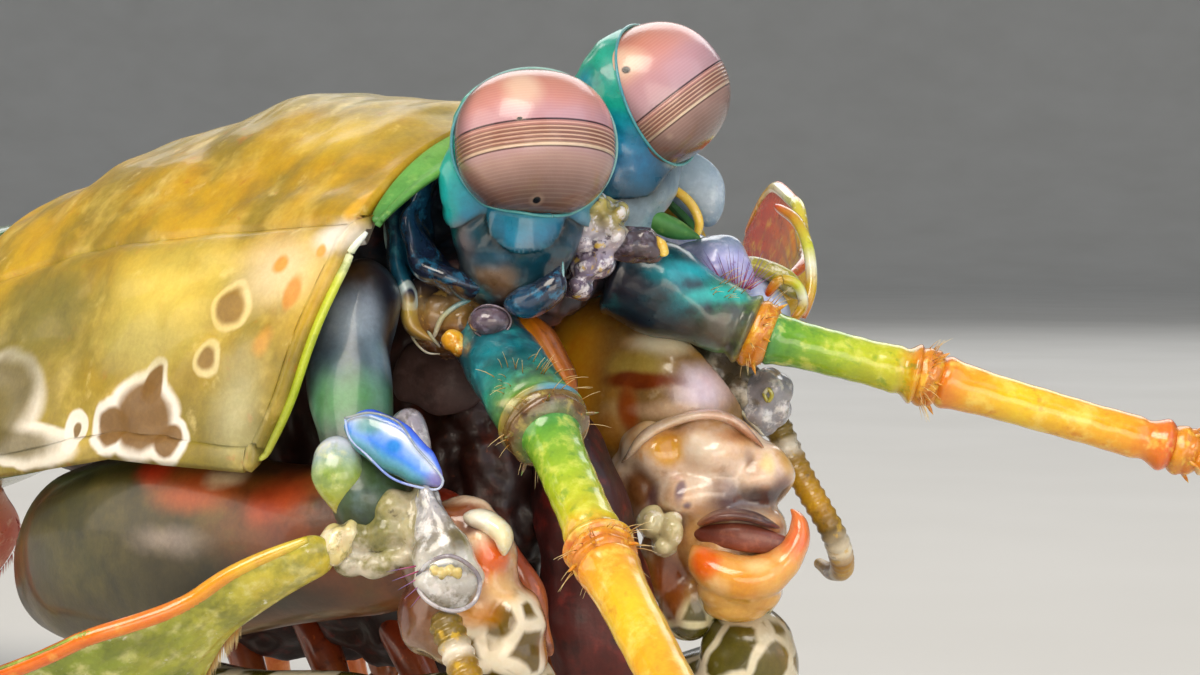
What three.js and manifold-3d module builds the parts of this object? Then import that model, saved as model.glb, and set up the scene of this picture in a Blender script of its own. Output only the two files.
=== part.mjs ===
// A peacock mantis shrimp at life size, standing with its front half raised.
// Millimetres, +X towards the nose, +Y to the animal's left, +Z up, floor at z = 0.
// Each sub-part is one closed solid, cut back from its neighbours by a thin gap.

import * as THREE from "three";
import { mergeVertices } from "three/addons/utils/BufferGeometryUtils.js";
import Module from "manifold-3d";

const wasm = await Module();
wasm.setup();

// Driving dimensions

const GAP = 0.3; // clearance left between neighbouring sub-parts
const MERGE = 1e-4; // vertices closer than this are one vertex
const SHELL = 0.9; // thickness of the carapace and rostral plate
const THIN = 0.35; // half thickness of the thinnest blades and bristly paddles
const HEAD_ROLL = THREE.MathUtils.degToRad(16.4); // the head group leans, left side up
const GROOVE_Y = 12.1; // half width of the carapace dome at its grooves
const GROOVE_SHARE = 0.5; // share of the carapace section that is dome, the rest is side plate
const CARAPACE_FRONT = -2.1; // x of the carapace's front corners
const CARAPACE_BACK = -41; // x of the carapace's hind edge at the midline
const ROSTRAL_DEPTH = 1.8; // how far the rostral plate reaches back at the midline
const CORNEA = [3.9, 4.12, 3.72]; // cornea half sizes: along its axis, along its band, across its band
const TAIL_FRONT = -134; // x where the telson joins the last somite
const TAIL_BACK = -152.5; // x of the telson's hind edge, without its teeth
const FLOOR_SLAB = 30; // depth of the slab that trims the feet flat
const RING_GAP = 0.36; // clearance between neighbouring body rings

const LEFT = 1;
const RIGHT = -1;
const UP = [0, 0, 1];
const FORWARD = [1, 0, 0];

// Heights and widths along the body, as [x, value] pairs from nose to tail

const BACK_LINE = [
  [-2, 41.4], [-7, 43.2], [-20, 43.7], [-31, 41.7], [-41, 38.8],
  [-51, 35.5], [-60, 32.2], [-72, 28.6], [-85, 25.2], [-98, 22.2], [-111, 19.3], [-123, 16.4], [-134, 12],
];
const GROOVE_LINE = [[-2, 36.9], [-12, 36.4], [-23, 35.6], [-30, 34.7], [-41, 31.8]];
const PLATE_EDGE_LINE = [[-4, 24.8], [-17, 25], [-28, 23.2], [-40, 20.4]];
const PLATE_SPREAD = [[-4, 15.4], [-12, 16.7], [-26, 17.2], [-40, 15.6]];
const BODY_HALF_WIDTH = [[-41, 12.2], [-60, 13.1], [-85, 14.3], [-111, 14.4], [-124, 13.4], [-134, 12]];
const BODY_DEPTH = [[-41, 13.5], [-60, 12.6], [-85, 12.4], [-111, 11.8], [-124, 10.6], [-134, 8]];

/** Linear interpolation in a list of [x, value] pairs that run from nose to tail. */
function along(list, x) {
  if (x >= list[0][0]) return list[0][1];
  for (let i = 1; i < list.length; i++) {
    const [x0, a] = list[i - 1];
    const [x1, b] = list[i];
    if (x >= x1) return a + ((b - a) * (x - x0)) / (x1 - x0);
  }
  return list[list.length - 1][1];
}

/** A smooth value at share t of the way through evenly spaced values. */
function smooth(values, t) {
  if (typeof values === "number") return values;
  const span = Math.min(Math.max(t, 0), 1) * (values.length - 1);
  const i = Math.min(Math.floor(span), values.length - 2);
  const f = span - i;
  const s = f * f * (3 - 2 * f);
  return values[i] + (values[i + 1] - values[i]) * s;
}

const vec = (p) => new THREE.Vector3(p[0], p[1], p[2]);
const { clamp, smoothstep } = THREE.MathUtils;

/** The closed geometry as a solid that can be joined and cut. */
function solidOf(geometry) {
  const bare = geometry.clone();
  bare.deleteAttribute("normal");
  bare.deleteAttribute("uv");
  const merged = mergeVertices(bare, MERGE);
  return new wasm.Manifold(
    new wasm.Mesh({
      numProp: 3,
      vertProperties: new Float32Array(merged.attributes.position.array),
      triVerts: new Uint32Array(merged.index.array),
    }),
  );
}

/** The solid's largest piece, so that a cut leaves no crumbs. */
function largest(solid) {
  const pieces = solid.decompose();
  return pieces.reduce((a, b) => (b.volume() > a.volume() ? b : a), pieces[0]);
}

/** A signed power, for a superellipse section. */
const squarish = (value, power) => Math.sign(value) * Math.pow(Math.abs(value), 2 / power);

/**
 * A rounded length along a smooth path. Width runs across the path and height along `up`.
 * `belly` scales the height below the path. `blunt` is the share of the length at each end that rounds off.
 */
function limb(shape, grow = 0) {
  const { path, width, height, up = UP, sides = 8, steps = 6 } = shape;
  const { power = 2, belly = 1, blunt = [0.12, 0.12] } = shape;
  const curve = new THREE.CatmullRomCurve3(path.map(vec), false, "centripetal");
  const geometry = new THREE.SphereGeometry(1, sides, steps);
  const spots = geometry.attributes.position;
  const across = new THREE.Vector3();
  const top = new THREE.Vector3();
  const crowd = 0.75;
  for (let i = 0; i < spots.count; i++) {
    const turn = Math.acos(clamp(spots.getY(i), -1, 1)) / Math.PI;
    const t = clamp(turn - (crowd * Math.sin(2 * Math.PI * turn)) / (2 * Math.PI), 0, 1);
    const ring = Math.sin(Math.PI * turn);
    const fromStart = Math.min(t / blunt[0], 1);
    const fromEnd = Math.min((1 - t) / blunt[1], 1);
    const end = Math.sqrt(1 - (1 - fromStart) ** 2) * Math.sqrt(1 - (1 - fromEnd) ** 2);
    const tangent = curve.getTangentAt(t);
    across.crossVectors(vec(up), tangent).normalize();
    top.crossVectors(tangent, across);
    const point = curve.getPointAt(t).addScaledVector(tangent, grow * (2 * t - 1));
    if (ring > MERGE && end > 0) {
      const c = squarish(spots.getX(i) / ring, power);
      const s = squarish(spots.getZ(i) / ring, power);
      const rise = s < 0 ? belly : 1;
      point.addScaledVector(across, c * (smooth(width, t) * end + grow));
      point.addScaledVector(top, s * (smooth(height, t) * rise * end + grow));
    }
    spots.setXYZ(i, point.x, point.y, point.z);
  }
  return solidOf(geometry);
}

/** A curved plate of even thickness over surface(u, v), with its outside along du × dv. */
function plate(shape, grow = 0) {
  const { surface, thickness, across = 12, down = 8 } = shape;
  const geometry = new THREE.BoxGeometry(1, 1, 1, across, down, 1);
  const spots = geometry.attributes.position;
  const step = 1e-3;
  for (let i = 0; i < spots.count; i++) {
    const u = spots.getX(i) + 0.5;
    const v = spots.getY(i) + 0.5;
    const outer = spots.getZ(i) > 0;
    const du = vec(surface(u + step, v)).sub(vec(surface(u - step, v))).normalize();
    const dv = vec(surface(u, v + step)).sub(vec(surface(u, v - step))).normalize();
    const normal = new THREE.Vector3().crossVectors(du, dv).normalize();
    const point = vec(surface(u, v));
    point.addScaledVector(normal, outer ? grow : -thickness - grow);
    point.addScaledVector(du, grow * Math.sign(Math.round(2 * u - 1)));
    point.addScaledVector(dv, grow * Math.sign(Math.round(2 * v - 1)));
    spots.setXYZ(i, point.x, point.y, point.z);
  }
  return solidOf(geometry);
}

/** An ellipsoid with its half sizes along three directions. */
function ball(shape, grow = 0) {
  const { at, axes, sizes, sides = 14, steps = 8 } = shape;
  const geometry = new THREE.SphereGeometry(1, sides, steps);
  const spots = geometry.attributes.position;
  const [a, b, c] = axes;
  for (let i = 0; i < spots.count; i++) {
    const point = vec(at);
    point.addScaledVector(a, spots.getX(i) * (sizes[0] + grow));
    point.addScaledVector(b, spots.getY(i) * (sizes[1] + grow));
    point.addScaledVector(c, spots.getZ(i) * (sizes[2] + grow));
    spots.setXYZ(i, point.x, point.y, point.z);
  }
  return solidOf(geometry);
}

/** The point's mirror image in the midplane for the right side. */
const onSide = (side, [x, y, z]) => [x, side * y, z];

/** The path's mirror image in the midplane for the right side. */
const pathOnSide = (side, path) => path.map((p) => onSide(side, p));

/** A direction as three perpendicular unit vectors: along, level across and the third. */
function eyeAxes(direction, bandDirection) {
  const a = vec(direction).normalize();
  const b = vec(bandDirection).addScaledVector(a, -vec(bandDirection).dot(a)).normalize();
  return [a, b, new THREE.Vector3().crossVectors(a, b)];
}

// The model is a list of parts in cutting order: an earlier part keeps its shape, a later one gives way.

const parts = [];

/** Adds a part made of one or more shapes, each a maker and its sizes. */
function addPart(name, finish, shapes) {
  parts.push({ name, finish, shapes });
}

// Eyes: a domed cornea on a stalk that widens into a cup behind it

const eyes = {
  right: {
    at: [2.4, -5, 41.1],
    axes: eyeAxes([0.88, -0.44, 0.18], [0.44, 0.88, 0.1]),
    stalk: [[-0.4, -4.3, 32.6], [0.2, -4.4, 35], [0.7, -4.5, 38], [1.2, -4.5, 40.2]],
  },
  left: {
    at: [1.75, 4.6, 44.1],
    axes: eyeAxes([0.9, 0.07, 0.44], [-0.42, -0.2, 0.88]),
    stalk: [[-0.4, 2.8, 35.6], [-0.2, 3.3, 38], [0.1, 3.9, 40.8], [0.4, 4.4, 43]],
  },
};
for (const [side, eye] of Object.entries(eyes)) {
  addPart(`eye_${side}`, "cornea", [[ball, { at: eye.at, axes: eye.axes, sizes: CORNEA }]]);
}
for (const [side, eye] of Object.entries(eyes)) {
  addPart(`eyestalk_${side}`, "stalk", [
    [limb, {
      path: eye.stalk, width: [2.3, 2.9, 3.5, 4.1, 4.2], height: [2.3, 2.8, 3.4, 3.9, 4],
      up: FORWARD, sides: 10, steps: 7, blunt: [0.1, 0.3],
    }],
  ]);
}

// Antennules: three jointed lengths and three short whips on each side

const antennules = {
  right: {
    joints: [[-1.5, -4.7, 31.2], [5.9, -7.5, 26.8], [13.2, -11.1, 21.3], [24, -16.4, 14.7]],
    whips: [
      [[24.4, -16.4, 14.9], [33, -21, 12.4], [42, -26, 13.5]],
      [[24.4, -16.4, 14.5], [34, -18.5, 10], [44, -20, 9.6]],
      [[24.4, -16.9, 14.5], [32, -24, 10.6], [38, -31, 11]],
    ],
  },
  left: {
    joints: [[-1.5, 4.7, 34.7], [4.9, 9.8, 31], [11.9, 15.7, 28.7], [22.5, 24.4, 24.8]],
    whips: [
      [[22.9, 24.5, 25], [31, 31, 23.8], [38.5, 37.5, 25.5]],
      [[22.9, 24.2, 24.6], [32, 29.4, 20.8], [41.5, 33.6, 20]],
      [[22.7, 24.8, 24.6], [29, 33, 22.2], [34, 41, 22.8]],
    ],
  },
};
const ANTENNULE_LENGTHS = [
  { name: "base", radii: [1.9, 2.15, 2.1, 2.2] },
  { name: "middle", radii: [1.5, 1.35, 1.3, 1.65] },
  { name: "outer", radii: [1.5, 1.25, 1.2, 1.4] },
];

/** The point at share t of the way from a to b. */
const between = (a, b, t) => a.map((value, i) => value + (b[i] - value) * t);

for (const [side, feeler] of Object.entries(antennules)) {
  ANTENNULE_LENGTHS.forEach(({ name, radii }, i) => {
    const a = feeler.joints[i];
    const b = feeler.joints[i + 1];
    addPart(`antennule_${side}_${name}`, "feeler", [
      [limb, {
        path: [between(a, b, 0.03), between(a, b, 0.5), between(a, b, 0.97)],
        width: radii, height: radii.map((r) => r * 0.95), sides: 8, steps: 6, blunt: [0.1, 0.1],
      }],
    ]);
  });
  addPart(`antennule_${side}_whips`, "feeler",
    feeler.whips.map((path) => [limb, {
      path, width: [0.85, 0.5, 0.3], height: [0.85, 0.5, 0.3], sides: 5, steps: 5, blunt: [0.04, 0.04],
    }]));
}

// Carapace: an arched dome between two grooves, with a flared side plate outside each

/**
 * A point on the carapace. u runs from the right lower edge over the back to the left lower edge,
 * and v runs from front to back.
 */
function carapaceSurface(u, v) {
  const s = 2 * u - 1;
  const q = Math.max((Math.abs(s) - GROOVE_SHARE) / (1 - GROOVE_SHARE), 0);
  const dome = Math.max(1 - (s / GROOVE_SHARE) ** 2, 0);
  const corner = smoothstep(q, 0.55, 1);
  const front = CARAPACE_FRONT - ROSTRAL_DEPTH * Math.sqrt(dome) * 0.95 - 3.1 * q - 0.9 * corner ** 2;
  const back = CARAPACE_BACK + 1.2 * (1 - dome) * (1 - q) + 4.5 * corner ** 2;
  const x = front + (back - front) * v;
  const grooveZ = along(GROOVE_LINE, x);
  const outward = q ** 0.8;
  const y = q > 0
    ? GROOVE_Y + (along(PLATE_SPREAD, x) - GROOVE_Y) * outward + 0.8 * Math.sin(Math.PI * q)
    : (GROOVE_Y * Math.abs(s)) / GROOVE_SHARE;
  const z = q > 0
    ? grooveZ - (grooveZ - along(PLATE_EDGE_LINE, x)) * q
    : grooveZ + (along(BACK_LINE, x) - grooveZ) * (1 - (Math.abs(s) / GROOVE_SHARE) ** 2.3);
  return [x, Math.sign(s) * y, z];
}

/** A point on the rostral plate, which fills the notch in the carapace's front edge. */
function rostralSurface(u, v) {
  const s = 2 * u - 1;
  const dome = Math.max(1 - s * s, 0);
  const back = CARAPACE_FRONT + 0.1 - ROSTRAL_DEPTH * 0.9 * Math.sqrt(dome);
  const front = CARAPACE_FRONT + 0.9 + 1.1 * dome;
  const x = front + (back - front) * v;
  const grooveZ = along(GROOVE_LINE, CARAPACE_FRONT);
  const crown = along(BACK_LINE, -5) - 0.3 - 1.1 * (1 - v);
  return [x, s * (GROOVE_Y - 0.3), grooveZ + (crown - grooveZ) * (1 - Math.abs(s) ** 2.3)];
}

const flip = (surface) => (u, v) => surface(1 - u, v);
addPart("rostral_plate", "shell", [
  [plate, { surface: flip(rostralSurface), thickness: SHELL, across: 10, down: 1 }],
]);
addPart("carapace", "shell", [
  [plate, { surface: flip(carapaceSurface), thickness: SHELL, across: 20, down: 7 }],
]);

// Antennae: a stout base, a jointed stalk with a whip, and a broad scale on each side

const antennae = {
  right: {
    base: [
      [-5.4, -9.2, 35], [-4.5, -11.3, 30.6], [-2.5, -12.7, 26.6], [-0.5, -13.5, 23], [0.4, -14, 21.6],
    ],
    stalk: [[1.4, -12.6, 24.6], [3.4, -13, 22.4], [5.1, -14, 18.8]],
    whip: [[5.3, -14.1, 18.3], [7.4, -14.5, 15.7], [11, -15.4, 11.6], [16, -17.4, 8.8], [24, -21, 8]],
    scale: [[-0.4, -16, 21.2], [-3.7, -18.8, 18.9], [-9, -22.6, 14.2], [-15, -26, 10.8], [-19, -28, 9.4]],
    scaleUp: [0.45, -0.45, 0.78],
  },
  left: {
    base: [[-5, 8.8, 36.4], [-2.6, 10.6, 35.2], [-0.2, 11.8, 33.6], [1.6, 12.8, 32], [2.2, 13.2, 30.4]],
    stalk: [[0.4, 11.6, 30.2], [1.4, 12.3, 28.6], [2.5, 13, 27.2]],
    whip: [
      [2.7, 13.2, 26.8], [3.9, 14, 23.6], [5.7, 15.2, 19.8],
      [4.6, 17.4, 17.8], [0.4, 21.8, 16.6], [-5, 27, 16.2],
    ],
    scale: [[2.6, 14.3, 32.6], [1, 18, 33.4], [-4.2, 22.8, 34.6], [-9.6, 27, 35.4], [-13.6, 29.8, 35.8]],
    scaleUp: [0.1, 0.12, 1],
  },
};
for (const [side, antenna] of Object.entries(antennae)) {
  addPart(`antenna_${side}_base`, "joint", [
    [limb, {
      path: antenna.base, width: [1.7, 2.2, 2, 1.9, 2], height: [1.7, 2.2, 2.1, 1.9, 2],
      up: FORWARD, sides: 8, steps: 7,
    }],
  ]);
  addPart(`antennal_scale_${side}`, "scale", [
    [limb, {
      path: antenna.scale, width: [0.9, 0.7, 0.55, 0.5, 0.45], height: [1.2, 1.7, 4, 4.4, 2],
      up: antenna.scaleUp, sides: 8, steps: 8, blunt: [0.05, 0.16],
    }],
  ]);
  addPart(`antenna_${side}_stalk`, "joint", [
    [limb, {
      path: antenna.stalk, width: [1.2, 1.5, 1.5], height: [1.2, 1.5, 1.5],
      up: FORWARD, sides: 8, steps: 5,
    }],
  ]);
  addPart(`antenna_${side}_whip`, "feeler", [
    [limb, {
      path: antenna.whip, width: [0.8, 0.7, 0.5, 0.3], height: [0.8, 0.7, 0.5, 0.3],
      up: FORWARD, sides: 5, steps: 9, blunt: [0.03, 0.03],
    }],
  ]);
}

// Raptorial limbs: the right one hangs low, the left one is raised, both folded

const raptorials = {
  right: {
    merus: [
      [-33, -10.6, 16.6], [-21, -13.2, 19.2], [-9, -12.4, 20.4], [-2, -10.4, 20.6], [1.6, -9.6, 20.2],
    ],
    merusWidth: [2.6, 3.9, 4, 3.4, 2.8],
    merusHeight: [3.2, 5, 5, 4, 3],
    carpus: [[1.2, -9.6, 22.6], [3.8, -9.4, 19.8], [5, -9.2, 16.8]],
    propodus: [
      [5.3, -9.2, 16.4], [4.2, -9.5, 12.4], [-2.5, -10, 11], [-12, -10.6, 10.8], [-20, -11, 11.2],
    ],
    dactyl: [[-3, -9.8, 6.2], [-10, -10.2, 5.8], [-18, -10.8, 5.8], [-23.6, -11.2, 8]],
  },
  left: {
    merus: [[-32, 10.6, 19.6], [-20, 10.9, 24], [-10, 10, 27.2], [-3, 9.2, 27.4], [3, 8.9, 24.6]],
    merusWidth: [2.6, 3.9, 4.3, 4.3, 3.8],
    merusHeight: [3.2, 5, 5.8, 6, 4.6],
    carpus: [[1.4, 7.8, 25.2], [3.8, 8.6, 21.2], [4.6, 9, 17]],
    propodus: [[5, 9, 16.4], [4.2, 9.2, 12], [-2, 9.8, 9.8], [-12, 10.4, 11], [-20, 10.8, 12.8]],
    dactyl: [[-3, 9.8, 5.2], [-10, 10.2, 5.6], [-18, 10.7, 6.8], [-23.6, 11, 9.4]],
  },
};
for (const [side, claw] of Object.entries(raptorials)) {
  addPart(`raptorial_${side}_carpus`, "limb", [
    [limb, {
      path: claw.carpus, width: [2.4, 3.4, 3.2], height: [2.4, 3.2, 3], up: FORWARD,
      sides: 10, steps: 6, blunt: [0.3, 0.25],
    }],
  ]);
  addPart(`raptorial_${side}_merus`, "limb", [
    [limb, {
      path: claw.merus, width: claw.merusWidth, height: claw.merusHeight,
      sides: 10, steps: 8, power: 2.3, blunt: [0.1, 0.14],
    }],
  ]);
  addPart(`raptorial_${side}_propodus`, "limb", [
    [limb, {
      path: claw.propodus, width: [2.6, 2.9, 2.5, 2, 1.8], height: [2.4, 3, 2.8, 2.3, 1.9],
      sides: 8, steps: 9, blunt: [0.1, 0.06],
    }],
  ]);
  addPart(`raptorial_${side}_dactyl`, "limb", [
    [limb, {
      path: claw.dactyl, width: [0.5, 0.9, 1.3, 2.4, 2.6], height: [0.5, 0.9, 1.3, 2.6, 2.8],
      sides: 8, steps: 7, blunt: [0.04, 0.18],
    }],
  ]);
}

// Head front: the block that carries the eyestalks and antennules, with a side flange on each side

const rolled = (y, z) => [
  y * Math.cos(HEAD_ROLL) - z * Math.sin(HEAD_ROLL),
  y * Math.sin(HEAD_ROLL) + z * Math.cos(HEAD_ROLL),
];

/** A head point given beside and above the head's own centre line, after the head's roll. */
function headPoint(x, y, z) {
  const centre = [0, 34.6];
  const [dy, dz] = rolled(y, z);
  return [x, centre[0] + dy, centre[1] + dz];
}
addPart("head_front", "head", [
  [limb, {
    path: [headPoint(-8, 0, -0.6), headPoint(-4, 0, -0.4), headPoint(0.2, 0, -0.4)],
    width: [5.8, 7.2, 6], height: [2.8, 3, 2.4],
    up: [0, -Math.sin(HEAD_ROLL), Math.cos(HEAD_ROLL)],
    sides: 10, steps: 6, power: 2.4, blunt: [0.2, 0.3],
  }],
  ...[LEFT, RIGHT].map((side) => [limb, {
    path: [
      headPoint(-4.6, side * 7, -5), headPoint(-4.4, side * 7.8, -2), headPoint(-4.6, side * 7.6, 1.4),
    ],
    width: [0.55, 0.6, 0.5], height: [1.2, 1.7, 1.3], up: [0.9, side * 0.3, 0],
    sides: 6, steps: 5, blunt: [0.2, 0.2],
  }]),
]);
addPart("mouthparts", "head", [
  [limb, {
    path: [[-12, 0, 23.4], [-6, 0.4, 23.2], [-2, 0.8, 22.8]],
    width: [3.8, 4.8, 3.8], height: [5.6, 6.8, 5.8], power: 2.3, sides: 10, steps: 6, blunt: [0.2, 0.3],
  }],
]);

// Maxillipeds: one slim cleaning pair beside the mouth and three folded pairs with oval hands

const foldedPairs = [
  { name: "maxilliped_3", x: -13, reach: 8.4, hand: 5.2, drop: 10.5 },
  { name: "maxilliped_4", x: -20, reach: 7.6, hand: 4.7, drop: 10 },
  { name: "maxilliped_5", x: -27, reach: 7, hand: 4.2, drop: 9.5 },
];
for (const [sideName, side] of [["right", RIGHT], ["left", LEFT]]) {
  addPart(`maxilliped_1_${sideName}`, "limb", [
    [limb, {
      path: pathOnSide(side, [[-9, 4.4, 23], [-4, 4.6, 21.6], [0.4, 4.2, 19], [2, 3.4, 14.6]]),
      width: [1, 0.9, 0.8, 0.5], height: [1, 0.9, 0.8, 0.5], up: [0, 1, 0], sides: 5, steps: 6,
    }],
  ]);
  for (const { name, x, reach, hand, drop } of foldedPairs) {
    addPart(`${name}_${sideName}`, "limb", [
      [limb, {
        path: pathOnSide(side, [[x, 4, 19.4], [x + reach * 0.6, 5, 15], [x + reach, 4.9, drop]]),
        width: [1.3, 1.1, 0.9], height: [1.3, 1.1, 0.9], up: [0, 1, 0], sides: 5, steps: 5,
      }],
      [limb, {
        path: pathOnSide(side, [
          [x + reach, 4.9, drop + 0.6], [x + reach - hand * 0.5, 4.2, drop - 2.6],
          [x + reach - hand, 3.8, drop - 3.6],
        ]),
        width: [0.9, 1.1, 0.7], height: [1.1, 2, 1.2], up: FORWARD, sides: 6, steps: 5,
      }],
    ]);
  }
}

// Trunk: the body under the carapace

addPart("trunk_core", "body", [
  [limb, {
    path: [[-41.4, 0, 33.4], [-30, 0, 35.4], [-18, 0, 37], [-7, 0, 37.2]],
    width: [9.8, 10.2, 10.2, 8.4], height: [4, 4.4, 4.4, 3.4],
    sides: 8, steps: 6, power: 2.4, blunt: [0.06, 0.1],
  }],
  [limb, {
    path: [[-41.4, 0, 28.4], [-30, 0, 27.6], [-18, 0, 28.4], [-6, 0, 31]],
    width: [9.2, 6, 5, 4.6], height: [7, 8.4, 8.4, 4.6],
    sides: 8, steps: 6, power: 2.4, blunt: [0.06, 0.12],
  }],
]);

// Hind body: nine overlapping rings, three on the thorax and six on the abdomen

/** One body ring between two edges, arched above and flatter below, clear of the ring before it. */
function ring(edge, back, { flare = 0.35, sides = 12 } = {}) {
  const front = edge - RING_GAP;
  const at = (x, lift) => [x, 0, along(BACK_LINE, x) - lift];
  const size = (x) => {
    const depth = along(BODY_DEPTH, x);
    return { width: along(BODY_HALF_WIDTH, x), crown: depth * 0.66 };
  };
  const a = size(front);
  const b = size(back);
  return [limb, {
    path: [at(front, a.crown + 0.4), at((front + back) / 2, (a.crown + b.crown) / 2), at(back, b.crown)],
    width: [a.width - flare, (a.width + b.width) / 2, b.width + 0.2],
    height: [a.crown - flare, (a.crown + b.crown) / 2, b.crown],
    belly: 0.5, sides, steps: 4, power: 2.5, blunt: [0.06, 0.06],
  }];
}

const THORAX_EDGES = [-41.8, -47.8, -53.8, -60];
const ABDOMEN_EDGES = [-60, -73, -86, -99, -112, -124];
const LAST_SOMITE = [-124, -133.8];

/** A leaf-shaped swimming paddle under somite centre x, one on each side. */
function paddles(x, length) {
  const z = along(BACK_LINE, x) - along(BODY_DEPTH, x) + 1;
  return [LEFT, RIGHT].map((side) => [limb, {
    path: pathOnSide(side, [
      [x + 2, 5.4, z], [x - 0.4, 6.4, z - length * 0.5], [x - 3.4, 6.8, z - length],
    ]),
    width: [1.5, 3.6, 2.4], height: [0.8, 0.6, THIN], up: FORWARD, sides: 6, steps: 5, blunt: [0.1, 0.25],
  }]);
}

// Legs: three slender pairs whose tips stand on the floor

const legs = [
  { name: "leg_1", x: -44, foot: -39, spread: 19 },
  { name: "leg_2", x: -50, foot: -49, spread: 20 },
  { name: "leg_3", x: -56, foot: -59, spread: 19 },
];
for (const [sideName, side] of [["right", RIGHT], ["left", LEFT]]) {
  for (const { name, x, foot, spread } of legs) {
    const hip = along(BACK_LINE, x) - along(BODY_DEPTH, x) + 2.4;
    addPart(`${name}_${sideName}`, "leg", [
      [limb, {
        path: pathOnSide(side, [
          [x, 8, hip], [x + (foot - x) * 0.3, 13.4, hip - 2.6],
          [x + (foot - x) * 0.6, spread - 2.4, hip * 0.55], [foot, spread, 4.4], [foot, spread, -1.2],
        ]),
        width: [1.5, 1.4, 1.1, 0.9, 0.75], height: [1.5, 1.3, 1.1, 0.9, 0.75],
        up: FORWARD, sides: 6, steps: 8,
        blunt: [0.06, 0.02],
      }],
      [limb, {
        path: pathOnSide(side, [
          [x + 0.4, 12, hip - 1.4], [x + (foot - x) * 0.4 - 1, 15.5, hip * 0.62],
          [x + (foot - x) * 0.5 - 2, 16.4, hip * 0.34],
        ]),
        width: [0.7, 0.5, 0.35], height: [0.7, 0.5, 0.35], up: FORWARD, sides: 4, steps: 4,
      }],
    ]);
  }
}

// Tail fan: the telson between two branched uropods, both resting on the floor

/** A point on the telson: u across from right to left, v from front to back. */
function telsonSurface(u, v) {
  const s = 2 * u - 1;
  const half = 9.6 + 2 * Math.sin(Math.PI * Math.min(v * 1.15, 1)) - 2.4 * v * v;
  const x = TAIL_FRONT - 0.4 + (TAIL_BACK - TAIL_FRONT) * v * (1 - 0.12 * s * s);
  const crest = 9.6 * Math.max(1 - v, 0) ** 1.15 + 1.6;
  const z = crest - (2.2 * (1 - v) + 0.3) * s * s;
  return [x, s * half, z];
}

/** A tapering spine or keel. */
const spine = (path, thick, thin, extra = {}) => [limb, {
  path, width: [thick, thin], height: [thick, thin], sides: 5, steps: 4, blunt: [0.05, 0.08], ...extra,
}];

const TOOTH_PLACES = [[2.8, 0.97, 4], [6.4, 0.9, 3.6], [9.6, 0.7, 3]];
const KEEL_PLACES = [0, 0.45];
const SOMITE_SPINES = [-8.6, -3.4, 3.4, 8.6];
addPart("telson", "tail", [
  [plate, { surface: flip(telsonSurface), thickness: 2, across: 8, down: 4 }],
  [limb, {
    path: [[TAIL_FRONT - 1.2, 0, 8], [-142, 0, 4.2], [-150, 0, 1.1]],
    width: [7.4, 7, 4.4], height: [2.4, 1.8, 1.3], sides: 8, steps: 5, power: 2.4, blunt: [0.1, 0.2],
  }],
  ...[LEFT, RIGHT].flatMap((side) => TOOTH_PLACES.map(([y, v, length]) => {
    const [x, , z] = telsonSurface(0.5 + y / 20, v);
    return spine(pathOnSide(side, [[x + 2.4, y - 0.3, z - 0.9], [x - length, y + 0.2, 0.9]]), 1.15, 0.3);
  })),
  ...[LEFT, RIGHT].flatMap((side) => KEEL_PLACES.filter((s) => s > 0 || side > 0).map((s) => {
    const at = (v) => telsonSurface(0.5 + (side * s) / 2, v);
    return spine([at(0.1), at(0.5), at(0.93)], 0.9, 0.7);
  })),
]);
for (const [sideName, side] of [["right", RIGHT], ["left", LEFT]]) {
  const flat = { up: UP, sides: 6, steps: 5, blunt: [0.12, 0.3] };
  addPart(`uropod_${sideName}`, "tail", [
    [limb, {
      path: pathOnSide(side, [[-128.5, 11.4, 6.2], [-132, 13, 4.6], [-136.5, 13.6, 2.8]]),
      width: [2.2, 2.8, 2.4], height: [1.9, 1.9, 1.5], ...flat,
    }],
    [limb, {
      path: pathOnSide(side, [[-134, 14.8, 3.2], [-139, 17.8, 1.8], [-146, 19.8, 0.9]]),
      width: [2.6, 3.6, 3.8], height: [1.2, 1.2, 0.9], ...flat,
    }],
    [limb, {
      path: pathOnSide(side, [[-144.6, 19.6, 1], [-150, 20.8, 0.6], [-156, 21.6, 0.5]]),
      width: [3.2, 4.2, 3.4], height: [0.9, 0.8, 0.7], ...flat,
    }],
    [limb, {
      path: pathOnSide(side, [[-134, 12.8, 3], [-142, 13.4, 1.2], [-153, 14.2, 0.5]]),
      width: [2.2, 3.3, 2.8], height: [1.1, 1, 0.7], ...flat,
    }],
    spine(pathOnSide(side, [[-133, 11.6, 2.6], [-143, 11.9, 0.8]]), 1.2, 0.35),
  ]);
}
addPart("abdomen_6", "body", [
  ring(LAST_SOMITE[0], LAST_SOMITE[1], { flare: 0.6 }),
  ...SOMITE_SPINES.map((y) => spine([
    [-128, y, along(BACK_LINE, -128) - 1.1 - y * y * 0.028],
    [-136, y, along(BACK_LINE, -134) - 0.7 - y * y * 0.036],
  ], 0.9, 0.35)),
]);
for (let k = 5; k >= 1; k--) {
  const front = ABDOMEN_EDGES[k - 1];
  const back = ABDOMEN_EDGES[k];
  const middle = (front + back) / 2;
  const clear = along(BACK_LINE, middle) - along(BODY_DEPTH, middle);
  addPart(`abdomen_${k}`, "body", [ring(front, back), ...paddles(middle, Math.min(clear, 8.6))]);
}
for (let k = 2; k >= 0; k--) {
  addPart(`thorax_${k + 6}`, "body", [ring(THORAX_EDGES[k], THORAX_EDGES[k + 1], { sides: 12 })]);
}

// Finishes

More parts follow.
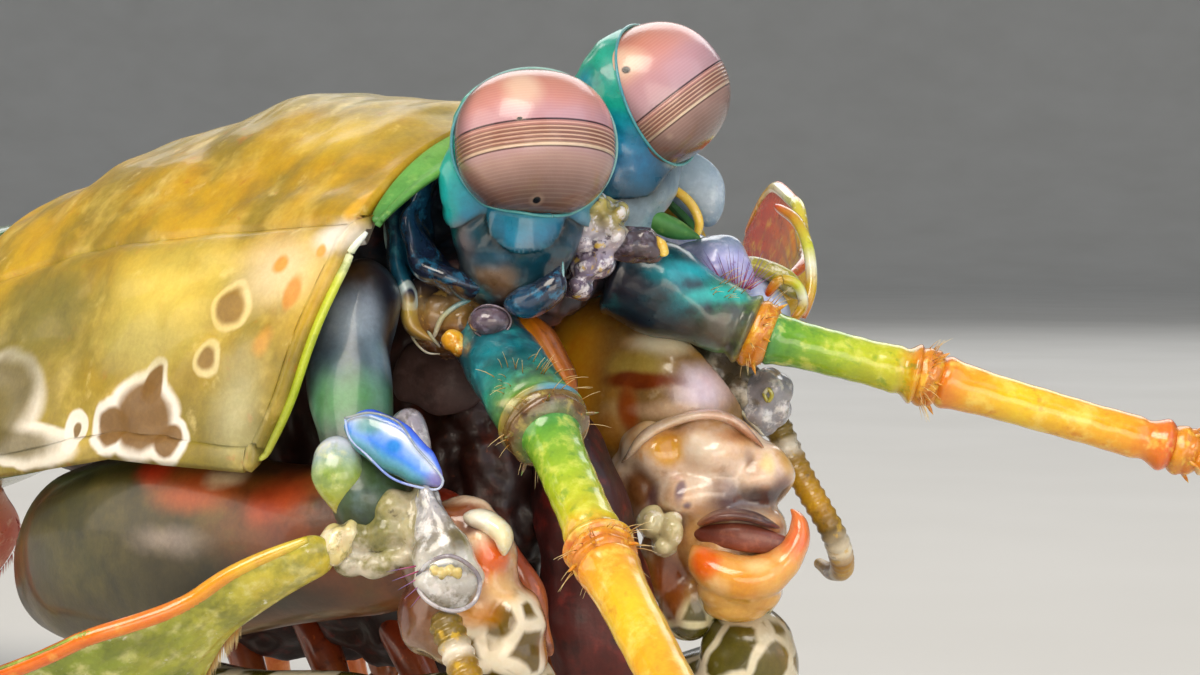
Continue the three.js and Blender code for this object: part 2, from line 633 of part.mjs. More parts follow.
const FINISHES = {
  cornea: { color: 0xb08a90, roughness: 0.12, metalness: 0 },
  stalk: { color: 0x12809a, roughness: 0.3, metalness: 0 },
  feeler: { color: 0x9aa52c, roughness: 0.3, metalness: 0 },
  shell: { color: 0xb59a3c, roughness: 0.3, metalness: 0 },
  joint: { color: 0x8f9a96, roughness: 0.35, metalness: 0 },
  scale: { color: 0xb9822a, roughness: 0.35, metalness: 0 },
  limb: { color: 0xb08a55, roughness: 0.35, metalness: 0 },
  head: { color: 0x2f4f5f, roughness: 0.4, metalness: 0 },
  body: { color: 0x5f7f3c, roughness: 0.35, metalness: 0 },
  leg: { color: 0xc0492a, roughness: 0.35, metalness: 0 },
  tail: { color: 0x4c7a52, roughness: 0.35, metalness: 0 },
};

// Joins each part's shapes, trims it at the floor and cuts it back from every earlier neighbour

const slabGeometry = new THREE.BoxGeometry(400, 200, FLOOR_SLAB);
slabGeometry.translate(-50, 0, -FLOOR_SLAB / 2);
const slab = solidOf(slabGeometry);
const overlaps = (a, b) => [0, 1, 2].every((i) => a.min[i] < b.max[i] && b.min[i] < a.max[i]);
const joined = (part, grow) => part.shapes
  .map(([make, shape]) => make(shape, grow))
  .reduce((whole, piece) => whole.add(piece));

const finished = [];
const cutters = [];
for (const part of parts) {
  let solid = joined(part, 0);
  if (solid.boundingBox().min[2] < 0) solid = solid.subtract(slab);
  for (const cutter of cutters) {
    if (overlaps(solid.boundingBox(), cutter.boundingBox())) solid = solid.subtract(cutter);
  }
  finished.push({ ...part, solid: largest(solid) });
  cutters.push(joined(part, GAP));
}

/** A three.js geometry from a solid, moved by the offset. */
function geometryOf(solid, offset) {
  const mesh = solid.getMesh();
  const spots = new Float32Array(mesh.numVert * 3);
  for (let i = 0; i < mesh.numVert; i++) {
    for (let k = 0; k < 3; k++) spots[3 * i + k] = mesh.vertProperties[mesh.numProp * i + k] + offset[k];
  }
  const geometry = new THREE.BufferGeometry();
  geometry.setAttribute("position", new THREE.BufferAttribute(spots, 3));
  geometry.setIndex(new THREE.BufferAttribute(new Uint32Array(mesh.triVerts), 1));
  geometry.computeVertexNormals();
  return geometry;
}

// The origin is the bottom centre of the whole animal's box

const low = [0, 1, 2].map((i) => Math.min(...finished.map((part) => part.solid.boundingBox().min[i])));
const high = [0, 1, 2].map((i) => Math.max(...finished.map((part) => part.solid.boundingBox().max[i])));
const offset = [-(low[0] + high[0]) / 2, -(low[1] + high[1]) / 2, -low[2]];

const group = new THREE.Group();
for (const part of finished) {
  const mesh = new THREE.Mesh(
    geometryOf(part.solid, offset),
    new THREE.MeshStandardMaterial(FINISHES[part.finish]),
  );
  mesh.name = part.name;
  group.add(mesh);
}

export default group;
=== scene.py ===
"""The looks of a life-size peacock mantis shrimp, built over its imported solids.

Sizes are in millimetres in the animal's own frame: x towards the nose, y to its left,
z up from the floor. Every mesh is placed in the row frame, in metres, as it is made.
"""

import logging
import math
from collections.abc import Callable, Mapping, Sequence
from dataclasses import dataclass, field
from enum import Enum
from typing import Any

import bmesh
import bpy
import numpy as np
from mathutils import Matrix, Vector


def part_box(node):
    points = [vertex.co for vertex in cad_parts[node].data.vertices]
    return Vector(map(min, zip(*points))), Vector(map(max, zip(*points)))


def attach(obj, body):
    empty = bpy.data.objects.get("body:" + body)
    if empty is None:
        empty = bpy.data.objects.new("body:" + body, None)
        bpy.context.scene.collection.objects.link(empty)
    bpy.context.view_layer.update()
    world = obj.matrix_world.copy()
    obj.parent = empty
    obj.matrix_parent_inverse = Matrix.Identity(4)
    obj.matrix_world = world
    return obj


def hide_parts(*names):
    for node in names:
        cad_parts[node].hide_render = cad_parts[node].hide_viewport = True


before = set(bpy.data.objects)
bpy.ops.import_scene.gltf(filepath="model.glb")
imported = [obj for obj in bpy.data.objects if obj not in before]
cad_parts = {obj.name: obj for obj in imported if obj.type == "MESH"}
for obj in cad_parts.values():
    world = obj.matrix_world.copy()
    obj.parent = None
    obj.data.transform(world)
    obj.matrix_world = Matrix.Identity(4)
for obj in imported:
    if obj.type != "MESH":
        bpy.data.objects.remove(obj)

log = logging.getLogger("mantis_shrimp")

Point = Sequence[float]
Profile = Sequence[float]
Relief = Callable[[np.ndarray, np.ndarray], np.ndarray]
Colour = tuple[float, float, float]
Stops = Sequence[tuple[float, str]]

MM = 0.001
UP = (0.0, 0.0, 1.0)
FORWARD = (1.0, 0.0, 0.0)
RIGHT_EYE_AT = (2.45, -4.97, 41.0)


class Side(Enum):
    """The animal's own right or left, with the sign of its y."""

    RIGHT = -1
    LEFT = 1

    @property
    def word(self) -> str:
        """The side's name as the solids are named."""
        return self.name.lower()

    def mirror(self, points: Sequence[Point]) -> list[tuple[float, float, float]]:
        """The points of a left-side path, on this side."""
        return [(p[0], self.value * p[1], p[2]) for p in points]


class Slot(Enum):
    """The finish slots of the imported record."""

    CORNEA = "cornea"
    EYESTALK = "eyestalk"
    ANTENNULE = "antennule"
    SCALE = "antennal_scale"
    ANTENNA = "antenna"
    CARAPACE = "carapace"
    HEAD = "head"
    RAPTORIAL = "raptorial"
    MAXILLIPED = "maxilliped"
    LEG = "leg"
    BODY = "body"
    TAIL_FAN = "tail_fan"


def frame_offset() -> np.ndarray:
    """The step from the animal's frame to the row frame.

    Returns:
        The offset in millimetres, from the place of the right cornea's solid.
    """
    low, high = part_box("eye_right")
    return np.array((low + high) / 2) / MM - np.array(RIGHT_EYE_AT)


OFFSET = frame_offset()


def placed(points: np.ndarray) -> np.ndarray:
    """Points of the animal's frame, in the row frame.

    Args:
        points: places in millimetres.

    Returns:
        The same places in metres.
    """
    return (np.asarray(points, float) + OFFSET) * MM


@dataclass(frozen=True)
class View:
    """Where the camera stands and what it sees, as the whole frame of 1200 by 675 dots."""

    azimuth: float = 46.0
    elevation: float = 2.0
    lens: float = 78.0
    eye: Point = (96.9, -98.0, 35.8)

    def axes(self) -> tuple[np.ndarray, np.ndarray, np.ndarray]:
        """The directions to the frame's right, up the frame and into it."""
        a, e = math.radians(self.azimuth), math.radians(self.elevation)
        right = np.array([math.sin(a), math.cos(a), 0.0])
        gaze = np.array([-math.cos(a) * math.cos(e), math.sin(a) * math.cos(e), -math.sin(e)])
        return right, np.cross(right, gaze), gaze

    def at(self, across: float, down: float, deep: float) -> tuple[float, float, float]:
        """The place in the animal's frame that one dot of the frame shows.

        Args:
            across: dots from the frame's left.
            down: dots from its top.
            deep: millimetres in front of the camera.

        Returns:
            The place.
        """
        right, up, gaze = self.axes()
        focal = 1200 * self.lens / 36
        spot = np.asarray(self.eye) + deep * (
            gaze + (across - 600) / focal * right + (337.5 - down) / focal * up
        )
        return float(spot[0]), float(spot[1]), float(spot[2])

    def line(self, *dots: Point) -> list[tuple[float, float, float]]:
        """The places of a row of dots, each with its depth."""
        return [self.at(*dot) for dot in dots]


VIEW = View()
INTO = tuple(VIEW.axes()[2])


# Measures along the body


def along(pairs: Sequence[tuple[float, float]], x: Any) -> Any:
    """A value at x in a list of pairs that runs from nose to tail.

    Args:
        pairs: (x, value) pairs with falling x.
        x: one place or an array of places.

    Returns:
        The value at each place.
    """
    xs, values = zip(*pairs[::-1])
    return np.interp(x, xs, values)


def smooth(values: Profile, t: np.ndarray) -> np.ndarray:
    """Evenly spaced values joined by smooth steps.

    Args:
        values: the values from start to end.
        t: shares of the way, 0 to 1.

    Returns:
        The value at each share.
    """
    table = np.atleast_1d(np.asarray(values, float))
    if len(table) == 1:
        return np.full_like(t, table[0])
    span = np.clip(t, 0, 1) * (len(table) - 1)
    i = np.minimum(span.astype(int), len(table) - 2)
    f = span - i
    return table[i] + (table[i + 1] - table[i]) * f * f * (3 - 2 * f)


def hump(x: np.ndarray, centre: float, width: float) -> np.ndarray:
    """A rounded hump that is 1 at the centre.

    Args:
        x: the places.
        centre: where the hump stands.
        width: its half width.

    Returns:
        The height at each place.
    """
    return np.exp(-(((x - centre) / width) ** 2))


def step(x: np.ndarray, low: float, high: float) -> np.ndarray:
    """A smooth step from 0 at low to 1 at high.

    Args:
        x: the places.
        low: where the step starts.
        high: where it ends.

    Returns:
        The step's height at each place.
    """
    f = np.clip((x - low) / (high - low), 0, 1)
    return f * f * (3 - 2 * f)


def unit(v: Point) -> np.ndarray:
    """The vector at length 1."""
    return np.asarray(v, float) / np.linalg.norm(v)


def unit_rows(rows: np.ndarray) -> np.ndarray:
    """Each row at length one."""
    return rows / np.linalg.norm(rows, axis=1, keepdims=True)


def ripple(points: np.ndarray, size: float, seed: int, waves: int = 14) -> np.ndarray:
    """A soft lumpy field that repeats nowhere near.

    Args:
        points: places in millimetres.
        size: length of one lump.
        seed: picks the field.
        waves: how many plane waves are added.

    Returns:
        A value of about -1 to 1 at each place.
    """
    rng = np.random.default_rng(seed)
    total = np.zeros(np.shape(points)[:-1])
    for _ in range(waves):
        direction = unit(rng.normal(size=3)) * 2 * math.pi / (size * rng.uniform(0.7, 1.6))
        total += np.sin(points @ direction + rng.uniform(0, 2 * math.pi))
    return total / math.sqrt(waves)


def spline(points: Sequence[Point], count: int) -> np.ndarray:
    """A smooth curve through the points, sampled evenly by length.

    Args:
        points: two or more points.
        count: how many samples are returned.

    Returns:
        The samples, one per row.
    """
    knots = np.asarray(points, float)
    if len(knots) == 2:
        return knots[0] + (knots[1] - knots[0]) * np.linspace(0, 1, count)[:, None]
    ends = np.vstack([2 * knots[0] - knots[1], knots, 2 * knots[-1] - knots[-2]])
    f = np.linspace(0, 1, 60)[:, None]
    runs = []
    for p0, p1, p2, p3 in zip(ends, ends[1:], ends[2:], ends[3:]):
        gaps = [math.sqrt(np.linalg.norm(b - a)) for a, b in ((p0, p1), (p1, p2), (p2, p3))]
        a, b, c = gaps
        m1 = ((p1 - p0) / a - (p2 - p0) / (a + b) + (p2 - p1) / b) * b
        m2 = ((p2 - p1) / b - (p3 - p1) / (b + c) + (p3 - p2) / c) * b
        cubic = 2 * p1 - 2 * p2 + m1 + m2
        square = -3 * p1 + 3 * p2 - 2 * m1 - m2
        runs.append(p1 + m1 * f + square * f**2 + cubic * f**3)
    line = np.vstack(runs)
    lengths = np.concatenate([[0], np.cumsum(np.linalg.norm(np.diff(line, axis=0), axis=1))])
    wanted = np.linspace(0, lengths[-1], count)
    return np.stack([np.interp(wanted, lengths, line[:, k]) for k in range(3)], axis=1)


# Meshes


@dataclass
class Shape:
    """One mesh in the making.

    `lay` holds each point's place on its own piece, as its finish reads it:
    share along, then two that run round or across it.
    """

    points: np.ndarray
    faces: list[tuple[int, ...]]
    lay: np.ndarray
    chart: np.ndarray | None = None

    @staticmethod
    def joined(shapes: Sequence["Shape"]) -> "Shape":
        """Several shapes as one.

        Args:
            shapes: the shapes to join.

        Returns:
            A shape with all their points and faces.
        """
        faces: list[tuple[int, ...]] = []
        start = 0
        for shape in shapes:
            faces += [tuple(i + start for i in face) for face in shape.faces]
            start += len(shape.points)
        charts = [s.chart for s in shapes if s.chart is not None]
        return Shape(
            np.vstack([s.points for s in shapes]),
            faces,
            np.vstack([s.lay for s in shapes]),
            np.vstack(charts) if len(charts) == len(shapes) else None,
        )


def woven(rows: np.ndarray, lay: np.ndarray, round_it: bool = True) -> Shape:
    """A net of quads over rows of points, closed at both ends when it goes round.

    Args:
        rows: points as (rows, columns, 3).
        lay: the same, of lay values.
        round_it: whether the last column joins the first.

    Returns:
        The shape.
    """
    n, m = rows.shape[:2]
    span = m if round_it else m - 1
    i, j = np.meshgrid(np.arange(n - 1), np.arange(span), indexing="ij")
    k = (j + 1) % m
    quads = np.stack([i * m + j, i * m + k, (i + 1) * m + k, (i + 1) * m + j], axis=-1)
    faces = [tuple(q) for q in quads.reshape(-1, 4).tolist()]
    points, marks = rows.reshape(-1, 3), lay.reshape(-1, 3)
    if round_it:
        for row, turn in ((0, -1), (n - 1, 1)):
            tip = len(points)
            points = np.vstack([points, rows[row].mean(0)])
            marks = np.vstack([marks, lay[row].mean(0)])
            ring = [row * m + c for c in range(m)]
            faces += [(a, b, tip)[::turn] for a, b in zip(ring, ring[1:] + ring[:1])]
    return Shape(points, faces, marks)


def rounded(share: np.ndarray, reach: float) -> np.ndarray:
    """How full a limb is near an end: 0 at share 0, and 1 from reach on, as a round end."""
    return np.sqrt(1 - (1 - np.minimum(share / reach, 1)) ** 2)


@dataclass
class Limb:
    """A rounded length along a smooth path, as wide and high as its profiles say."""

    path: Sequence[Point]
    width: Profile
    height: Profile
    up: Point = UP
    power: float = 2.0
    belly: float = 1.0
    blunt: tuple[float, float] = (0.12, 0.12)
    rings: int = 70
    sides: int = 40
    relief: Relief | None = None

    def shape(self) -> Shape:
        """The limb's mesh.

        Returns:
            A closed shape whose lay is share along, and the turn's cosine and sine.
        """
        turn = np.linspace(0.004, 0.996, self.rings)
        t = turn - 0.75 * np.sin(2 * np.pi * turn) / (2 * np.pi)
        line = spline(self.path, 400)
        at = np.linspace(0, 1, 400)
        spots = np.stack([np.interp(t, at, line[:, k]) for k in range(3)], axis=1)
        slope = np.gradient(line, axis=0)
        tangent = np.stack([np.interp(t, at, slope[:, k]) for k in range(3)], axis=1)
        tangent = unit_rows(tangent)
        across = unit_rows(np.cross(np.asarray(self.up, float), tangent))
        top = np.cross(tangent, across)
        end = rounded(t, self.blunt[0]) * rounded(1 - t, self.blunt[1])
        angle = np.linspace(0, 2 * np.pi, self.sides, endpoint=False)
        c, s = np.cos(angle), np.sin(angle)
        cc = np.sign(c) * np.abs(c) ** (2 / self.power)
        ss = np.sign(s) * np.abs(s) ** (2 / self.power) * np.where(s < 0, self.belly, 1)
        side = (smooth(self.width, t) * end)[:, None] * cc
        rise = (smooth(self.height, t) * end)[:, None] * ss
        if self.relief is not None:
            extra = self.relief(t[:, None], angle[None, :]) * end[:, None]
            side, rise = side + extra * c, rise + extra * s
        rows = spots[:, None] + side[..., None] * across[:, None] + rise[..., None] * top[:, None]
        grid = np.broadcast_to
        lay = np.stack(
            [grid(t[:, None], side.shape), grid(c, side.shape), grid(s, side.shape)], axis=-1
        )
        return woven(rows, lay)


@dataclass
class Ball:
    """An ellipsoid with its half sizes along three directions."""

    at: Point
    sizes: Point
    axes: Sequence[Point] = ((1, 0, 0), (0, 1, 0), (0, 0, 1))
    power: float = 2.0
    rings: int = 48
    sides: int = 64

    def shape(self) -> Shape:
        """The ball's mesh.

        Returns:
            A closed shape whose lay is the unit place along each of its directions.
        """
        tilt = np.linspace(0.012, math.pi - 0.012, self.rings)[:, None]
        angle = np.linspace(0, 2 * np.pi, self.sides, endpoint=False)[None, :]
        b, c = np.cos(angle), np.sin(angle)
        swell = (np.abs(b) ** self.power + np.abs(c) ** self.power) ** (-1 / self.power)
        place = np.stack(
            [
                np.cos(tilt) + 0 * angle,
                np.sin(tilt) * b * swell,
                np.sin(tilt) * c * swell,
            ],
            axis=-1,
        )
        axes = np.array([unit(a) for a in self.axes])
        rows = np.asarray(self.at, float) + (place * np.asarray(self.sizes)) @ axes
        return woven(rows, place)


def sheet(
    surface: Callable[[np.ndarray, np.ndarray], np.ndarray],
    thickness: float,
    across: int,
    down: int,
) -> Shape:
    """A curved plate of even thickness with a rounded edge.

    Args:
        surface: gives the outside's points from shares u and v, each 0 to 1.
        thickness: the plate's thickness.
        across: how many columns of faces it has.
        down: how many rows of faces it has.

    Returns:
        A closed shape whose lay is u, v and 1 outside or 0 inside.
    """
    u, v = np.meshgrid(np.linspace(0, 1, across + 1), np.linspace(0, 1, down + 1))
    outer = surface(u, v)
    nudge = 1e-3
    du = surface(u + nudge, v) - surface(u - nudge, v)
    dv = surface(u, v + nudge) - surface(u, v - nudge)
    normal = np.cross(du, dv)
    normal /= np.linalg.norm(normal, axis=-1, keepdims=True) + 1e-12
    inner = outer - normal * thickness
    n, m = u.shape
    faces: list[tuple[int, ...]] = []
    out = np.arange(n * m).reshape(n, m)
    within = out + n * m
    quads = np.stack([out[:-1, :-1], out[:-1, 1:], out[1:, 1:], out[1:, :-1]], axis=-1)
    faces += [tuple(q) for q in quads.reshape(-1, 4).tolist()]
    quads = np.stack([within[:-1, :-1], within[1:, :-1], within[1:, 1:], within[:-1, 1:]], axis=-1)
    faces += [tuple(q) for q in quads.reshape(-1, 4).tolist()]
    edge = [*out[0, :-1], *out[:-1, -1], *out[-1, :0:-1], *out[:0:-1, 0]]
    back = [e + n * m for e in edge]
    for k in range(len(edge)):
        j = (k + 1) % len(edge)
        faces.append((int(edge[j]), int(edge[k]), int(back[k]), int(back[j])))
    lay = np.stack([u, v, np.ones_like(u)], axis=-1).reshape(-1, 3)
    below = lay * np.array([1, 1, 0])
    return Shape(
        np.vstack([outer.reshape(-1, 3), inner.reshape(-1, 3)]), faces, np.vstack([lay, below])
    )


HAIR = 0.035  # half the thickness of a hair at its root


def bristles(
    roots: np.ndarray, tips: np.ndarray, thick: float, chart: np.ndarray, sag: Point = (0, 0, 0)
) -> Shape:
    """Fine tapering hairs, each a bent three-sided spike.

    Args:
        roots: where each hair grows.
        tips: where each one ends.
        thick: radius at the root.
        chart: each root's place on an unwrap of what it grows from.
        sag: how far the middle of each hair bows.

    Returns:
        One shape with every hair, charted for the bake.
    """
    count, levels = len(roots), 5
    run = tips - roots
    length = np.linalg.norm(run, axis=1, keepdims=True)
    way = run / (length + 1e-9)
    helper = np.where(np.abs(way[:, 2:3]) < 0.9, [[0, 0, 1.0]], [[1.0, 0, 0]])
    side = np.cross(way, helper)
    side = unit_rows(side)
    top = np.cross(way, side)
    points, lay, uv = [], [], []
    for level in range(levels):
        t = level / (levels - 1)
        bow = 4 * t * (1 - t) * np.asarray(sag, float) * length
        centre = roots + run * t + bow
        radius = thick * (1 - 0.85 * t)
        for corner in range(3):
            a = corner * 2 * math.pi / 3
            points.append(centre + radius * (math.cos(a) * side + math.sin(a) * top))
            lay.append(np.tile([t, math.cos(a), math.sin(a)], (count, 1)))
            uv.append(chart + 0.0012 * np.array([math.cos(a), math.sin(a)]) * (1 - 0.7 * t))
    stack = np.stack(points, axis=1)
    faces: list[tuple[int, ...]] = []
    wide = levels * 3
    for k in range(count):
        start = k * wide
        for level in range(levels - 1):
            for corner in range(3):
                a = start + level * 3 + corner
                b = start + level * 3 + (corner + 1) % 3
                faces.append((a, b, b + 3, a + 3))
        last = start + wide - 3
        faces += [(last, last + 1, last + 2), (start + 2, start + 1, start)]
    return Shape(
        stack.reshape(-1, 3),
        faces,
        np.stack(lay, axis=1).reshape(-1, 3),
        np.stack(uv, axis=1).reshape(-1, 2),
    )


def bare_mesh(name: str, shape: Shape, scale: float = 1.0) -> bpy.types.Mesh:
    """A Blender mesh of the shape, where it stands.

    Args:
        name: the mesh's name.
        shape: its points and faces.
        scale: what the points are multiplied by.

    Returns:
        The mesh.
    """
    mesh = bpy.data.meshes.new(name)
    mesh.from_pydata((shape.points * scale).tolist(), [], shape.faces)
    mesh.update()
    return mesh


def fused(shapes: Sequence[Shape], voxel: float, soften: int = 4) -> Shape:
    """The shapes melted into one skin.

    Args:
        shapes: closed shapes that overlap.
        voxel: the smallest detail that is kept.
        soften: how many smoothing passes follow.

    Returns:
        The skin. Its lay is zero, because its finish reads places instead.
    """
    mesh = bare_mesh("melt", Shape.joined(shapes))
    body = bpy.data.objects.new("melt", mesh)
    bpy.context.scene.collection.objects.link(body)
    remesh = body.modifiers.new("melt", "REMESH")
    remesh.mode = "VOXEL"
    remesh.voxel_size = voxel
    relax = body.modifiers.new("relax", "SMOOTH")
    relax.iterations = soften
    relax.factor = 0.5
    graph = bpy.context.evaluated_depsgraph_get()
    melted = body.evaluated_get(graph).to_mesh()
    points = np.empty(len(melted.vertices) * 3)
    melted.vertices.foreach_get("co", points)
    faces = [tuple(p.vertices) for p in melted.polygons]
    body.evaluated_get(graph).to_mesh_clear()
    bpy.data.objects.remove(body)
    bpy.data.meshes.remove(mesh)
    points = points.reshape(-1, 3)
    return Shape(points, faces, np.zeros_like(points))


def swollen(shape: Shape, lift: Callable[[np.ndarray], np.ndarray]) -> Shape:
    """The shape with its points moved along their normals.

    Args:
        shape: the shape to change.
        lift: gives how far each point moves out.

    Returns:
        The changed shape.
    """
    mesh = bare_mesh("swell", shape)
    normals = np.empty(len(mesh.vertices) * 3)
    mesh.vertices.foreach_get("normal", normals)
    bpy.data.meshes.remove(mesh)
    moved = shape.points + normals.reshape(-1, 3) * lift(shape.points)[:, None]
    return Shape(moved, shape.faces, shape.lay, shape.chart)


def clipped(shape: Shape, at: Point, normal: Point) -> tuple[Shape, np.ndarray]:
    """The part of the shape behind a plane, with its cut closed.

    Args:
        shape: the shape to cut.
        at: a point of the plane.
        normal: the direction that is cut away.

    Returns:
        The closed rest, and the cut's outline in order.
    """
    net = bmesh.new()
    mesh = bare_mesh("cut", shape)
    net.from_mesh(mesh)
    bpy.data.meshes.remove(mesh)
    everything = [*net.verts, *net.edges, *net.faces]
    bmesh.ops.bisect_plane(
        net, geom=everything, plane_co=Vector(at), plane_no=Vector(normal), clear_outer=True
    )
    rim = [e for e in net.edges if e.is_boundary]
    centre = np.mean([v.co for e in rim for v in e.verts], axis=0)
    bmesh.ops.holes_fill(net, edges=rim)
    n = unit(normal)
    side = unit(np.cross(n, (0.3, 0.9, 0.2)))
    top = np.cross(n, side)
    outline = np.array([list(v.co) for v in {v for e in rim for v in e.verts}])
    turn = np.arctan2((outline - centre) @ top, (outline - centre) @ side)
    outline = outline[np.argsort(turn)]
    points = np.array([list(v.co) for v in net.verts])
    net.verts.index_update()
    faces = [tuple(v.index for v in f.verts) for f in net.faces]
    net.free()
    return Shape(points, faces, np.zeros_like(points)), outline


def tube(line: np.ndarray, radius: float, sides: int = 10, closed: bool = False) -> Shape:
    """An even round strip along a line of points.

    Args:
        line: the points in order.
        radius: the strip's radius.
        sides: how many faces go round it.
        closed: whether the last point joins the first.

    Returns:
        The strip.
    """
    before, after = np.roll(line, 1, axis=0), np.roll(line, -1, axis=0)
    if not closed:
        before[0], after[-1] = line[0], line[-1]
    tangent = after - before
    tangent /= np.linalg.norm(tangent, axis=1, keepdims=True) + 1e-12
    helper = unit(np.mean(line, axis=0) - line[0] + np.array([0.01, 0.02, 0.03]))
    across = np.cross(tangent, helper)
    across /= np.linalg.norm(across, axis=1, keepdims=True) + 1e-12
    top = np.cross(tangent, across)
    angle = np.linspace(0, 2 * np.pi, sides, endpoint=False)
    ring = (
        np.cos(angle)[None, :, None] * across[:, None]
        + np.sin(angle)[None, :, None] * top[:, None]
    )
    t = np.linspace(0, 1, len(line))[:, None] + 0 * angle
    lay = np.stack([t, np.cos(angle) + 0 * t, np.sin(angle) + 0 * t], axis=-1)
    ends = 1.0 if closed else np.sqrt(1 - (2 * np.linspace(0.02, 0.98, len(line)) - 1) ** 6)
    rows = line[:, None] + radius * ring * np.reshape(ends, (-1, 1, 1))
    if closed:
        rows, lay = np.vstack([rows, rows[:1]]), np.vstack([lay, lay[:1]])
    return woven(rows, lay)


def seen(*rows: Sequence[float]) -> list[tuple[Point, Point]]:
    """Centres and half sizes from rows of a dot, its depth and three half sizes."""
    return [(VIEW.at(*row[:3]), tuple(row[3:])) for row in rows]


def lumps(
    balls: Sequence[tuple[Point, Point]], voxel: float, waver: float, size: float, seed: int
) -> Shape:
    """Soft lumps melted together, with an uneven surface.

    Args:
        balls: each one's centre and half sizes to the right, up and into the view.
        voxel: the smallest detail that is kept.
        waver: how uneven the surface is.
        size: length of one unevenness.
        seed: picks the unevenness.

    Returns:
        The skin.
    """
    axes = VIEW.axes()
    made = [Ball(at, sizes, axes, rings=28, sides=36).shape() for at, sizes in balls]
    return swollen(fused(made, voxel, 5), lambda p: waver * ripple(p, size, seed))


def strap(
    dots: Sequence[Point], wide: Profile, deep: Profile, blunt: tuple[float, float] = (0.2, 0.2),
    relief: Relief | None = None,
) -> Shape:
    """A rounded strap that follows dots of the frame, as wide and deep as its profiles say."""
    return Limb(
        VIEW.line(*dots), wide, deep, up=INTO, blunt=blunt, rings=80, sides=36, relief=relief
    ).shape()


def cord(dots: Sequence[Point], radius: float, closed: bool = False) -> Shape:
    """A thin even strip through dots of the frame."""
    points = VIEW.line(*dots)
    line = spline([*points, points[0]] if closed else points, 90)
    return tube(line[:-1] if closed else line, radius, 10, closed)


# Finishes


def linear(hexed: str) -> Colour:
    """A colour as light, from its screen value.

    Args:
        hexed: six hex digits.

    Returns:
        Red, green and blue light.
    """
    parts = [int(hexed[i : i + 2], 16) / 255 for i in (0, 2, 4)]
    lit = [p / 12.92 if p <= 0.04045 else ((p + 0.055) / 1.055) ** 2.4 for p in parts]
    return lit[0], lit[1], lit[2]


class Term:
    """A socket that takes part in sums, each of which adds a Math node."""

    def __init__(self, paint: "Paint", socket: bpy.types.NodeSocket) -> None:
        """Wraps the socket of one of the paint's nodes."""
        self.paint = paint
        self.socket = socket

    def __add__(self, other: Any) -> "Term":
        """This plus the other."""
        return self.paint.math("ADD", self, other)

    __radd__ = __add__

    def __sub__(self, other: Any) -> "Term":
        """This less the other."""
        return self.paint.math("SUBTRACT", self, other)

    def __rsub__(self, other: Any) -> "Term":
        """The other less this."""
        return self.paint.math("SUBTRACT", other, self)

    def __mul__(self, other: Any) -> "Term":
        """This times the other."""
        return self.paint.math("MULTIPLY", self, other)

    __rmul__ = __mul__

    def __truediv__(self, other: Any) -> "Term":
        """This divided by the other."""
        return self.paint.math("DIVIDE", self, other)

    def __pow__(self, other: Any) -> "Term":
        """This to the power of the other."""
        return self.paint.math("POWER", self, other)

    def __abs__(self) -> "Term":
        """This without its sign."""
        return self.paint.math("ABSOLUTE", self)


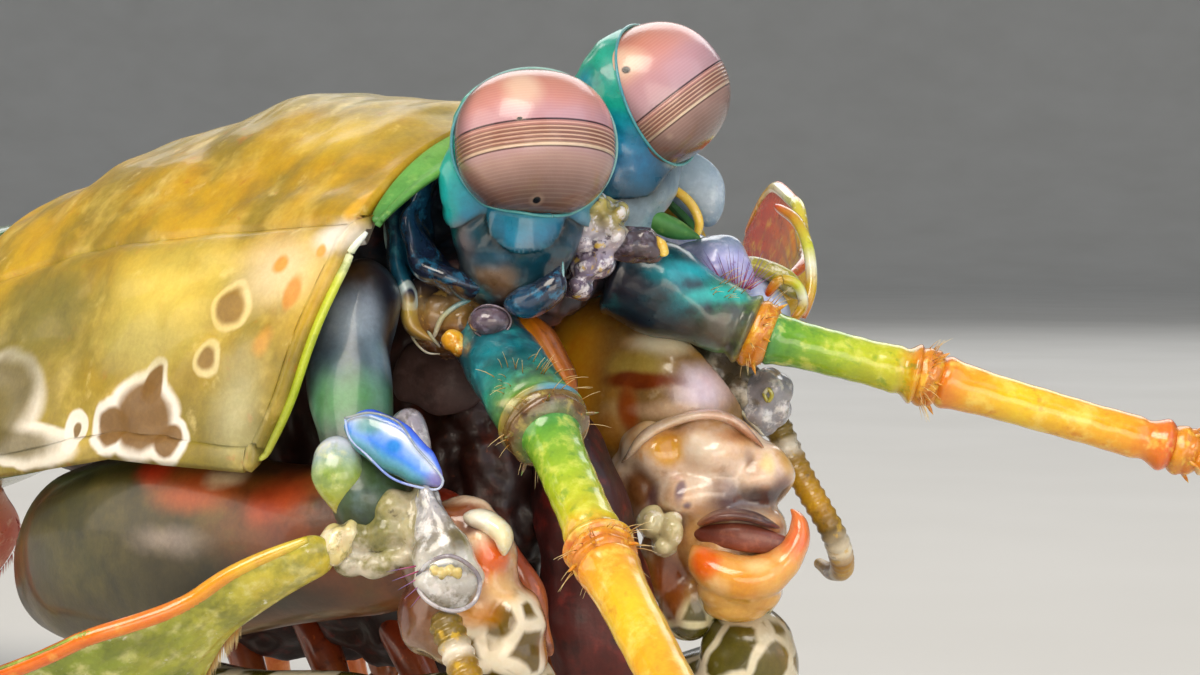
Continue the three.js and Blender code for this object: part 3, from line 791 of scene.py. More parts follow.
class Paint:
    """One material and the nodes that colour it."""

    def __init__(self, name: str) -> None:
        """Starts the material with its shader and output."""
        self.material = bpy.data.materials.new(name)
        self.material.use_nodes = True
        self.tree = self.material.node_tree
        self.tree.nodes.clear()
        self.shader = self.node("BsdfPrincipled")
        self.node("OutputMaterial", {}, {"Surface": Term(self, self.shader.outputs[0])})

    def node(
        self,
        kind: str,
        settings: Mapping[str, Any] | None = None,
        sockets: Mapping[Any, Any] | None = None,
    ) -> bpy.types.Node:
        """Adds a node.

        Args:
            kind: the node's type, without its ShaderNode prefix.
            settings: what is set on the node first. `stops` fills a ramp.
            sockets: a value or a Term for each input.

        Returns:
            The node.
        """
        made = self.tree.nodes.new("ShaderNode" + kind)
        for key, value in (settings or {}).items():
            if key == "stops":
                bar = made.color_ramp.elements
                while len(bar) < len(value):
                    bar.new(0.5)
                for element, (spot, colour) in zip(bar, value):
                    element.position = spot
                    element.color = (*linear(colour), 1)
            else:
                setattr(made, key, value)
        for key, value in (sockets or {}).items():
            if isinstance(value, Term):
                self.tree.links.new(value.socket, made.inputs[key])
            else:
                made.inputs[key].default_value = value
        return made

    def out(self, node: bpy.types.Node, socket: Any = 0) -> Term:
        """The node's output as a term."""
        return Term(self, node.outputs[socket])

    def math(self, operation: str, *values: Any) -> Term:
        """The result of a Math node on the values."""
        return self.out(self.node("Math", {"operation": operation}, dict(enumerate(values))))

    def vector(self, operation: str, *values: Any) -> bpy.types.Node:
        """A Vector Math node on the values."""
        return self.node("VectorMath", {"operation": operation}, dict(enumerate(values)))

    def fade(self, value: Term, low: float, high: float) -> Term:
        """A smooth step from 0 at low to 1 at high.

        Args:
            value: what is measured.
            low: where the step starts. It may be the larger.
            high: where it ends.

        Returns:
            The step.
        """
        sockets = {"Value": value, "From Min": low, "From Max": high}
        return self.out(self.node("MapRange", {"interpolation_type": "SMOOTHSTEP"}, sockets))

    def mix(self, share: Any, first: Any, second: Any, blend: str = "MIX") -> Term:
        """Two colours mixed.

        Args:
            share: how much of the second, 0 to 1.
            first: a colour term or six hex digits.
            second: the same.
            blend: how the second is laid over the first.

        Returns:
            The mixed colour.
        """
        pair = [c if isinstance(c, Term) else (*linear(c), 1) for c in (first, second)]
        settings = {"data_type": "RGBA", "blend_type": blend}
        return self.out(self.node("Mix", settings, {0: share, 6: pair[0], 7: pair[1]}), 2)

    def ramp(self, share: Term, stops: Stops) -> Term:
        """The colour at that share of a row of stops."""
        return self.out(self.node("ValToRGB", {"stops": stops}, {"Fac": share}))

    def place(self) -> Term:
        """The point in the animal's frame, in millimetres."""
        spot = self.out(self.node("TexCoord"), "Object")
        return self.out(self.vector("MULTIPLY_ADD", spot, (1 / MM,) * 3, tuple(-OFFSET)))

    def lay(self) -> tuple[Term, Term, Term]:
        """The point's three places on its own piece."""
        read = self.node("Attribute", {"attribute_name": "lay"})
        split = self.node("SeparateXYZ", {}, {0: self.out(read, "Vector")})
        return self.out(split, 0), self.out(split, 1), self.out(split, 2)

    def parts(self, vector: Term) -> tuple[Term, Term, Term]:
        """The vector's x, y and z."""
        split = self.node("SeparateXYZ", {}, {0: vector})
        return self.out(split, 0), self.out(split, 1), self.out(split, 2)

    def noise(self, at: Term, size: float, detail: float = 3, rough: float = 0.55) -> Term:
        """Cloudy noise.

        Args:
            at: where it is read, in millimetres.
            size: length of one cloud.
            detail: how many finer layers are added.
            rough: how strong those are.

        Returns:
            A value round one half.
        """
        sockets = {"Vector": at, "Scale": 1 / size, "Detail": detail, "Roughness": rough}
        return self.out(self.node("TexNoise", {}, sockets))

    def wobbled(self, at: Term, size: float, reach: float) -> Term:
        """The place pushed about by noise.

        Args:
            at: the place.
            size: length of one push.
            reach: how far it pushes.

        Returns:
            The pushed place.
        """
        sockets = {"Vector": at, "Scale": 1 / size, "Detail": 2.0}
        cloud = self.out(self.node("TexNoise", {}, sockets), "Color")
        centred = self.out(self.vector("SUBTRACT", cloud, (0.5, 0.5, 0.5)))
        scaled = self.vector("MULTIPLY", centred, (reach * 2,) * 3)
        return self.out(self.vector("ADD", at, self.out(scaled)))

    def gap(self, at: Term, centre: Point, size: Point | float) -> Term:
        """Distance from a centre as a share of the size."""
        sizes = (size,) * 3 if isinstance(size, (int, float)) else tuple(size)
        off = self.out(self.vector("SUBTRACT", at, tuple(centre)))
        shared = self.out(self.vector("DIVIDE", off, sizes))
        return self.out(self.vector("LENGTH", shared), "Value")

    def cells(self, at: Term, size: float, feature: str = "DISTANCE_TO_EDGE") -> bpy.types.Node:
        """Voronoi cells of about that size."""
        sockets = {"Vector": at, "Scale": 1 / size}
        return self.node("TexVoronoi", {"feature": feature}, sockets)

    def finish(self, colour: Term, height: Term, **constants: float) -> bpy.types.Material:
        """Wires the colour and relief to the shader and sets what is even.

        Args:
            colour: the base colour.
            height: relief in millimetres.
            constants: the shader's even values, with _ for the spaces in their names.

        Returns:
            The material.
        """
        sockets = {"Height": height, "Strength": 1.0, "Distance": MM}
        bump = self.out(self.node("Bump", {}, sockets), "Normal")
        self.tree.links.new(colour.socket, self.shader.inputs["Base Color"])
        self.tree.links.new(bump.socket, self.shader.inputs["Normal"])
        for key, value in constants.items():
            self.shader.inputs[key.replace("_", " ")].default_value = value
        return self.material


@dataclass(frozen=True)
class Patch:
    """A rounded mark at one place of the body, with a pale halo if it has one."""

    at: Point
    size: Point | float
    colour: str
    soft: float = 0.35
    share: float = 1.0
    halo: str | None = None
    halo_reach: float = 1.45


@dataclass(frozen=True)
class Speckle:
    """A second colour in clouds of one size, as much as its cover says."""

    colour: str
    size: float
    cover: float = 0.5
    edge: float = 0.08
    share: float = 1.0
    stretch: Point = (1.0, 1.0, 1.0)


@dataclass(frozen=True)
class Net:
    """Cells of one colour in a paler net, within reach of one place."""

    cell: str
    line: str
    size: float
    width: float
    at: Point
    reach: Point | float
    share: float = 1.0


HALO_PLACE = 2  # a patch's row has soft, share, halo and halo_reach after its colour


def numbers(row: str) -> list[float]:
    """The numbers in a row of words."""
    return [float(word) for word in row.split()]


def stops(row: str) -> Stops:
    """A ramp's stops from a row of places and colours in turn."""
    words = row.split()
    return [(float(place), colour) for place, colour in zip(words[::2], words[1::2])]


def clouds(*rows: str) -> list[Speckle]:
    """Speckles from rows of a colour and then the numbers in their fields' order."""
    return [Speckle(row[:6], *numbers(row[6:])) for row in rows]


def marks(rows: str) -> list[Patch]:
    """Patches from lines of a place, a size and a colour with what follows it.

    Args:
        rows: the lines. A place is a dot of the frame and its depth, or with `at` before
            it a point of the animal's frame. A second colour is the halo's.

    Returns:
        The patches.
    """
    made = []
    for row in rows.strip().splitlines():
        place, size, look = (part.strip() for part in row.split("/"))
        inside = place.startswith("at")
        spot = tuple(numbers(place[2:])) if inside else VIEW.at(*numbers(place))
        sizes = tuple(numbers(size))
        colour, *more = look.split()
        rest = [word if k == HALO_PLACE else float(word) for k, word in enumerate(more)]
        made.append(Patch(spot, sizes if len(sizes) > 1 else sizes[0], colour, *rest))
    return made


class Run(Enum):
    """What a finish's ground colours follow."""

    LENGTH = "length"
    HEIGHT = "height"
    FORE = "fore"
    BREADTH = "breadth"
    ACROSS = "across"


@dataclass(frozen=True)
class Shell:
    """A living shell: ground colours, clouds, nets and marks under a wet gloss."""

    name: str
    ground: Stops
    run: Run = Run.LENGTH
    span: tuple[float, float] = (0.0, 1.0)
    drift: float = 0.12
    speckles: Sequence[Speckle] = ()
    nets: Sequence[Net] = ()
    patches: Sequence[Patch] = ()
    wobble: float = 0.5
    wobble_size: float = 2.2
    rough: float = 0.3
    coat: float = 0.5
    flesh: float = 0.12
    grain: float = 0.012
    lumps: float = 0.03
    lump_size: float = 1.1

    def colours(self, paint: Paint) -> Term:
        """The shell's colour.

        Args:
            paint: the material that it is laid on.

        Returns:
            The colour before fine grain.
        """
        place = paint.place()
        if self.run is Run.LENGTH:
            share = paint.lay()[0]
        elif self.run is Run.ACROSS:
            share = paint.lay()[1] * 0.5 + 0.5
        else:
            x, y, z = paint.parts(place)
            share = {Run.HEIGHT: z, Run.FORE: x, Run.BREADTH: y}[self.run]
        low, high = self.span
        share = (share - low) / (high - low)
        share = share + (paint.noise(place, 2.6) - 0.5) * (2 * self.drift)
        colour = paint.ramp(share, self.ground)
        for k, speckle in enumerate(self.speckles):
            at = paint.out(paint.vector("MULTIPLY_ADD", place, speckle.stretch, (7.0 * k,) * 3))
            level = 0.5 + (0.5 - speckle.cover) * 0.55
            cloud = paint.noise(at, speckle.size, 4, 0.6)
            mask = paint.fade(cloud, level - speckle.edge, level + speckle.edge) * speckle.share
            colour = paint.mix(mask, colour, speckle.colour)
        moved = paint.wobbled(place, self.wobble_size, self.wobble)
        for net in self.nets:
            edge = paint.out(paint.cells(moved, net.size), "Distance")
            line = paint.fade(edge, net.width * 1.6, net.width * 0.5)
            laid = paint.mix(line, net.cell, net.line)
            reach = paint.fade(paint.gap(moved, net.at, net.reach), 1.15, 0.85)
            colour = paint.mix(reach * net.share, colour, laid)
        for patch in self.patches:
            if patch.halo is None:
                continue
            away = paint.gap(moved, patch.at, patch.size)
            reach = paint.fade(away, patch.halo_reach * 1.12, patch.halo_reach * 0.94)
            colour = paint.mix(reach * patch.share, colour, patch.halo)
        for patch in self.patches:
            away = paint.gap(moved, patch.at, patch.size)
            reach = paint.fade(away, 1 + patch.soft, 1 - patch.soft)
            colour = paint.mix(reach * patch.share, colour, patch.colour)
        return colour

    def material(self) -> bpy.types.Material:
        """The finished material.

        Returns:
            A glossy, slightly translucent shell.
        """
        paint = Paint(self.name)
        colour = self.colours(paint)
        place = paint.place()
        fine = paint.noise(place, 0.28, 4, 0.7)
        broad = paint.noise(place, self.lump_size, 3, 0.5)
        # Paler where the fine grain is raised and darker where the broad lumps dip, following the
        # relief's own noise.
        raised_grain = paint.fade(fine, 0.35, 0.7)
        colour = paint.mix(0.22 * raised_grain, colour, "ffffff", "SOFT_LIGHT")
        colour = paint.mix(0.3 * paint.fade(broad, 0.6, 0.25), colour, "302820", "SOFT_LIGHT")
        relief = (fine - 0.5) * self.grain + (broad - 0.5) * self.lumps
        uneven = paint.noise(place, 0.9, 2) * 0.16 + (self.rough - 0.08)
        paint.tree.links.new(uneven.socket, paint.shader.inputs["Roughness"])
        material = paint.finish(
            colour,
            relief,
            Coat_Weight=self.coat,
            Coat_Roughness=0.09,
            Subsurface_Weight=self.flesh,
            Subsurface_Scale=0.0012,
            IOR=1.48,
        )
        paint.shader.inputs["Subsurface Radius"].default_value = (1.0, 0.65, 0.4)
        return material


@dataclass(frozen=True)
class Bristle:
    """Fine setae: a pale tip over a darker root."""

    name: str
    root: str
    tip: str

    def material(self) -> bpy.types.Material:
        """The setae's material."""
        paint = Paint(self.name)
        share, _, _ = paint.lay()
        place = paint.place()
        cloud = paint.noise(place, 0.7, 2)
        colour = paint.mix(paint.fade(share + (cloud - 0.5) * 0.5, 0.1, 0.9), self.root, self.tip)
        return paint.finish(colour, cloud * 0.004, Roughness=0.35, Coat_Weight=0.3)


@dataclass(frozen=True)
class Cornea:
    """The faceted cornea with its six-row band, read from the eye's own directions.

    `lay` is the unit place along the eye's axis, along its band and across its band.
    """

    name: str
    pupils: Sequence[tuple[Point, float, float]]
    # Centre of the painted highlight, a pale cream patch for the softbox's reflection, in the eye's
    # own directions.
    painted_highlight_at: Point
    band_centre: float = 0.0
    band_half: float = 0.175
    rows: int = 6

    def material(self) -> bpy.types.Material:
        """The cornea's material.

        Returns:
            A silky surface with bands, fine facet rows, dark false pupils, a painted highlight and
            painted shade towards its rim.
        """
        paint = Paint(self.name)
        spot = paint.out(paint.node("Attribute", {"attribute_name": "lay"}), "Vector")
        out, _, across = paint.parts(spot)
        place = paint.place()
        cloud = paint.noise(place, 2.4, 3)
        soft = (cloud - 0.5) * 0.5
        colour = paint.ramp(
            (across + soft * 0.6) * 0.5 + 0.5,
            [
                (0.0, "5a4038"), (0.14, "80625a"), (0.3, "a8867e"), (0.42, "b08c90"),
                (0.52, "b8868a"), (0.66, "c48a86"), (0.84, "bb7a68"), (1.0, "8f5a48"),
            ],
        )
        # Painted highlight: a pale cream patch where the softbox's reflection falls.
        pale = paint.gap(spot, self.painted_highlight_at, (0.6, 0.3, 0.42))
        colour = paint.mix(paint.fade(pale + soft, 1.1, 0.3) * 0.55, colour, "e3cdb4")
        violet = paint.fade(abs(across + soft * 0.3), 0.42, 0.12)
        colour = paint.mix(violet * 0.4, colour, "b795a8")
        rows = paint.math("SINE", across * 150.0)
        colour = paint.mix(paint.fade(rows, 0.2, 1.0) * 0.06, colour, "e6cfc0")
        colour = paint.mix(paint.fade(rows, -0.2, -1.0) * 0.03, colour, "53363a")
        place_in = (across - (self.band_centre - self.band_half)) / (2 * self.band_half)
        inside = paint.fade(abs(place_in - 0.5), 0.53, 0.49)
        wave = paint.math("SINE", place_in * (2 * math.pi * self.rows) - math.pi / 2)
        stripes = paint.mix(paint.fade(wave, -0.1, 0.75), "80564a", "cda690")
        stripes = paint.mix(paint.fade(place_in, 0.72, 0.98) * 0.55, stripes, "d79a98")
        stripes = paint.mix(paint.fade(place_in, 0.2, 0.02) * 0.7, stripes, "ead6b8")
        stripes = paint.mix(paint.fade(cloud, 0.42, 0.62) * 0.3, stripes, "8e5a4c")
        colour = paint.mix(inside, colour, stripes)
        top_line = paint.fade(abs(place_in - 1.045), 0.06, 0.02)
        low_line = paint.fade(abs(place_in + 0.035), 0.045, 0.015)
        colour = paint.mix(top_line, colour, "3a1d22")
        colour = paint.mix(low_line * 0.85, colour, "4b2f2a")
        # Painted shade: darker towards the cornea's rim, where it curves down into the cup.
        edge = paint.fade(out, 0.4, 0.08)
        colour = paint.mix(edge * 0.6, colour, "4d3028")
        for where, wide, tall in self.pupils:
            away = paint.gap(spot, where, (tall, wide, tall))
            colour = paint.mix(paint.fade(away, 2.4, 0.9) * 0.22, colour, "d0b49c")
            colour = paint.mix(paint.fade(away, 1.2, 0.75), colour, "08060a")
        facets = paint.out(paint.cells(place, 0.11, "F1"), "Distance")
        ribs = inside * wave * 0.02
        relief = ribs + (1 - facets) * 0.006
        uneven = 0.24 + (cloud - 0.5) * 0.12
        paint.tree.links.new(uneven.socket, paint.shader.inputs["Roughness"])
        return paint.finish(
            colour, relief, Coat_Weight=0.45, Coat_Roughness=0.12, Subsurface_Weight=0.05,
            Subsurface_Scale=0.0008, IOR=1.45,
        )


@dataclass(frozen=True)
class Plain:
    """The studio's pale floor."""

    name: str
    tone: str

    def material(self) -> bpy.types.Material:
        """The floor's material."""
        paint = Paint(self.name)
        place = paint.place()
        cloud = paint.noise(place, 60.0, 2)
        colour = paint.mix(cloud * 0.25, self.tone, "ffffff")
        return paint.finish(colour, cloud * 0.01, Roughness=0.75)


# Pieces


MADE: dict[str, int] = {}
MATERIALS: dict[str, bpy.types.Material] = {}


def piece(
    name: str,
    shape: Shape,
    finish: Any,
    slot: Slot | None,
    nodes: Sequence[str] = (),
) -> bpy.types.Object:
    """Makes a mesh part of the animal and tells the frame about it.

    Args:
        name: the piece's name.
        shape: its mesh, in the animal's frame.
        finish: a Shell, Cornea or Bristle.
        slot: the record's finish slot; not used.
        nodes: the solids that it stands for.

    Returns:
        The object.
    """
    mesh = bpy.data.meshes.new(name)
    mesh.from_pydata(placed(shape.points).tolist(), [], shape.faces)
    lay = mesh.attributes.new("lay", "FLOAT_VECTOR", "POINT")
    lay.data.foreach_set("vector", shape.lay.astype(np.float32).ravel())
    if shape.chart is not None:
        corners = np.empty(len(mesh.loops), np.int32)
        mesh.loops.foreach_get("vertex_index", corners)
        chart = mesh.uv_layers.new(name="OFBake")
        chart.data.foreach_set("uv", shape.chart[corners].astype(np.float32).ravel())
    mesh.shade_smooth()
    if finish.name not in MATERIALS:
        MATERIALS[finish.name] = finish.material()
    mesh.materials.append(MATERIALS[finish.name])
    made = bpy.data.objects.new(name, mesh)
    bpy.context.scene.collection.objects.link(made)
    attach(made, "root")
    if nodes:
        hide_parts(*nodes)
    MADE[name] = len(mesh.polygons)
    return made


# Eyes


@dataclass
class Eye:
    """A domed cornea in the rim of a stalked cup."""

    side: Side
    at: Point
    axis: Point
    band: Point
    stalk: Sequence[Point]
    cornea: Cornea
    cup: Shell
    lip: Shell
    rim_way: Point
    rim_back: float
    collar: Point
    collar_sizes: Point
    sizes: Point = (3.9, 4.12, 3.72)
    wall: float = 0.3
    tier: Point | None = None
    tier_way: Point = (0.415, -0.309, 0.854)
    rim_low: float = 0.0
    sweep: float = 8.0
    stalk_width: Profile = (2.4, 3.0, 3.6, 3.9, 3.9)

    def axes(self) -> tuple[np.ndarray, np.ndarray, np.ndarray]:
        """The directions along the axis, along the band and across the band."""
        a = unit(self.axis)
        band = np.asarray(self.band, float)
        b = unit(band - a * (band @ a))
        return a, b, np.cross(a, b)

    def dome(self) -> Shape:
        """The cornea's mesh, a little squared across its axis."""
        return Ball(self.at, self.sizes, self.axes(), power=2.3, rings=72, sides=112).shape()

    def holder(self) -> tuple[Shape, np.ndarray]:
        """The cup and stalk in one skin, cut at the rim.

        Returns:
            The skin and the rim's outline.
        """
        a, b, c = self.axes()
        grown = [s + self.wall for s in self.sizes]
        bowl = Ball(self.at, grown, (a, b, c), power=2.3, rings=48, sides=64).shape()
        collar = Ball(np.add(self.at, self.collar), self.collar_sizes, rings=40, sides=56).shape()
        stem = Limb(
            self.stalk, self.stalk_width, self.stalk_width, up=FORWARD, blunt=(0.1, 0.3),
            rings=40, sides=40,
        ).shape()
        skin = fused([bowl, collar, stem], 0.16, 6)
        skin = swollen(skin, lambda p: 0.05 * ripple(p, 2.6, 11) + 0.02 * ripple(p, 0.9, 12))
        normal = unit(self.rim_way)
        skin = Shape(skin.points - self.swept(skin.points, 1.0), skin.faces, skin.lay)
        skin, outline = clipped(skin, np.asarray(self.at) - self.rim_back * normal, normal)
        rise = 1 + self.sweep * normal[2]
        skin = Shape(skin.points + self.swept(skin.points, rise), skin.faces, skin.lay)
        outline = outline + self.swept(outline, rise)
        lay = np.zeros_like(skin.points)
        if self.tier is not None:
            lay[:, 0] = (
                0.5 + 0.1 * np.clip(-((skin.points - self.tier) @ unit(self.tier_way)), -5, 5)
            )
        return Shape(self.hugged(skin.points), skin.faces, lay), self.hugged(outline)

    def swept(self, points: np.ndarray, rise: float) -> np.ndarray:
        """How far the rim's plane bends forward under the cornea, to leave the stalk whole.

        Args:
            points: places on the skin.
            rise: what a height below the bend is divided by.

        Returns:
            The move at each place.
        """
        low = np.maximum(self.rim_low - points[:, 2], 0)
        return self.sweep / rise * low[:, None] * unit(self.rim_way)

    def hugged(self, points: np.ndarray) -> np.ndarray:
        """The skin's points drawn in to the cornea at the rim and stepped in under the first tier.

        Args:
            points: places on the skin.

        Returns:
            The moved places.
        """
        normal, away = unit(self.rim_way), points - np.asarray(self.at)
        size = np.linalg.norm((away @ np.stack(self.axes()).T) / np.asarray(self.sizes), axis=1)
        behind = -(away @ normal) - self.rim_back
        drawn = (1 - step(behind, 0.0, 1.3)) * (1.035 / np.maximum(size, 0.4) - 1)
        drawn *= step(points[:, 2], self.rim_low - 1.5, self.rim_low - 0.3)
        inset = np.zeros(len(points))
        if self.tier is not None:
            below = -((points - self.tier) @ unit(self.tier_way))
            inset = 0.075 * step(below, -0.12, 0.12) * (1 - step(below, 2.6, 4.2))
        return np.asarray(self.at) + away * (1 + drawn - inset)[:, None]

    def build(self) -> None:
        """Makes the eye's three pieces."""
        word = self.side.word
        skin, outline = self.holder()
        piece(f"cornea_{word}", self.dome(), self.cornea, Slot.CORNEA, [f"eye_{word}"])
        piece(f"eye_cup_{word}", skin, self.cup, Slot.EYESTALK, [f"eyestalk_{word}"])
        kept = outline[:: max(1, len(outline) // 160)]
        for _ in range(6):
            kept = (np.roll(kept, 1, axis=0) + 2 * kept + np.roll(kept, -1, axis=0)) / 4
        piece(f"eye_rim_{word}", tube(kept, 0.085, closed=True), self.lip, Slot.EYESTALK)


# Carapace


BACK_LINE = [
    (-2, 41.4), (-7, 43.2), (-20, 43.7), (-31, 41.7), (-41, 38.8), (-51, 35.5), (-60, 32.2),
    (-72, 28.6), (-85, 25.2), (-98, 22.2), (-111, 19.3), (-123, 16.4), (-134, 12),
]
BODY_HALF_WIDTH = [(-41, 12.2), (-60, 13.1), (-85, 14.3), (-111, 14.4), (-124, 13.4), (-134, 12)]
BODY_DEPTH = [(-41, 13.5), (-60, 12.6), (-85, 12.4), (-111, 11.8), (-124, 10.6), (-134, 8)]
GROOVE_LINE = [(-2, 36.9), (-12, 36.4), (-23, 35.6), (-30, 34.7), (-41, 31.8)]


@dataclass
class Carapace:
    """The arched back shield, its flared side plates and the small plate at its front."""

    finish: Shell
    front_finish: Shell
    edge_finish: Shell
    half: float = 12.1
    dome_share: float = 0.5
    front: float = -2.1
    back: float = -41.0
    notch: float = 1.8
    shell: float = 0.8
    edge_line: Sequence[tuple[float, float]] = ((-4, 24.8), (-17, 25), (-28, 23.2), (-40, 20.4))
    spread: Sequence[tuple[float, float]] = ((-4, 15.4), (-12, 16.7), (-26, 17.2), (-40, 15.6))

    def over(self, u: np.ndarray, v: np.ndarray) -> np.ndarray:
        """The shield's outside, u from its left edge to its right and v from front to back.

        Args:
            u: shares across.
            v: shares back.

        Returns:
            The points.
        """
        s = 1 - 2 * u
        a = np.abs(s)
        q = np.maximum((a - self.dome_share) / (1 - self.dome_share), 0)
        dome = np.maximum(1 - (s / self.dome_share) ** 2, 0)
        corner = step(q, 0.55, 1)
        front = self.front - self.notch * np.sqrt(dome) * 0.95 - 3.1 * q - 0.9 * corner**2
        back = self.back + 1.2 * (1 - dome) * (1 - q) + 4.5 * corner**2
        x = front + (back - front) * v
        groove = along(GROOVE_LINE, x)
        side = self.half + (along(self.spread, x) - self.half) * q**0.8
        y = np.where(q > 0, side + 0.8 * np.sin(np.pi * q), self.half * a / self.dome_share)
        crown = groove + (along(BACK_LINE, x) - groove) * (1 - (a / self.dome_share) ** 2.3)
        z = np.where(q > 0, groove - (groove - along(self.edge_line, x)) * q, crown)
        points = np.stack([x, np.sign(s) * y, z], axis=-1)
        crease = hump(a, self.dome_share + 0.012, 0.012) * step(v, -0.02, 0.05)
        ridge = (
            hump(a, self.dome_share - 0.03, 0.03) * 0.12
            + hump(a, self.dome_share + 0.05, 0.02) * 0.14
        )
        margin = hump(a, 0.99, 0.012) * 0.28 + hump(v, 0.0, 0.012) * 0.3 * (q > 0)
        waves = 0.22 * ripple(points, 9, 21) + 0.07 * ripple(points, 3.2, 22)
        waves += 0.12 * ripple(points * np.array([0.35, 1, 1]), 2.2, 23) * step(q, 0.05, 0.3)
        fade = step(v, 0, 0.05) * step(1 - v, 0, 0.05) * step(1 - a, 0, 0.04)
        lift = -0.34 * crease + ridge + margin + waves * fade - 0.25
        outward = np.stack(
            [
                0 * a, np.sign(s) * np.where(q > 0, 0.95, 0.5 * a / self.dome_share),
                0.3 + 0.7 * (q == 0),
            ],
            axis=-1,
        )
        outward /= np.linalg.norm(outward, axis=-1, keepdims=True)
        return points + outward * lift[..., None]

    def rostrum(self, u: np.ndarray, v: np.ndarray) -> np.ndarray:
        """The front plate's outside, placed like the shield's."""
        s = 1 - 2 * u
        dome = np.maximum(1 - s * s, 0)
        back = self.front + 0.1 - self.notch * 0.9 * np.sqrt(dome)
        front = self.front + 0.62 + 0.5 * dome
        x = front + (back - front) * v
        groove = along(GROOVE_LINE, self.front)
        crown = along(BACK_LINE, -5) - 0.3 - 1.1 * (1 - v)
        z = groove + (crown - groove) * (1 - np.abs(s) ** 2.3)
        z = z - 0.16 * hump(v, 0.45, 0.2) + 0.1 * hump(v, 0.06, 0.1)
        return np.stack([x, s * (self.half - 0.3), z], axis=-1)

    def edge_strip(self, side: Side) -> Shape:
        """The bright strip that runs down the side plate's front margin."""
        a = np.linspace(self.dome_share + 0.01, 0.992, 90)
        u = (1 - side.value * a) / 2
        line = self.over(u, np.full_like(u, 0.004)) + np.array([0.12, side.value * 0.02, -0.1])
        return tube(line, 0.26, 12)

    def build(self) -> None:
        """Makes the shield, the front plate and the bright margins."""
        shield = sheet(self.over, self.shell, 300, 150)
        piece("carapace_shield", shield, self.finish, Slot.CARAPACE, ["carapace"])
        plate = sheet(self.rostrum, 0.4 * self.shell, 90, 18)
        piece("front_plate", plate, self.front_finish, Slot.CARAPACE, ["rostral_plate"])
        for side in Side:
            strip = self.edge_strip(side)
            piece(f"plate_margin_{side.word}", strip, self.edge_finish, Slot.CARAPACE)


# Feelers


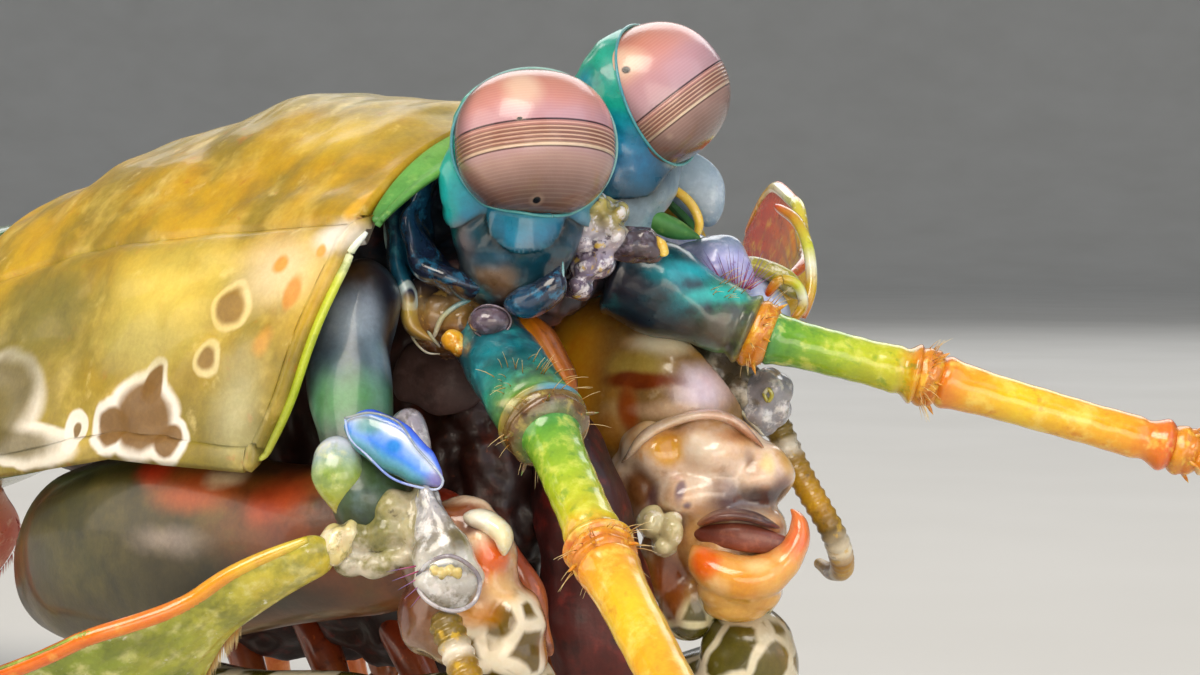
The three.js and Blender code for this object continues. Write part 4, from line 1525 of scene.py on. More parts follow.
@dataclass
class Antennule:
    """Three jointed lengths with collars and setae, and three short whips."""

    side: Side
    joints: Sequence[Point]
    whips: Sequence[Sequence[Point]]
    finishes: Sequence[Shell]
    first_collar: Shell
    collar: Shell
    whip: Shell
    setae: Bristle
    base_radii: Profile = (1.85, 2.1, 2.05, 2.15)
    radii: Sequence[Profile] = field(init=False)

    def __post_init__(self) -> None:
        """Lists the radii of all three lengths."""
        self.radii = (self.base_radii, (1.5, 1.33, 1.3, 1.6), (1.45, 1.25, 1.2, 1.35))

    def length(self, k: int) -> Shape:
        """One length, with cuffs at its ends and faint rings.

        Args:
            k: which length, from the head out.

        Returns:
            Its mesh.
        """
        a, b = np.array(self.joints[k]), np.array(self.joints[k + 1])

        def cuffs(t: np.ndarray, angle: np.ndarray) -> np.ndarray:
            """Rings at both ends, a slanting ridge on the first length and fine ringing."""
            ring = (
                0.2 * hump(t, 0.93, 0.03) - 0.16 * hump(t, 0.86, 0.03)
                + 0.12 * hump(t, 0.06, 0.04)
            )
            ridge = (
                0.2 * hump(angle, 2.2 + t * 1.6, 0.3) * step(t, 0.15, 0.4) * step(1 - t, 0.1, 0.3)
            )
            return ring + ridge * (k == 0) + 0.012 * np.sin(t * 46 + np.sin(angle * 2) * 1.5)

        return Limb(
            [a + (b - a) * s for s in (0.0, 0.5, 0.985)], self.radii[k],
            [r * 0.95 for r in self.radii[k]], blunt=(0.08, 0.08), rings=110, sides=56,
            relief=cuffs,
        ).shape()

    def joint(self, k: int) -> Shape:
        """The soft collar round the far end of a length, with its small spines."""
        a, b = np.array(self.joints[k]), np.array(self.joints[k + 1])
        way = unit(b - a)
        radius = self.radii[k][-1]
        knot = Limb(
            [b - way * 1.3, b, b + way * 1.1], (radius * 0.9, radius * 1.04, radius * 0.86),
            (radius * 0.9, radius * 1.02, radius * 0.86), blunt=(0.4, 0.4), rings=40, sides=48,
            relief=lambda t, g: 0.05 * np.sin(g * 5 + t * 9) * hump(t, 0.5, 0.3)
                - 0.12 * hump(t, 0.55, 0.06),
        ).shape()
        side = unit(np.cross(way, UP))
        top = np.cross(side, way)
        spikes = [knot]
        for turn in np.arange(5) * 1.3 + k:
            out = math.cos(turn) * side + math.sin(turn) * top
            root = b + way * 0.2 + out * radius * 0.85
            tip = b + way * 0.7 + out * radius * 1.2
            spikes.append(
                Limb(
                    [root, tip], (0.15, 0.1, 0.03), (0.15, 0.1, 0.03), up=way + out * 0.1,
                    blunt=(0.05, 0.3), rings=14, sides=10,
                ).shape(),
            )
        return Shape.joined(spikes)

    def hairs(self) -> Shape:
        """Rows of setae on the first length and round both joints."""
        rng = np.random.default_rng(5 + self.side.value)
        roots, tips, chart = [], [], []
        for k in (0, 1):
            a, b = np.array(self.joints[k]), np.array(self.joints[k + 1])
            way = unit(b - a)
            side = unit(np.cross(way, UP))
            top = np.cross(side, way)
            for _ in range(46 if k == 0 else 30):
                inner = k == 0 and rng.uniform() < 0.6
                share = rng.uniform(0.6, 0.8) if inner else rng.uniform(0.95, 1.0)
                turn = rng.uniform(0.4, 2.7) if share < 0.9 else rng.uniform(0, 2 * math.pi)
                radius = float(smooth(self.radii[k], np.array([share]))[0])
                out = math.cos(turn) * side + math.sin(turn) * top
                root = a + (b - a) * share + out * radius * 0.93
                reach = rng.uniform(0.7, 1.5)
                roots.append(root)
                tips.append(
                    root + reach * unit(out * 1.0 + way * 0.55 + rng.normal(size=3) * 0.18),
                )
                chart.append((0.1 + 0.8 * (share + k) / 2, 0.05 + 0.9 * turn / (2 * math.pi)))
        return bristles(np.array(roots), np.array(tips), HAIR, np.array(chart), (0, 0, 0.06))

    def build(self) -> None:
        """Makes the lengths, collars, whips and setae."""
        word = self.side.word
        for k, name in enumerate(("base", "middle", "outer")):
            piece(
                f"antennule_{name}_{word}", self.length(k), self.finishes[k], Slot.ANTENNULE,
                [f"antennule_{word}_{name}"],
            )
            collar = self.first_collar if k == 0 else self.collar
            piece(f"antennule_collar_{k + 1}_{word}", self.joint(k), collar, Slot.ANTENNULE)
        lines = [
            Limb(path, (0.8, 0.5, 0.3), (0.8, 0.5, 0.3), blunt=(0.04, 0.04), rings=150, sides=16,
                 relief=lambda t, g: 0.05 * np.sin(t * 220)).shape()
            for path in self.whips
        ]
        piece(
            f"antennule_whips_set_{word}", Shape.joined(lines), self.whip, Slot.ANTENNULE,
            [f"antennule_{word}_whips"],
        )
        piece(f"antennule_setae_{word}", self.hairs(), self.setae, Slot.ANTENNULE)


@dataclass
class Antenna:
    """A stout base, a banded whip and a broad fringed scale."""

    side: Side
    base: Sequence[Point]
    whip: Sequence[Point]
    scale: Sequence[Point]
    scale_up: Point
    base_finish: Shell
    whip_finish: Shell
    rib_finish: Shell
    scale_finish: Shell
    fringe: Bristle
    scale_width: Profile = (0.9, 0.7, 0.5, 0.45, 0.4)
    scale_height: Profile = (1.2, 1.7, 4.0, 4.4, 2.0)

    def blade(self) -> Shape:
        """The scale: a thick outer rib and a thin ribbed blade."""
        return Limb(
            self.scale, self.scale_width, self.scale_height, up=self.scale_up, blunt=(0.05, 0.16),
            rings=120, sides=80,
            relief=lambda t, g: 0.28 * hump(np.sin(g), 1.0, 0.12) * step(t, 0.05, 0.2)
            + 0.05 * np.sin(np.sin(g) * 22) * np.abs(np.cos(g)) * step(t, 0.2, 0.4),
        ).shape()

    def frame_along(self, slope: np.ndarray) -> tuple[np.ndarray, np.ndarray, np.ndarray]:
        """The ways along, across and up the scale where its line runs as slope says."""
        way = unit_rows(slope)
        across = unit_rows(np.cross(np.asarray(self.scale_up, float), way))
        return way, across, np.cross(way, across)

    def rib(self) -> Shape:
        """The thick outer rib along the scale's upper edge."""
        line = spline(self.scale, 120)
        _, _, top = self.frame_along(np.gradient(line, axis=0))
        t = np.linspace(0, 1, 120)
        rise = smooth(self.scale_height, t) * rounded(1 - t, 0.16)
        rise = rise * rounded(t, 0.05)
        return tube((line + top * (rise * 0.96)[:, None])[4:118], 0.42, 14)

    def fringe_hairs(self) -> Shape:
        """Setae along the scale's lower edge and tip."""
        count = 620
        rng = np.random.default_rng(31 + self.side.value)
        t = np.sort(rng.uniform(0.25, 0.99, count))
        line = spline(self.scale, 300)
        at = np.linspace(0, 1, 300)
        spot = np.stack([np.interp(t, at, line[:, k]) for k in range(3)], axis=1)
        slope = np.gradient(line, axis=0)
        slope = np.stack([np.interp(t, at, slope[:, k]) for k in range(3)], axis=1)
        way, across, top = self.frame_along(slope)
        drop = smooth(self.scale_height, t) * rounded(1 - t, 0.16)
        roots = spot - top * (drop * 0.97)[:, None]
        lean = -top * 1.0 + way * (0.5 + t[:, None]) + across * rng.normal(size=(count, 1)) * 0.12
        lean = unit_rows(lean)
        tips = roots + lean * rng.uniform(0.9, 1.5, (count, 1))
        chart = np.stack([0.05 + 0.9 * t, 0.5 + 0.04 * rng.uniform(-1, 1, count)], axis=1)
        return bristles(roots, tips, HAIR, chart)

    def build(self) -> None:
        """Makes the base, whip, scale and fringe."""
        word = self.side.word
        base = Limb(
            self.base, (1.7, 2.2, 2.0, 1.9, 2.0), (1.7, 2.2, 2.1, 1.9, 2.0), up=FORWARD, rings=90,
            sides=56, relief=lambda t, g: 0.12 * np.sin(g * 3 + t * 6) + 0.1 * np.sin(t * 17),
        ).shape()
        piece(
            f"antenna_base_{word}", base, self.base_finish, Slot.ANTENNA,
            [f"antenna_{word}_base"],
        )
        whip = Limb(
            self.whip, (0.8, 0.7, 0.5, 0.3), (0.8, 0.7, 0.5, 0.3), up=FORWARD, blunt=(0.03, 0.03),
            rings=260, sides=20, relief=lambda t, g: 0.05 * np.sin(t * 260),
        ).shape()
        piece(
            f"antenna_whip_{word}", whip, self.whip_finish, Slot.ANTENNA,
            [f"antenna_{word}_whip"],
        )
        piece(
            f"antennal_scale_blade_{word}", self.blade(), self.scale_finish, Slot.SCALE,
            [f"antennal_scale_{word}"],
        )
        piece(f"antennal_scale_rib_{word}", self.rib(), self.rib_finish, Slot.SCALE)
        piece(f"antennal_scale_fringe_{word}", self.fringe_hairs(), self.fringe, Slot.SCALE)


# Raptorial limbs


@dataclass
class Raptorial:
    """A folded smashing limb: a deep upper length, a hand and a clubbed finger."""

    side: Side
    merus: Sequence[Point]
    merus_width: Profile
    merus_height: Profile
    propodus: Sequence[Point]
    dactyl: Sequence[Point]
    upper_finish: Shell
    hand_finish: Shell
    club_finish: Shell
    # The edge line cuts the upper length, and a pale tube along it is a painted highlight.
    edge: tuple[Point, Point] | None = None
    edge_finish: Shell | None = None

    def upper(self) -> Shape:
        """The upper length, with a keel below, soft hollows and one sharp edge if it has it."""
        whole = Limb(
            self.merus, self.merus_width, self.merus_height, power=2.3, blunt=(0.1, 0.14),
            rings=130, sides=80,
            relief=lambda t, g: 0.2 * hump(np.sin(g), -1, 0.2) + 0.14 * np.sin(t * 9 + g * 2)
            + 0.1 * np.sin(t * 23 - g * 3) * step(t, 0.5, 0.8),
        ).shape()
        if self.edge is None:
            return whole
        right, up, gaze = VIEW.axes()
        start, end = (np.array(p) for p in self.edge)
        out = unit(np.cross(end - start, gaze))
        out = out * np.sign(out @ (right + up))
        normal = unit(out * 0.93 + gaze * 0.36)
        return clipped(whole, start, normal)[0]

    def hand(self) -> Shape:
        """The long hand, grooved below where the finger folds in."""
        return Limb(
            self.propodus, (2.6, 2.9, 2.5, 2.0, 1.8), (2.4, 3.0, 2.8, 2.3, 1.9),
            blunt=(0.1, 0.06), rings=140, sides=72,
            relief=lambda t, g: 0.12 * np.sin(t * 15 + g * 3)
                - 0.3 * hump(np.sin(g), -1, 0.1) * step(t, 0.3, 0.5),
        ).shape()

    def club(self) -> Shape:
        """The finger with its swollen heel."""
        return Limb(
            self.dactyl, (0.5, 0.9, 1.3, 2.4, 2.6), (0.5, 0.9, 1.3, 2.6, 2.8), blunt=(0.04, 0.18),
            rings=110, sides=56,
        ).shape()

    def build(self) -> None:
        """Makes the limb's three hard lengths."""
        word = self.side.word
        for name, shape, finish in (
            ("merus", self.upper(), self.upper_finish),
            ("propodus", self.hand(), self.hand_finish),
            ("dactyl", self.club(), self.club_finish),
        ):
            piece(
                f"raptor_{name}_{word}", shape, finish, Slot.RAPTORIAL,
                [f"raptorial_{word}_{name}"],
            )
        # A pale tube along the sharp edge: a painted highlight.
        if self.edge is not None and self.edge_finish is not None:
            line = spline(self.edge, 60)
            piece(f"raptor_edge_{word}", tube(line, 0.12), self.edge_finish, Slot.RAPTORIAL)


# Head and trunk


@dataclass
class Head:
    """The soft front of the head, the mouth and the flesh under the shield."""

    skin: Shell
    flange: Shell
    roll: float = math.radians(16.4)

    def rolled(self, x: float, y: float, z: float) -> tuple[float, float, float]:
        """A point beside and above the head's centre line, after the head's roll."""
        c, s = math.cos(self.roll), math.sin(self.roll)
        return (x, y * c - z * s, 34.6 + y * s + z * c)

    def flesh(self) -> Shape:
        """One skin over the head block, the mouth and the trunk."""
        lean = (0.0, -math.sin(self.roll), math.cos(self.roll))
        parts = [
            Limb([self.rolled(-8, 0, -0.6), self.rolled(-4, 0, -0.4), self.rolled(0.2, 0, -0.4)],
                 (5.8, 7.2, 6.0), (2.8, 3.0, 2.4), up=lean, power=2.4, blunt=(0.2, 0.3)),
            Limb([(-12, 0, 23.4), (-6, 0.4, 23.2), (-2, 0.8, 22.8)], (3.8, 4.8, 3.8),
                 (5.6, 6.8, 5.8), power=2.3, blunt=(0.2, 0.3)),
            Limb([(-41.4, 0, 33.4), (-30, 0, 35.4), (-18, 0, 37), (-7, 0, 37.2)],
                 (9.8, 10.2, 10.2, 8.4), (4.0, 4.4, 4.4, 3.4), power=2.4, blunt=(0.06, 0.1)),
            Limb([(-41.4, 0, 28.4), (-30, 0, 27.6), (-18, 0, 28.4), (-6, 0, 31)],
                 (9.2, 6.0, 5.0, 4.6), (7.0, 8.4, 8.4, 4.6), power=2.4, blunt=(0.06, 0.12)),
            Ball((-5.6, -0.4, 30.4), (3.4, 3.8, 3.2)),
        ]
        skin = fused([p.shape() for p in parts], 0.3, 5)
        front = lambda p: 0.25 + 0.75 * step(p[:, 0], -12, -4)
        folds = lambda p: 0.28 * ripple(p, 2.4, 51) + 0.12 * ripple(p, 1.0, 52)
        return swollen(skin, lambda p: folds(p) * front(p) - 0.15)

    def flange_shape(self, side: Side) -> Shape:
        """The upright flange beside one eyestalk."""
        y = side.value
        return Limb(
            [
                self.rolled(-4.6, y * 7, -5), self.rolled(-4.4, y * 7.8, -2),
                self.rolled(-4.6, y * 7.6, 1.4),
            ],
            (0.5, 0.55, 0.45), (1.2, 1.7, 1.3), up=(0.9, y * 0.3, 0), blunt=(0.2, 0.2), rings=60,
            sides=48, relief=lambda t, g: 0.1 * hump(np.abs(np.sin(g)), 1, 0.1),
        ).shape()

    def build(self) -> None:
        """Makes the flesh and the left flange."""
        piece(
            "head_and_trunk_flesh", self.flesh(), self.skin, Slot.HEAD,
            ["head_front", "mouthparts", "trunk_core"],
        )
        piece("head_flange_left", self.flange_shape(Side.LEFT), self.flange, Slot.HEAD)


@dataclass
class HeadFront:
    """The flange, lobes and knobs round the near eyestalk, and the far side's soft lobes."""

    flange: Shell
    lobe: Shell
    tissue: Shell
    knob: Shell
    bead: Shell
    edge: Shell
    membrane: Shell
    far_tissue: Shell
    flap: Shell
    fold: Shell
    far_plate: Shell
    far_strip: Shell

    def near_side(self) -> None:
        """Lays the flange, the curled lobe, the ridge and the knobs of the near side."""
        flange = strap(
            [(414, 186, 138), (398, 216, 137.3), (400, 256, 136.8), (408, 296, 136.3),
             (420, 330, 135.6), (442, 347, 134.8)],
            (0.35, 0.75, 0.62, 0.66, 0.62, 0.3), (1.4, 2.0, 2.2, 2.2, 1.8, 1.0),
            relief=lambda t, g: 0.1 * np.sin(t * 19 + g * 2),
        )
        piece("near_flange", flange, self.flange, Slot.HEAD)
        outline = cord(
            [(411, 186, 137), (388, 214, 136.7), (385, 236, 136.4), (395, 276, 135.8),
             (404, 316, 135.4), (416, 343, 134.9), (428, 353, 134.6), (440, 354, 134.6)], 0.07,
        )
        piece("near_flange_edge", outline, self.edge, Slot.HEAD)
        lobe = strap(
            [(440, 172, 138), (421, 198, 137), (416, 232, 136.2), (428, 264, 135.2),
             (456, 283, 134.2), (494, 290, 133.6)],
            (0.5, 0.85, 0.8, 0.75, 0.7, 0.4), (1.6, 2.4, 2.6, 2.6, 2.2, 1.4),
            relief=lambda t, g: 0.12 * np.sin(t * 23 + g * 2) + 0.08 * np.sin(t * 9 - g * 3),
        )
        piece("near_socket_lobe", lobe, self.lobe, Slot.HEAD)
        tissue = lumps(
            seen((438, 314, 136.2, 1.4, 1.7, 2.2), (462, 322, 135.6, 1.3, 1.3, 2),
                 (432, 338, 136, 0.9, 0.9, 1.6), (424, 296, 136.6, 0.8, 1.2, 1.8),
                 (468, 298, 135.6, 1.4, 0.6, 1.6), (450, 345, 136, 0.9, 0.7, 1.6),
                 (505, 300, 134.6, 1.6, 0.8, 1.4)),
            0.14, 0.1, 1.1, 61,
        )
        piece("near_head_tissue", tissue, self.tissue, Slot.HEAD)
        ridges = [
            cord(
                [(472, 299, 134.1), (456, 306, 133.9), (442, 318, 133.9), (434, 337, 134.1)],
                0.14,
            ),
            cord([(426, 314, 134.6), (429, 332, 134.4), (440, 347, 134.5)], 0.09),
        ]
        piece("near_head_ridges", Shape.joined(ridges), self.edge, Slot.HEAD)
        knob = Ball(VIEW.at(490, 321, 132.9), (1.12, 0.84, 1.2), VIEW.axes()).shape()
        piece("near_knob", knob, self.knob, Slot.HEAD)
        ring = cord(
            [
                (470, 322, 132.6), (476, 309, 132.3), (490, 305, 132.1), (506, 311, 132.2),
                (511, 322, 132.4), (502, 335, 132.3), (486, 338, 132.3), (475, 332, 132.5),
            ],
            0.055, closed=True,
        )
        piece("near_knob_ring", ring, self.knob, Slot.HEAD)
        bead = lumps(
            seen((453, 340, 134, 0.6, 0.6, 0.8), (462, 348, 134, 0.7, 0.5, 0.9)),
            0.09, 0.05, 0.6, 62,
        )
        piece("near_bead", bead, self.bead, Slot.HEAD)
        sheet_of_skin = strap(
            [(396, 366, 140), (436, 380, 138.4), (482, 396, 138)], (1.5, 1.75, 1.2),
            (0.5, 0.7, 0.6), relief=lambda t, g: 0.12 * np.sin(t * 12),
        )
        piece("near_membrane", sheet_of_skin, self.membrane, Slot.HEAD)
        flap = strap(
            [(520, 314, 136), (538, 340, 135.4), (556, 372, 135.4), (574, 410, 136)],
            (0.5, 0.95, 0.9, 0.35), (0.8, 1.2, 1.2, 0.8),
            relief=lambda t, g: 0.06 * np.sin(g * 9),
        )
        piece("mouth_flap", flap, self.flap, Slot.HEAD)
        # The mouth fold is the mouthparts' dark red, darkened as painted shade in the hollow below
        # the head.
        fold = strap(
            [(552, 400, 139.8), (576, 490, 139.6), (594, 580, 139.6), (600, 700, 140)],
            (1.7, 2.5, 3.0, 2.6), (1.6, 2.2, 2.2, 1.6),
            relief=lambda t, g: 0.14 * np.sin(t * 21 + g * 2) + 0.1 * np.sin(g * 5),
        )
        piece("mouth_fold", fold, self.fold, Slot.HEAD)
        under = lumps(
            [((-20, -1, 16.6), (9.5, 4.6, 6.6)), ((-11, -1, 16.8), (6.5, 4.4, 5.8))], 0.4, 0.3,
            2.6, 66,
        )
        piece("mouth_underside", under, self.fold, Slot.HEAD)
        horn = strap(
            [(508, 304, 133), (534, 300, 131.9), (553, 286, 131.5), (560, 266, 131.8)],
            (0.4, 0.85, 0.8, 0.25), (0.9, 1.1, 1.0, 0.5),
        )
        piece("near_horn", horn, self.lobe, Slot.HEAD)
        horn_edge = cord(
            [(563, 262, 131.6), (562, 280, 131), (552, 296, 130.9), (534, 310, 131.3)], 0.07,
        )
        piece("near_horn_edge", horn_edge, self.edge, Slot.HEAD)

    def far_side(self) -> None:
        """Lays the crumpled tissue between the eyestalks and the lobes above the far antennule."""
        places = [
            (598, 208, 0.75), (588, 226, 0.8), (606, 222, 0.75), (583, 246, 0.8), (600, 244, 0.9),
            (614, 238, 0.8), (584, 268, 0.8), (598, 262, 0.85), (578, 286, 0.7), (618, 214, 0.6),
        ]
        tissue = lumps(
            [
                (VIEW.at(x, y, 135.9 + 0.05 * k), (r * 1.05, r * 1.05, 2.4))
                for k, (x, y, r) in enumerate(places)
            ],
            0.11, 0.09, 1.0, 63,
        )
        piece("far_head_tissue", tissue, self.far_tissue, Slot.HEAD)
        lobe = lumps(
            seen((634, 244, 136, 1.5, 0.95, 1.4), (652, 252, 136, 0.7, 0.6, 1)),
            0.1, 0.08, 0.9, 64,
        )
        piece("far_lobe", lobe, self.knob, Slot.HEAD)
        tip = strap(
            [(656, 236, 135.6), (662, 246, 135.4), (664, 256, 135.6)], (0.1, 0.28, 0.3),
            (0.1, 0.3, 0.4),
        )
        piece("far_lobe_tip", tip, self.bead, Slot.HEAD)
        plate = strap(
            [(664, 158, 143.4), (696, 186, 143), (712, 226, 142.6)], (1.1, 1.5, 0.8),
            (0.5, 0.7, 0.5),
        )
        piece("far_front_plate", plate, self.far_plate, Slot.HEAD)
        yellow = cord(
            [
                (650, 186, 141.8), (674, 190, 141.4), (691, 204, 141.2), (699, 222, 141.2),
                (697, 236, 141.4),
            ],
            0.27,
        )
        piece("far_yellow_edge", yellow, self.bead, Slot.HEAD)
        strip = strap(
            [(606, 198, 138.8), (640, 214, 139.6), (672, 228, 140.2), (700, 238, 140.8)],
            (0.4, 0.62, 0.6, 0.25), (0.9, 1.1, 1.0, 0.6),
        )
        piece("far_green_strip", strip, self.far_strip, Slot.HEAD)

    def build(self) -> None:
        """Makes both sides' parts."""
        self.near_side()
        self.far_side()


@dataclass
class AntennaRoots:
    """The plates, lobes and joint folds where both antennae leave the head."""

    lobe: Shell
    plate: Shell
    plate_rim: Shell
    fold: Shell
    cup: Shell
    bulge: Shell
    stem: Shell
    joint: Shell
    rib: Shell
    setae: Bristle

    def near_side(self) -> None:
        """Lays the lobe, the blue plate, the folds and the cup of the near antenna."""
        lobe = strap(
            [(336, 438, 129), (338, 476, 127.9), (339, 515, 128.2)], (1.0, 1.32, 0.5),
            (0.9, 1.1, 0.5), blunt=(0.25, 0.3),
        )
        piece("near_green_lobe", lobe, self.lobe, Slot.ANTENNA)
        plate = strap(
            [
                (345, 424, 128.4), (372, 434, 127.4), (402, 453, 126.6), (428, 473, 126.3),
                (442, 485, 126.4),
            ],
            (0.62, 1.16, 1.28, 1.0, 0.4), (0.35, 0.5, 0.45, 0.35, 0.2), blunt=(0.16, 0.1),
        )
        piece("near_blue_plate", plate, self.plate, Slot.ANTENNA)
        rim = cord(
            [
                (345, 418, 127.9), (372, 413, 126.8), (399, 423, 126.2), (416, 447, 126),
                (434, 467, 125.9), (443, 481, 126), (438, 489, 126.1), (418, 487, 126),
                (392, 478, 126.3), (368, 456, 126.9), (349, 436, 127.7),
            ],
            0.065, closed=True,
        )
        piece("near_blue_plate_rim", rim, self.plate_rim, Slot.ANTENNA)
        neck = strap(
            [(392, 430, 130), (410, 420, 129), (418, 440, 128), (422, 470, 127.4)],
            (0.5, 0.6, 0.6, 0.5), (1.0, 0.8, 0.8, 0.8),
        )
        piece("near_grey_fold", neck, self.fold, Slot.ANTENNA)
        folds = lumps(
            seen((372, 500, 128.6, 1, 0.8, 1.4), (398, 508, 128, 1.3, 1, 1.4),
                 (388, 532, 127.8, 1.4, 0.9, 1.3), (414, 530, 127.4, 0.8, 1.3, 1.2),
                 (362, 536, 128, 0.9, 1, 1.2), (404, 556, 127.4, 1.1, 0.5, 1),
                 (376, 566, 127.6, 1.2, 0.6, 1), (352, 562, 128, 0.9, 0.8, 1.2),
                 (425, 495, 127.4, 0.6, 1.1, 1.2), (356, 508, 129, 0.7, 0.7, 1.4)),
            0.13, 0.08, 1.6, 65,
        )
        piece("near_joint_folds", folds, self.joint, Slot.ANTENNA)
        knobs = lumps(
            seen((337, 545, 127.4, 0.85, 1.05, 1), (352, 534, 127.6, 0.5, 0.8, 0.8)),
            0.1, 0.07, 0.9, 66,
        )
        piece("near_scale_knob", knobs, self.stem, Slot.ANTENNA)
        cup = strap(
            [
                (424, 486, 126.8), (434, 520, 126), (444, 556, 125.4), (449, 586, 125),
                (451, 612, 124.8),
            ],
            (0.42, 0.75, 1.35, 1.65, 0.95), (0.5, 0.8, 1.3, 1.6, 0.9), blunt=(0.08, 0.12),
            relief=lambda t, g: 0.12 * np.sin(g * 3 + t * 5) + 0.08 * np.sin(t * 26),
        )
        piece("near_stalk_cup", cup, self.cup, Slot.ANTENNA, ["antenna_right_stalk"])
        lip = cord(
            [
                (418, 575, 124.2), (430, 562, 123.6), (450, 556, 123.3), (470, 566, 123.6),
                (480, 582, 124.2), (474, 602, 124), (455, 611, 123.6), (432, 604, 123.8),
                (419, 590, 124.2),
            ],
            0.11, closed=True,
        )
        piece("near_cup_rim", lip, self.fold, Slot.ANTENNA)
        beads = lumps(
            [
                (VIEW.at(434 + 8 * k, 570 + 3 * (k % 2), 123.6), (0.24, 0.3, 0.4))
                for k in range(4)
            ],
            0.06, 0.03, 0.4, 67,
        )
        piece("near_cup_beads", beads, self.stem, Slot.ANTENNA)

    def far_side(self) -> None:
        """Lays the lilac bulge, the stem, the joint and the grey stalk."""
        bulge = lumps(
            seen((716, 268, 144, 1.95, 1.9, 1.9), (690, 262, 144.4, 1.3, 1.2, 1.6),
                 (738, 280, 143.8, 0.9, 1, 1.2)),
            0.16, 0.06, 1.4, 68,
        )
        piece("far_lilac_bulge", bulge, self.bulge, Slot.ANTENNA)
        stem = strap(
            [(738, 262, 145), (762, 268, 145), (786, 280, 145.2), (800, 298, 145.6)],
            (0.45, 0.55, 0.6, 0.5), (0.8, 0.8, 0.8, 0.6),
        )
        piece("far_scale_stem", stem, self.stem, Slot.ANTENNA)
        curl = cord(
            [
                (766, 296, 144.6), (780, 280, 144.4), (796, 284, 144.6), (803, 304, 145),
                (792, 322, 145),
            ],
            0.3,
        )
        piece("far_scale_curl", curl, self.rib, Slot.ANTENNA)
        rib = cord(
            [
                (776, 206, 151), (797, 222, 149), (809, 252, 147.4), (811, 288, 146.2),
                (803, 318, 145.6),
            ],
            0.34,
        )
        piece("far_scale_rib", rib, self.rib, Slot.ANTENNA)
        peduncle = lumps(
            seen((688, 350, 146.4, 2, 1.9, 2), (716, 366, 145.6, 2, 1.7, 2),
                 (738, 388, 145, 1.5, 1.6, 1.8), (750, 412, 144.6, 1.1, 1.5, 1.5),
                 (660, 326, 147.4, 1.6, 1.6, 2)),
            0.2, 0.12, 1.8, 69,
        )
        piece("far_grey_stalk", peduncle, self.joint, Slot.ANTENNA, ["antenna_left_stalk"])
        joint = lumps(
            seen((768, 392, 144, 1.4, 1.35, 1.4), (760, 414, 144, 1.1, 1.2, 1.2),
                 (778, 408, 144, 0.8, 1, 1)),
            0.12, 0.1, 1.3, 70,
        )
        piece("far_white_joint", joint, self.cup, Slot.ANTENNA)
        eyelet = cord(
            [(764, 394, 142.6), (768, 389, 142.5), (772, 395, 142.5), (768, 401, 142.6)], 0.12,
            closed=True,
        )
        piece("far_joint_eyelet", eyelet, self.stem, Slot.ANTENNA)

    def hairs(self) -> None:
        """Sets the fan of bristles before the far bulge and a few by the near cup."""
        rng = np.random.default_rng(77)
        roots, tips, chart = [], [], []
        for k in range(26):
            turn = -1.15 + 2.3 * k / 25 + rng.normal(0, 0.04)
            reach = 46 * rng.uniform(0.75, 1.1)
            roots.append(VIEW.at(735 + 16 * math.sin(turn), 291 - 3 * math.cos(turn), 141.8))
            tips.append(
                VIEW.at(
                    735 + (16 + reach) * math.sin(turn) * 0.8 - 3, 291 - reach * math.cos(turn),
                    141.9,
                ),
            )
            chart.append((0.2 + 0.02 * k, 0.5))
        for k in range(5):
            roots.append(VIEW.at(416 + 3 * k, 566 + 5 * k, 124.2))
            tips.append(VIEW.at(386 + 6 * k, 572 + 9 * k, 124))
            chart.append((0.8 + 0.02 * k, 0.3))
        made = bristles(np.array(roots), np.array(tips), 0.045, np.array(chart))
        piece("antenna_root_setae", made, self.setae, Slot.ANTENNA)

    def build(self) -> None:
        """Makes both sides' parts and their bristles."""
        self.near_side()
        self.far_side()
        self.hairs()


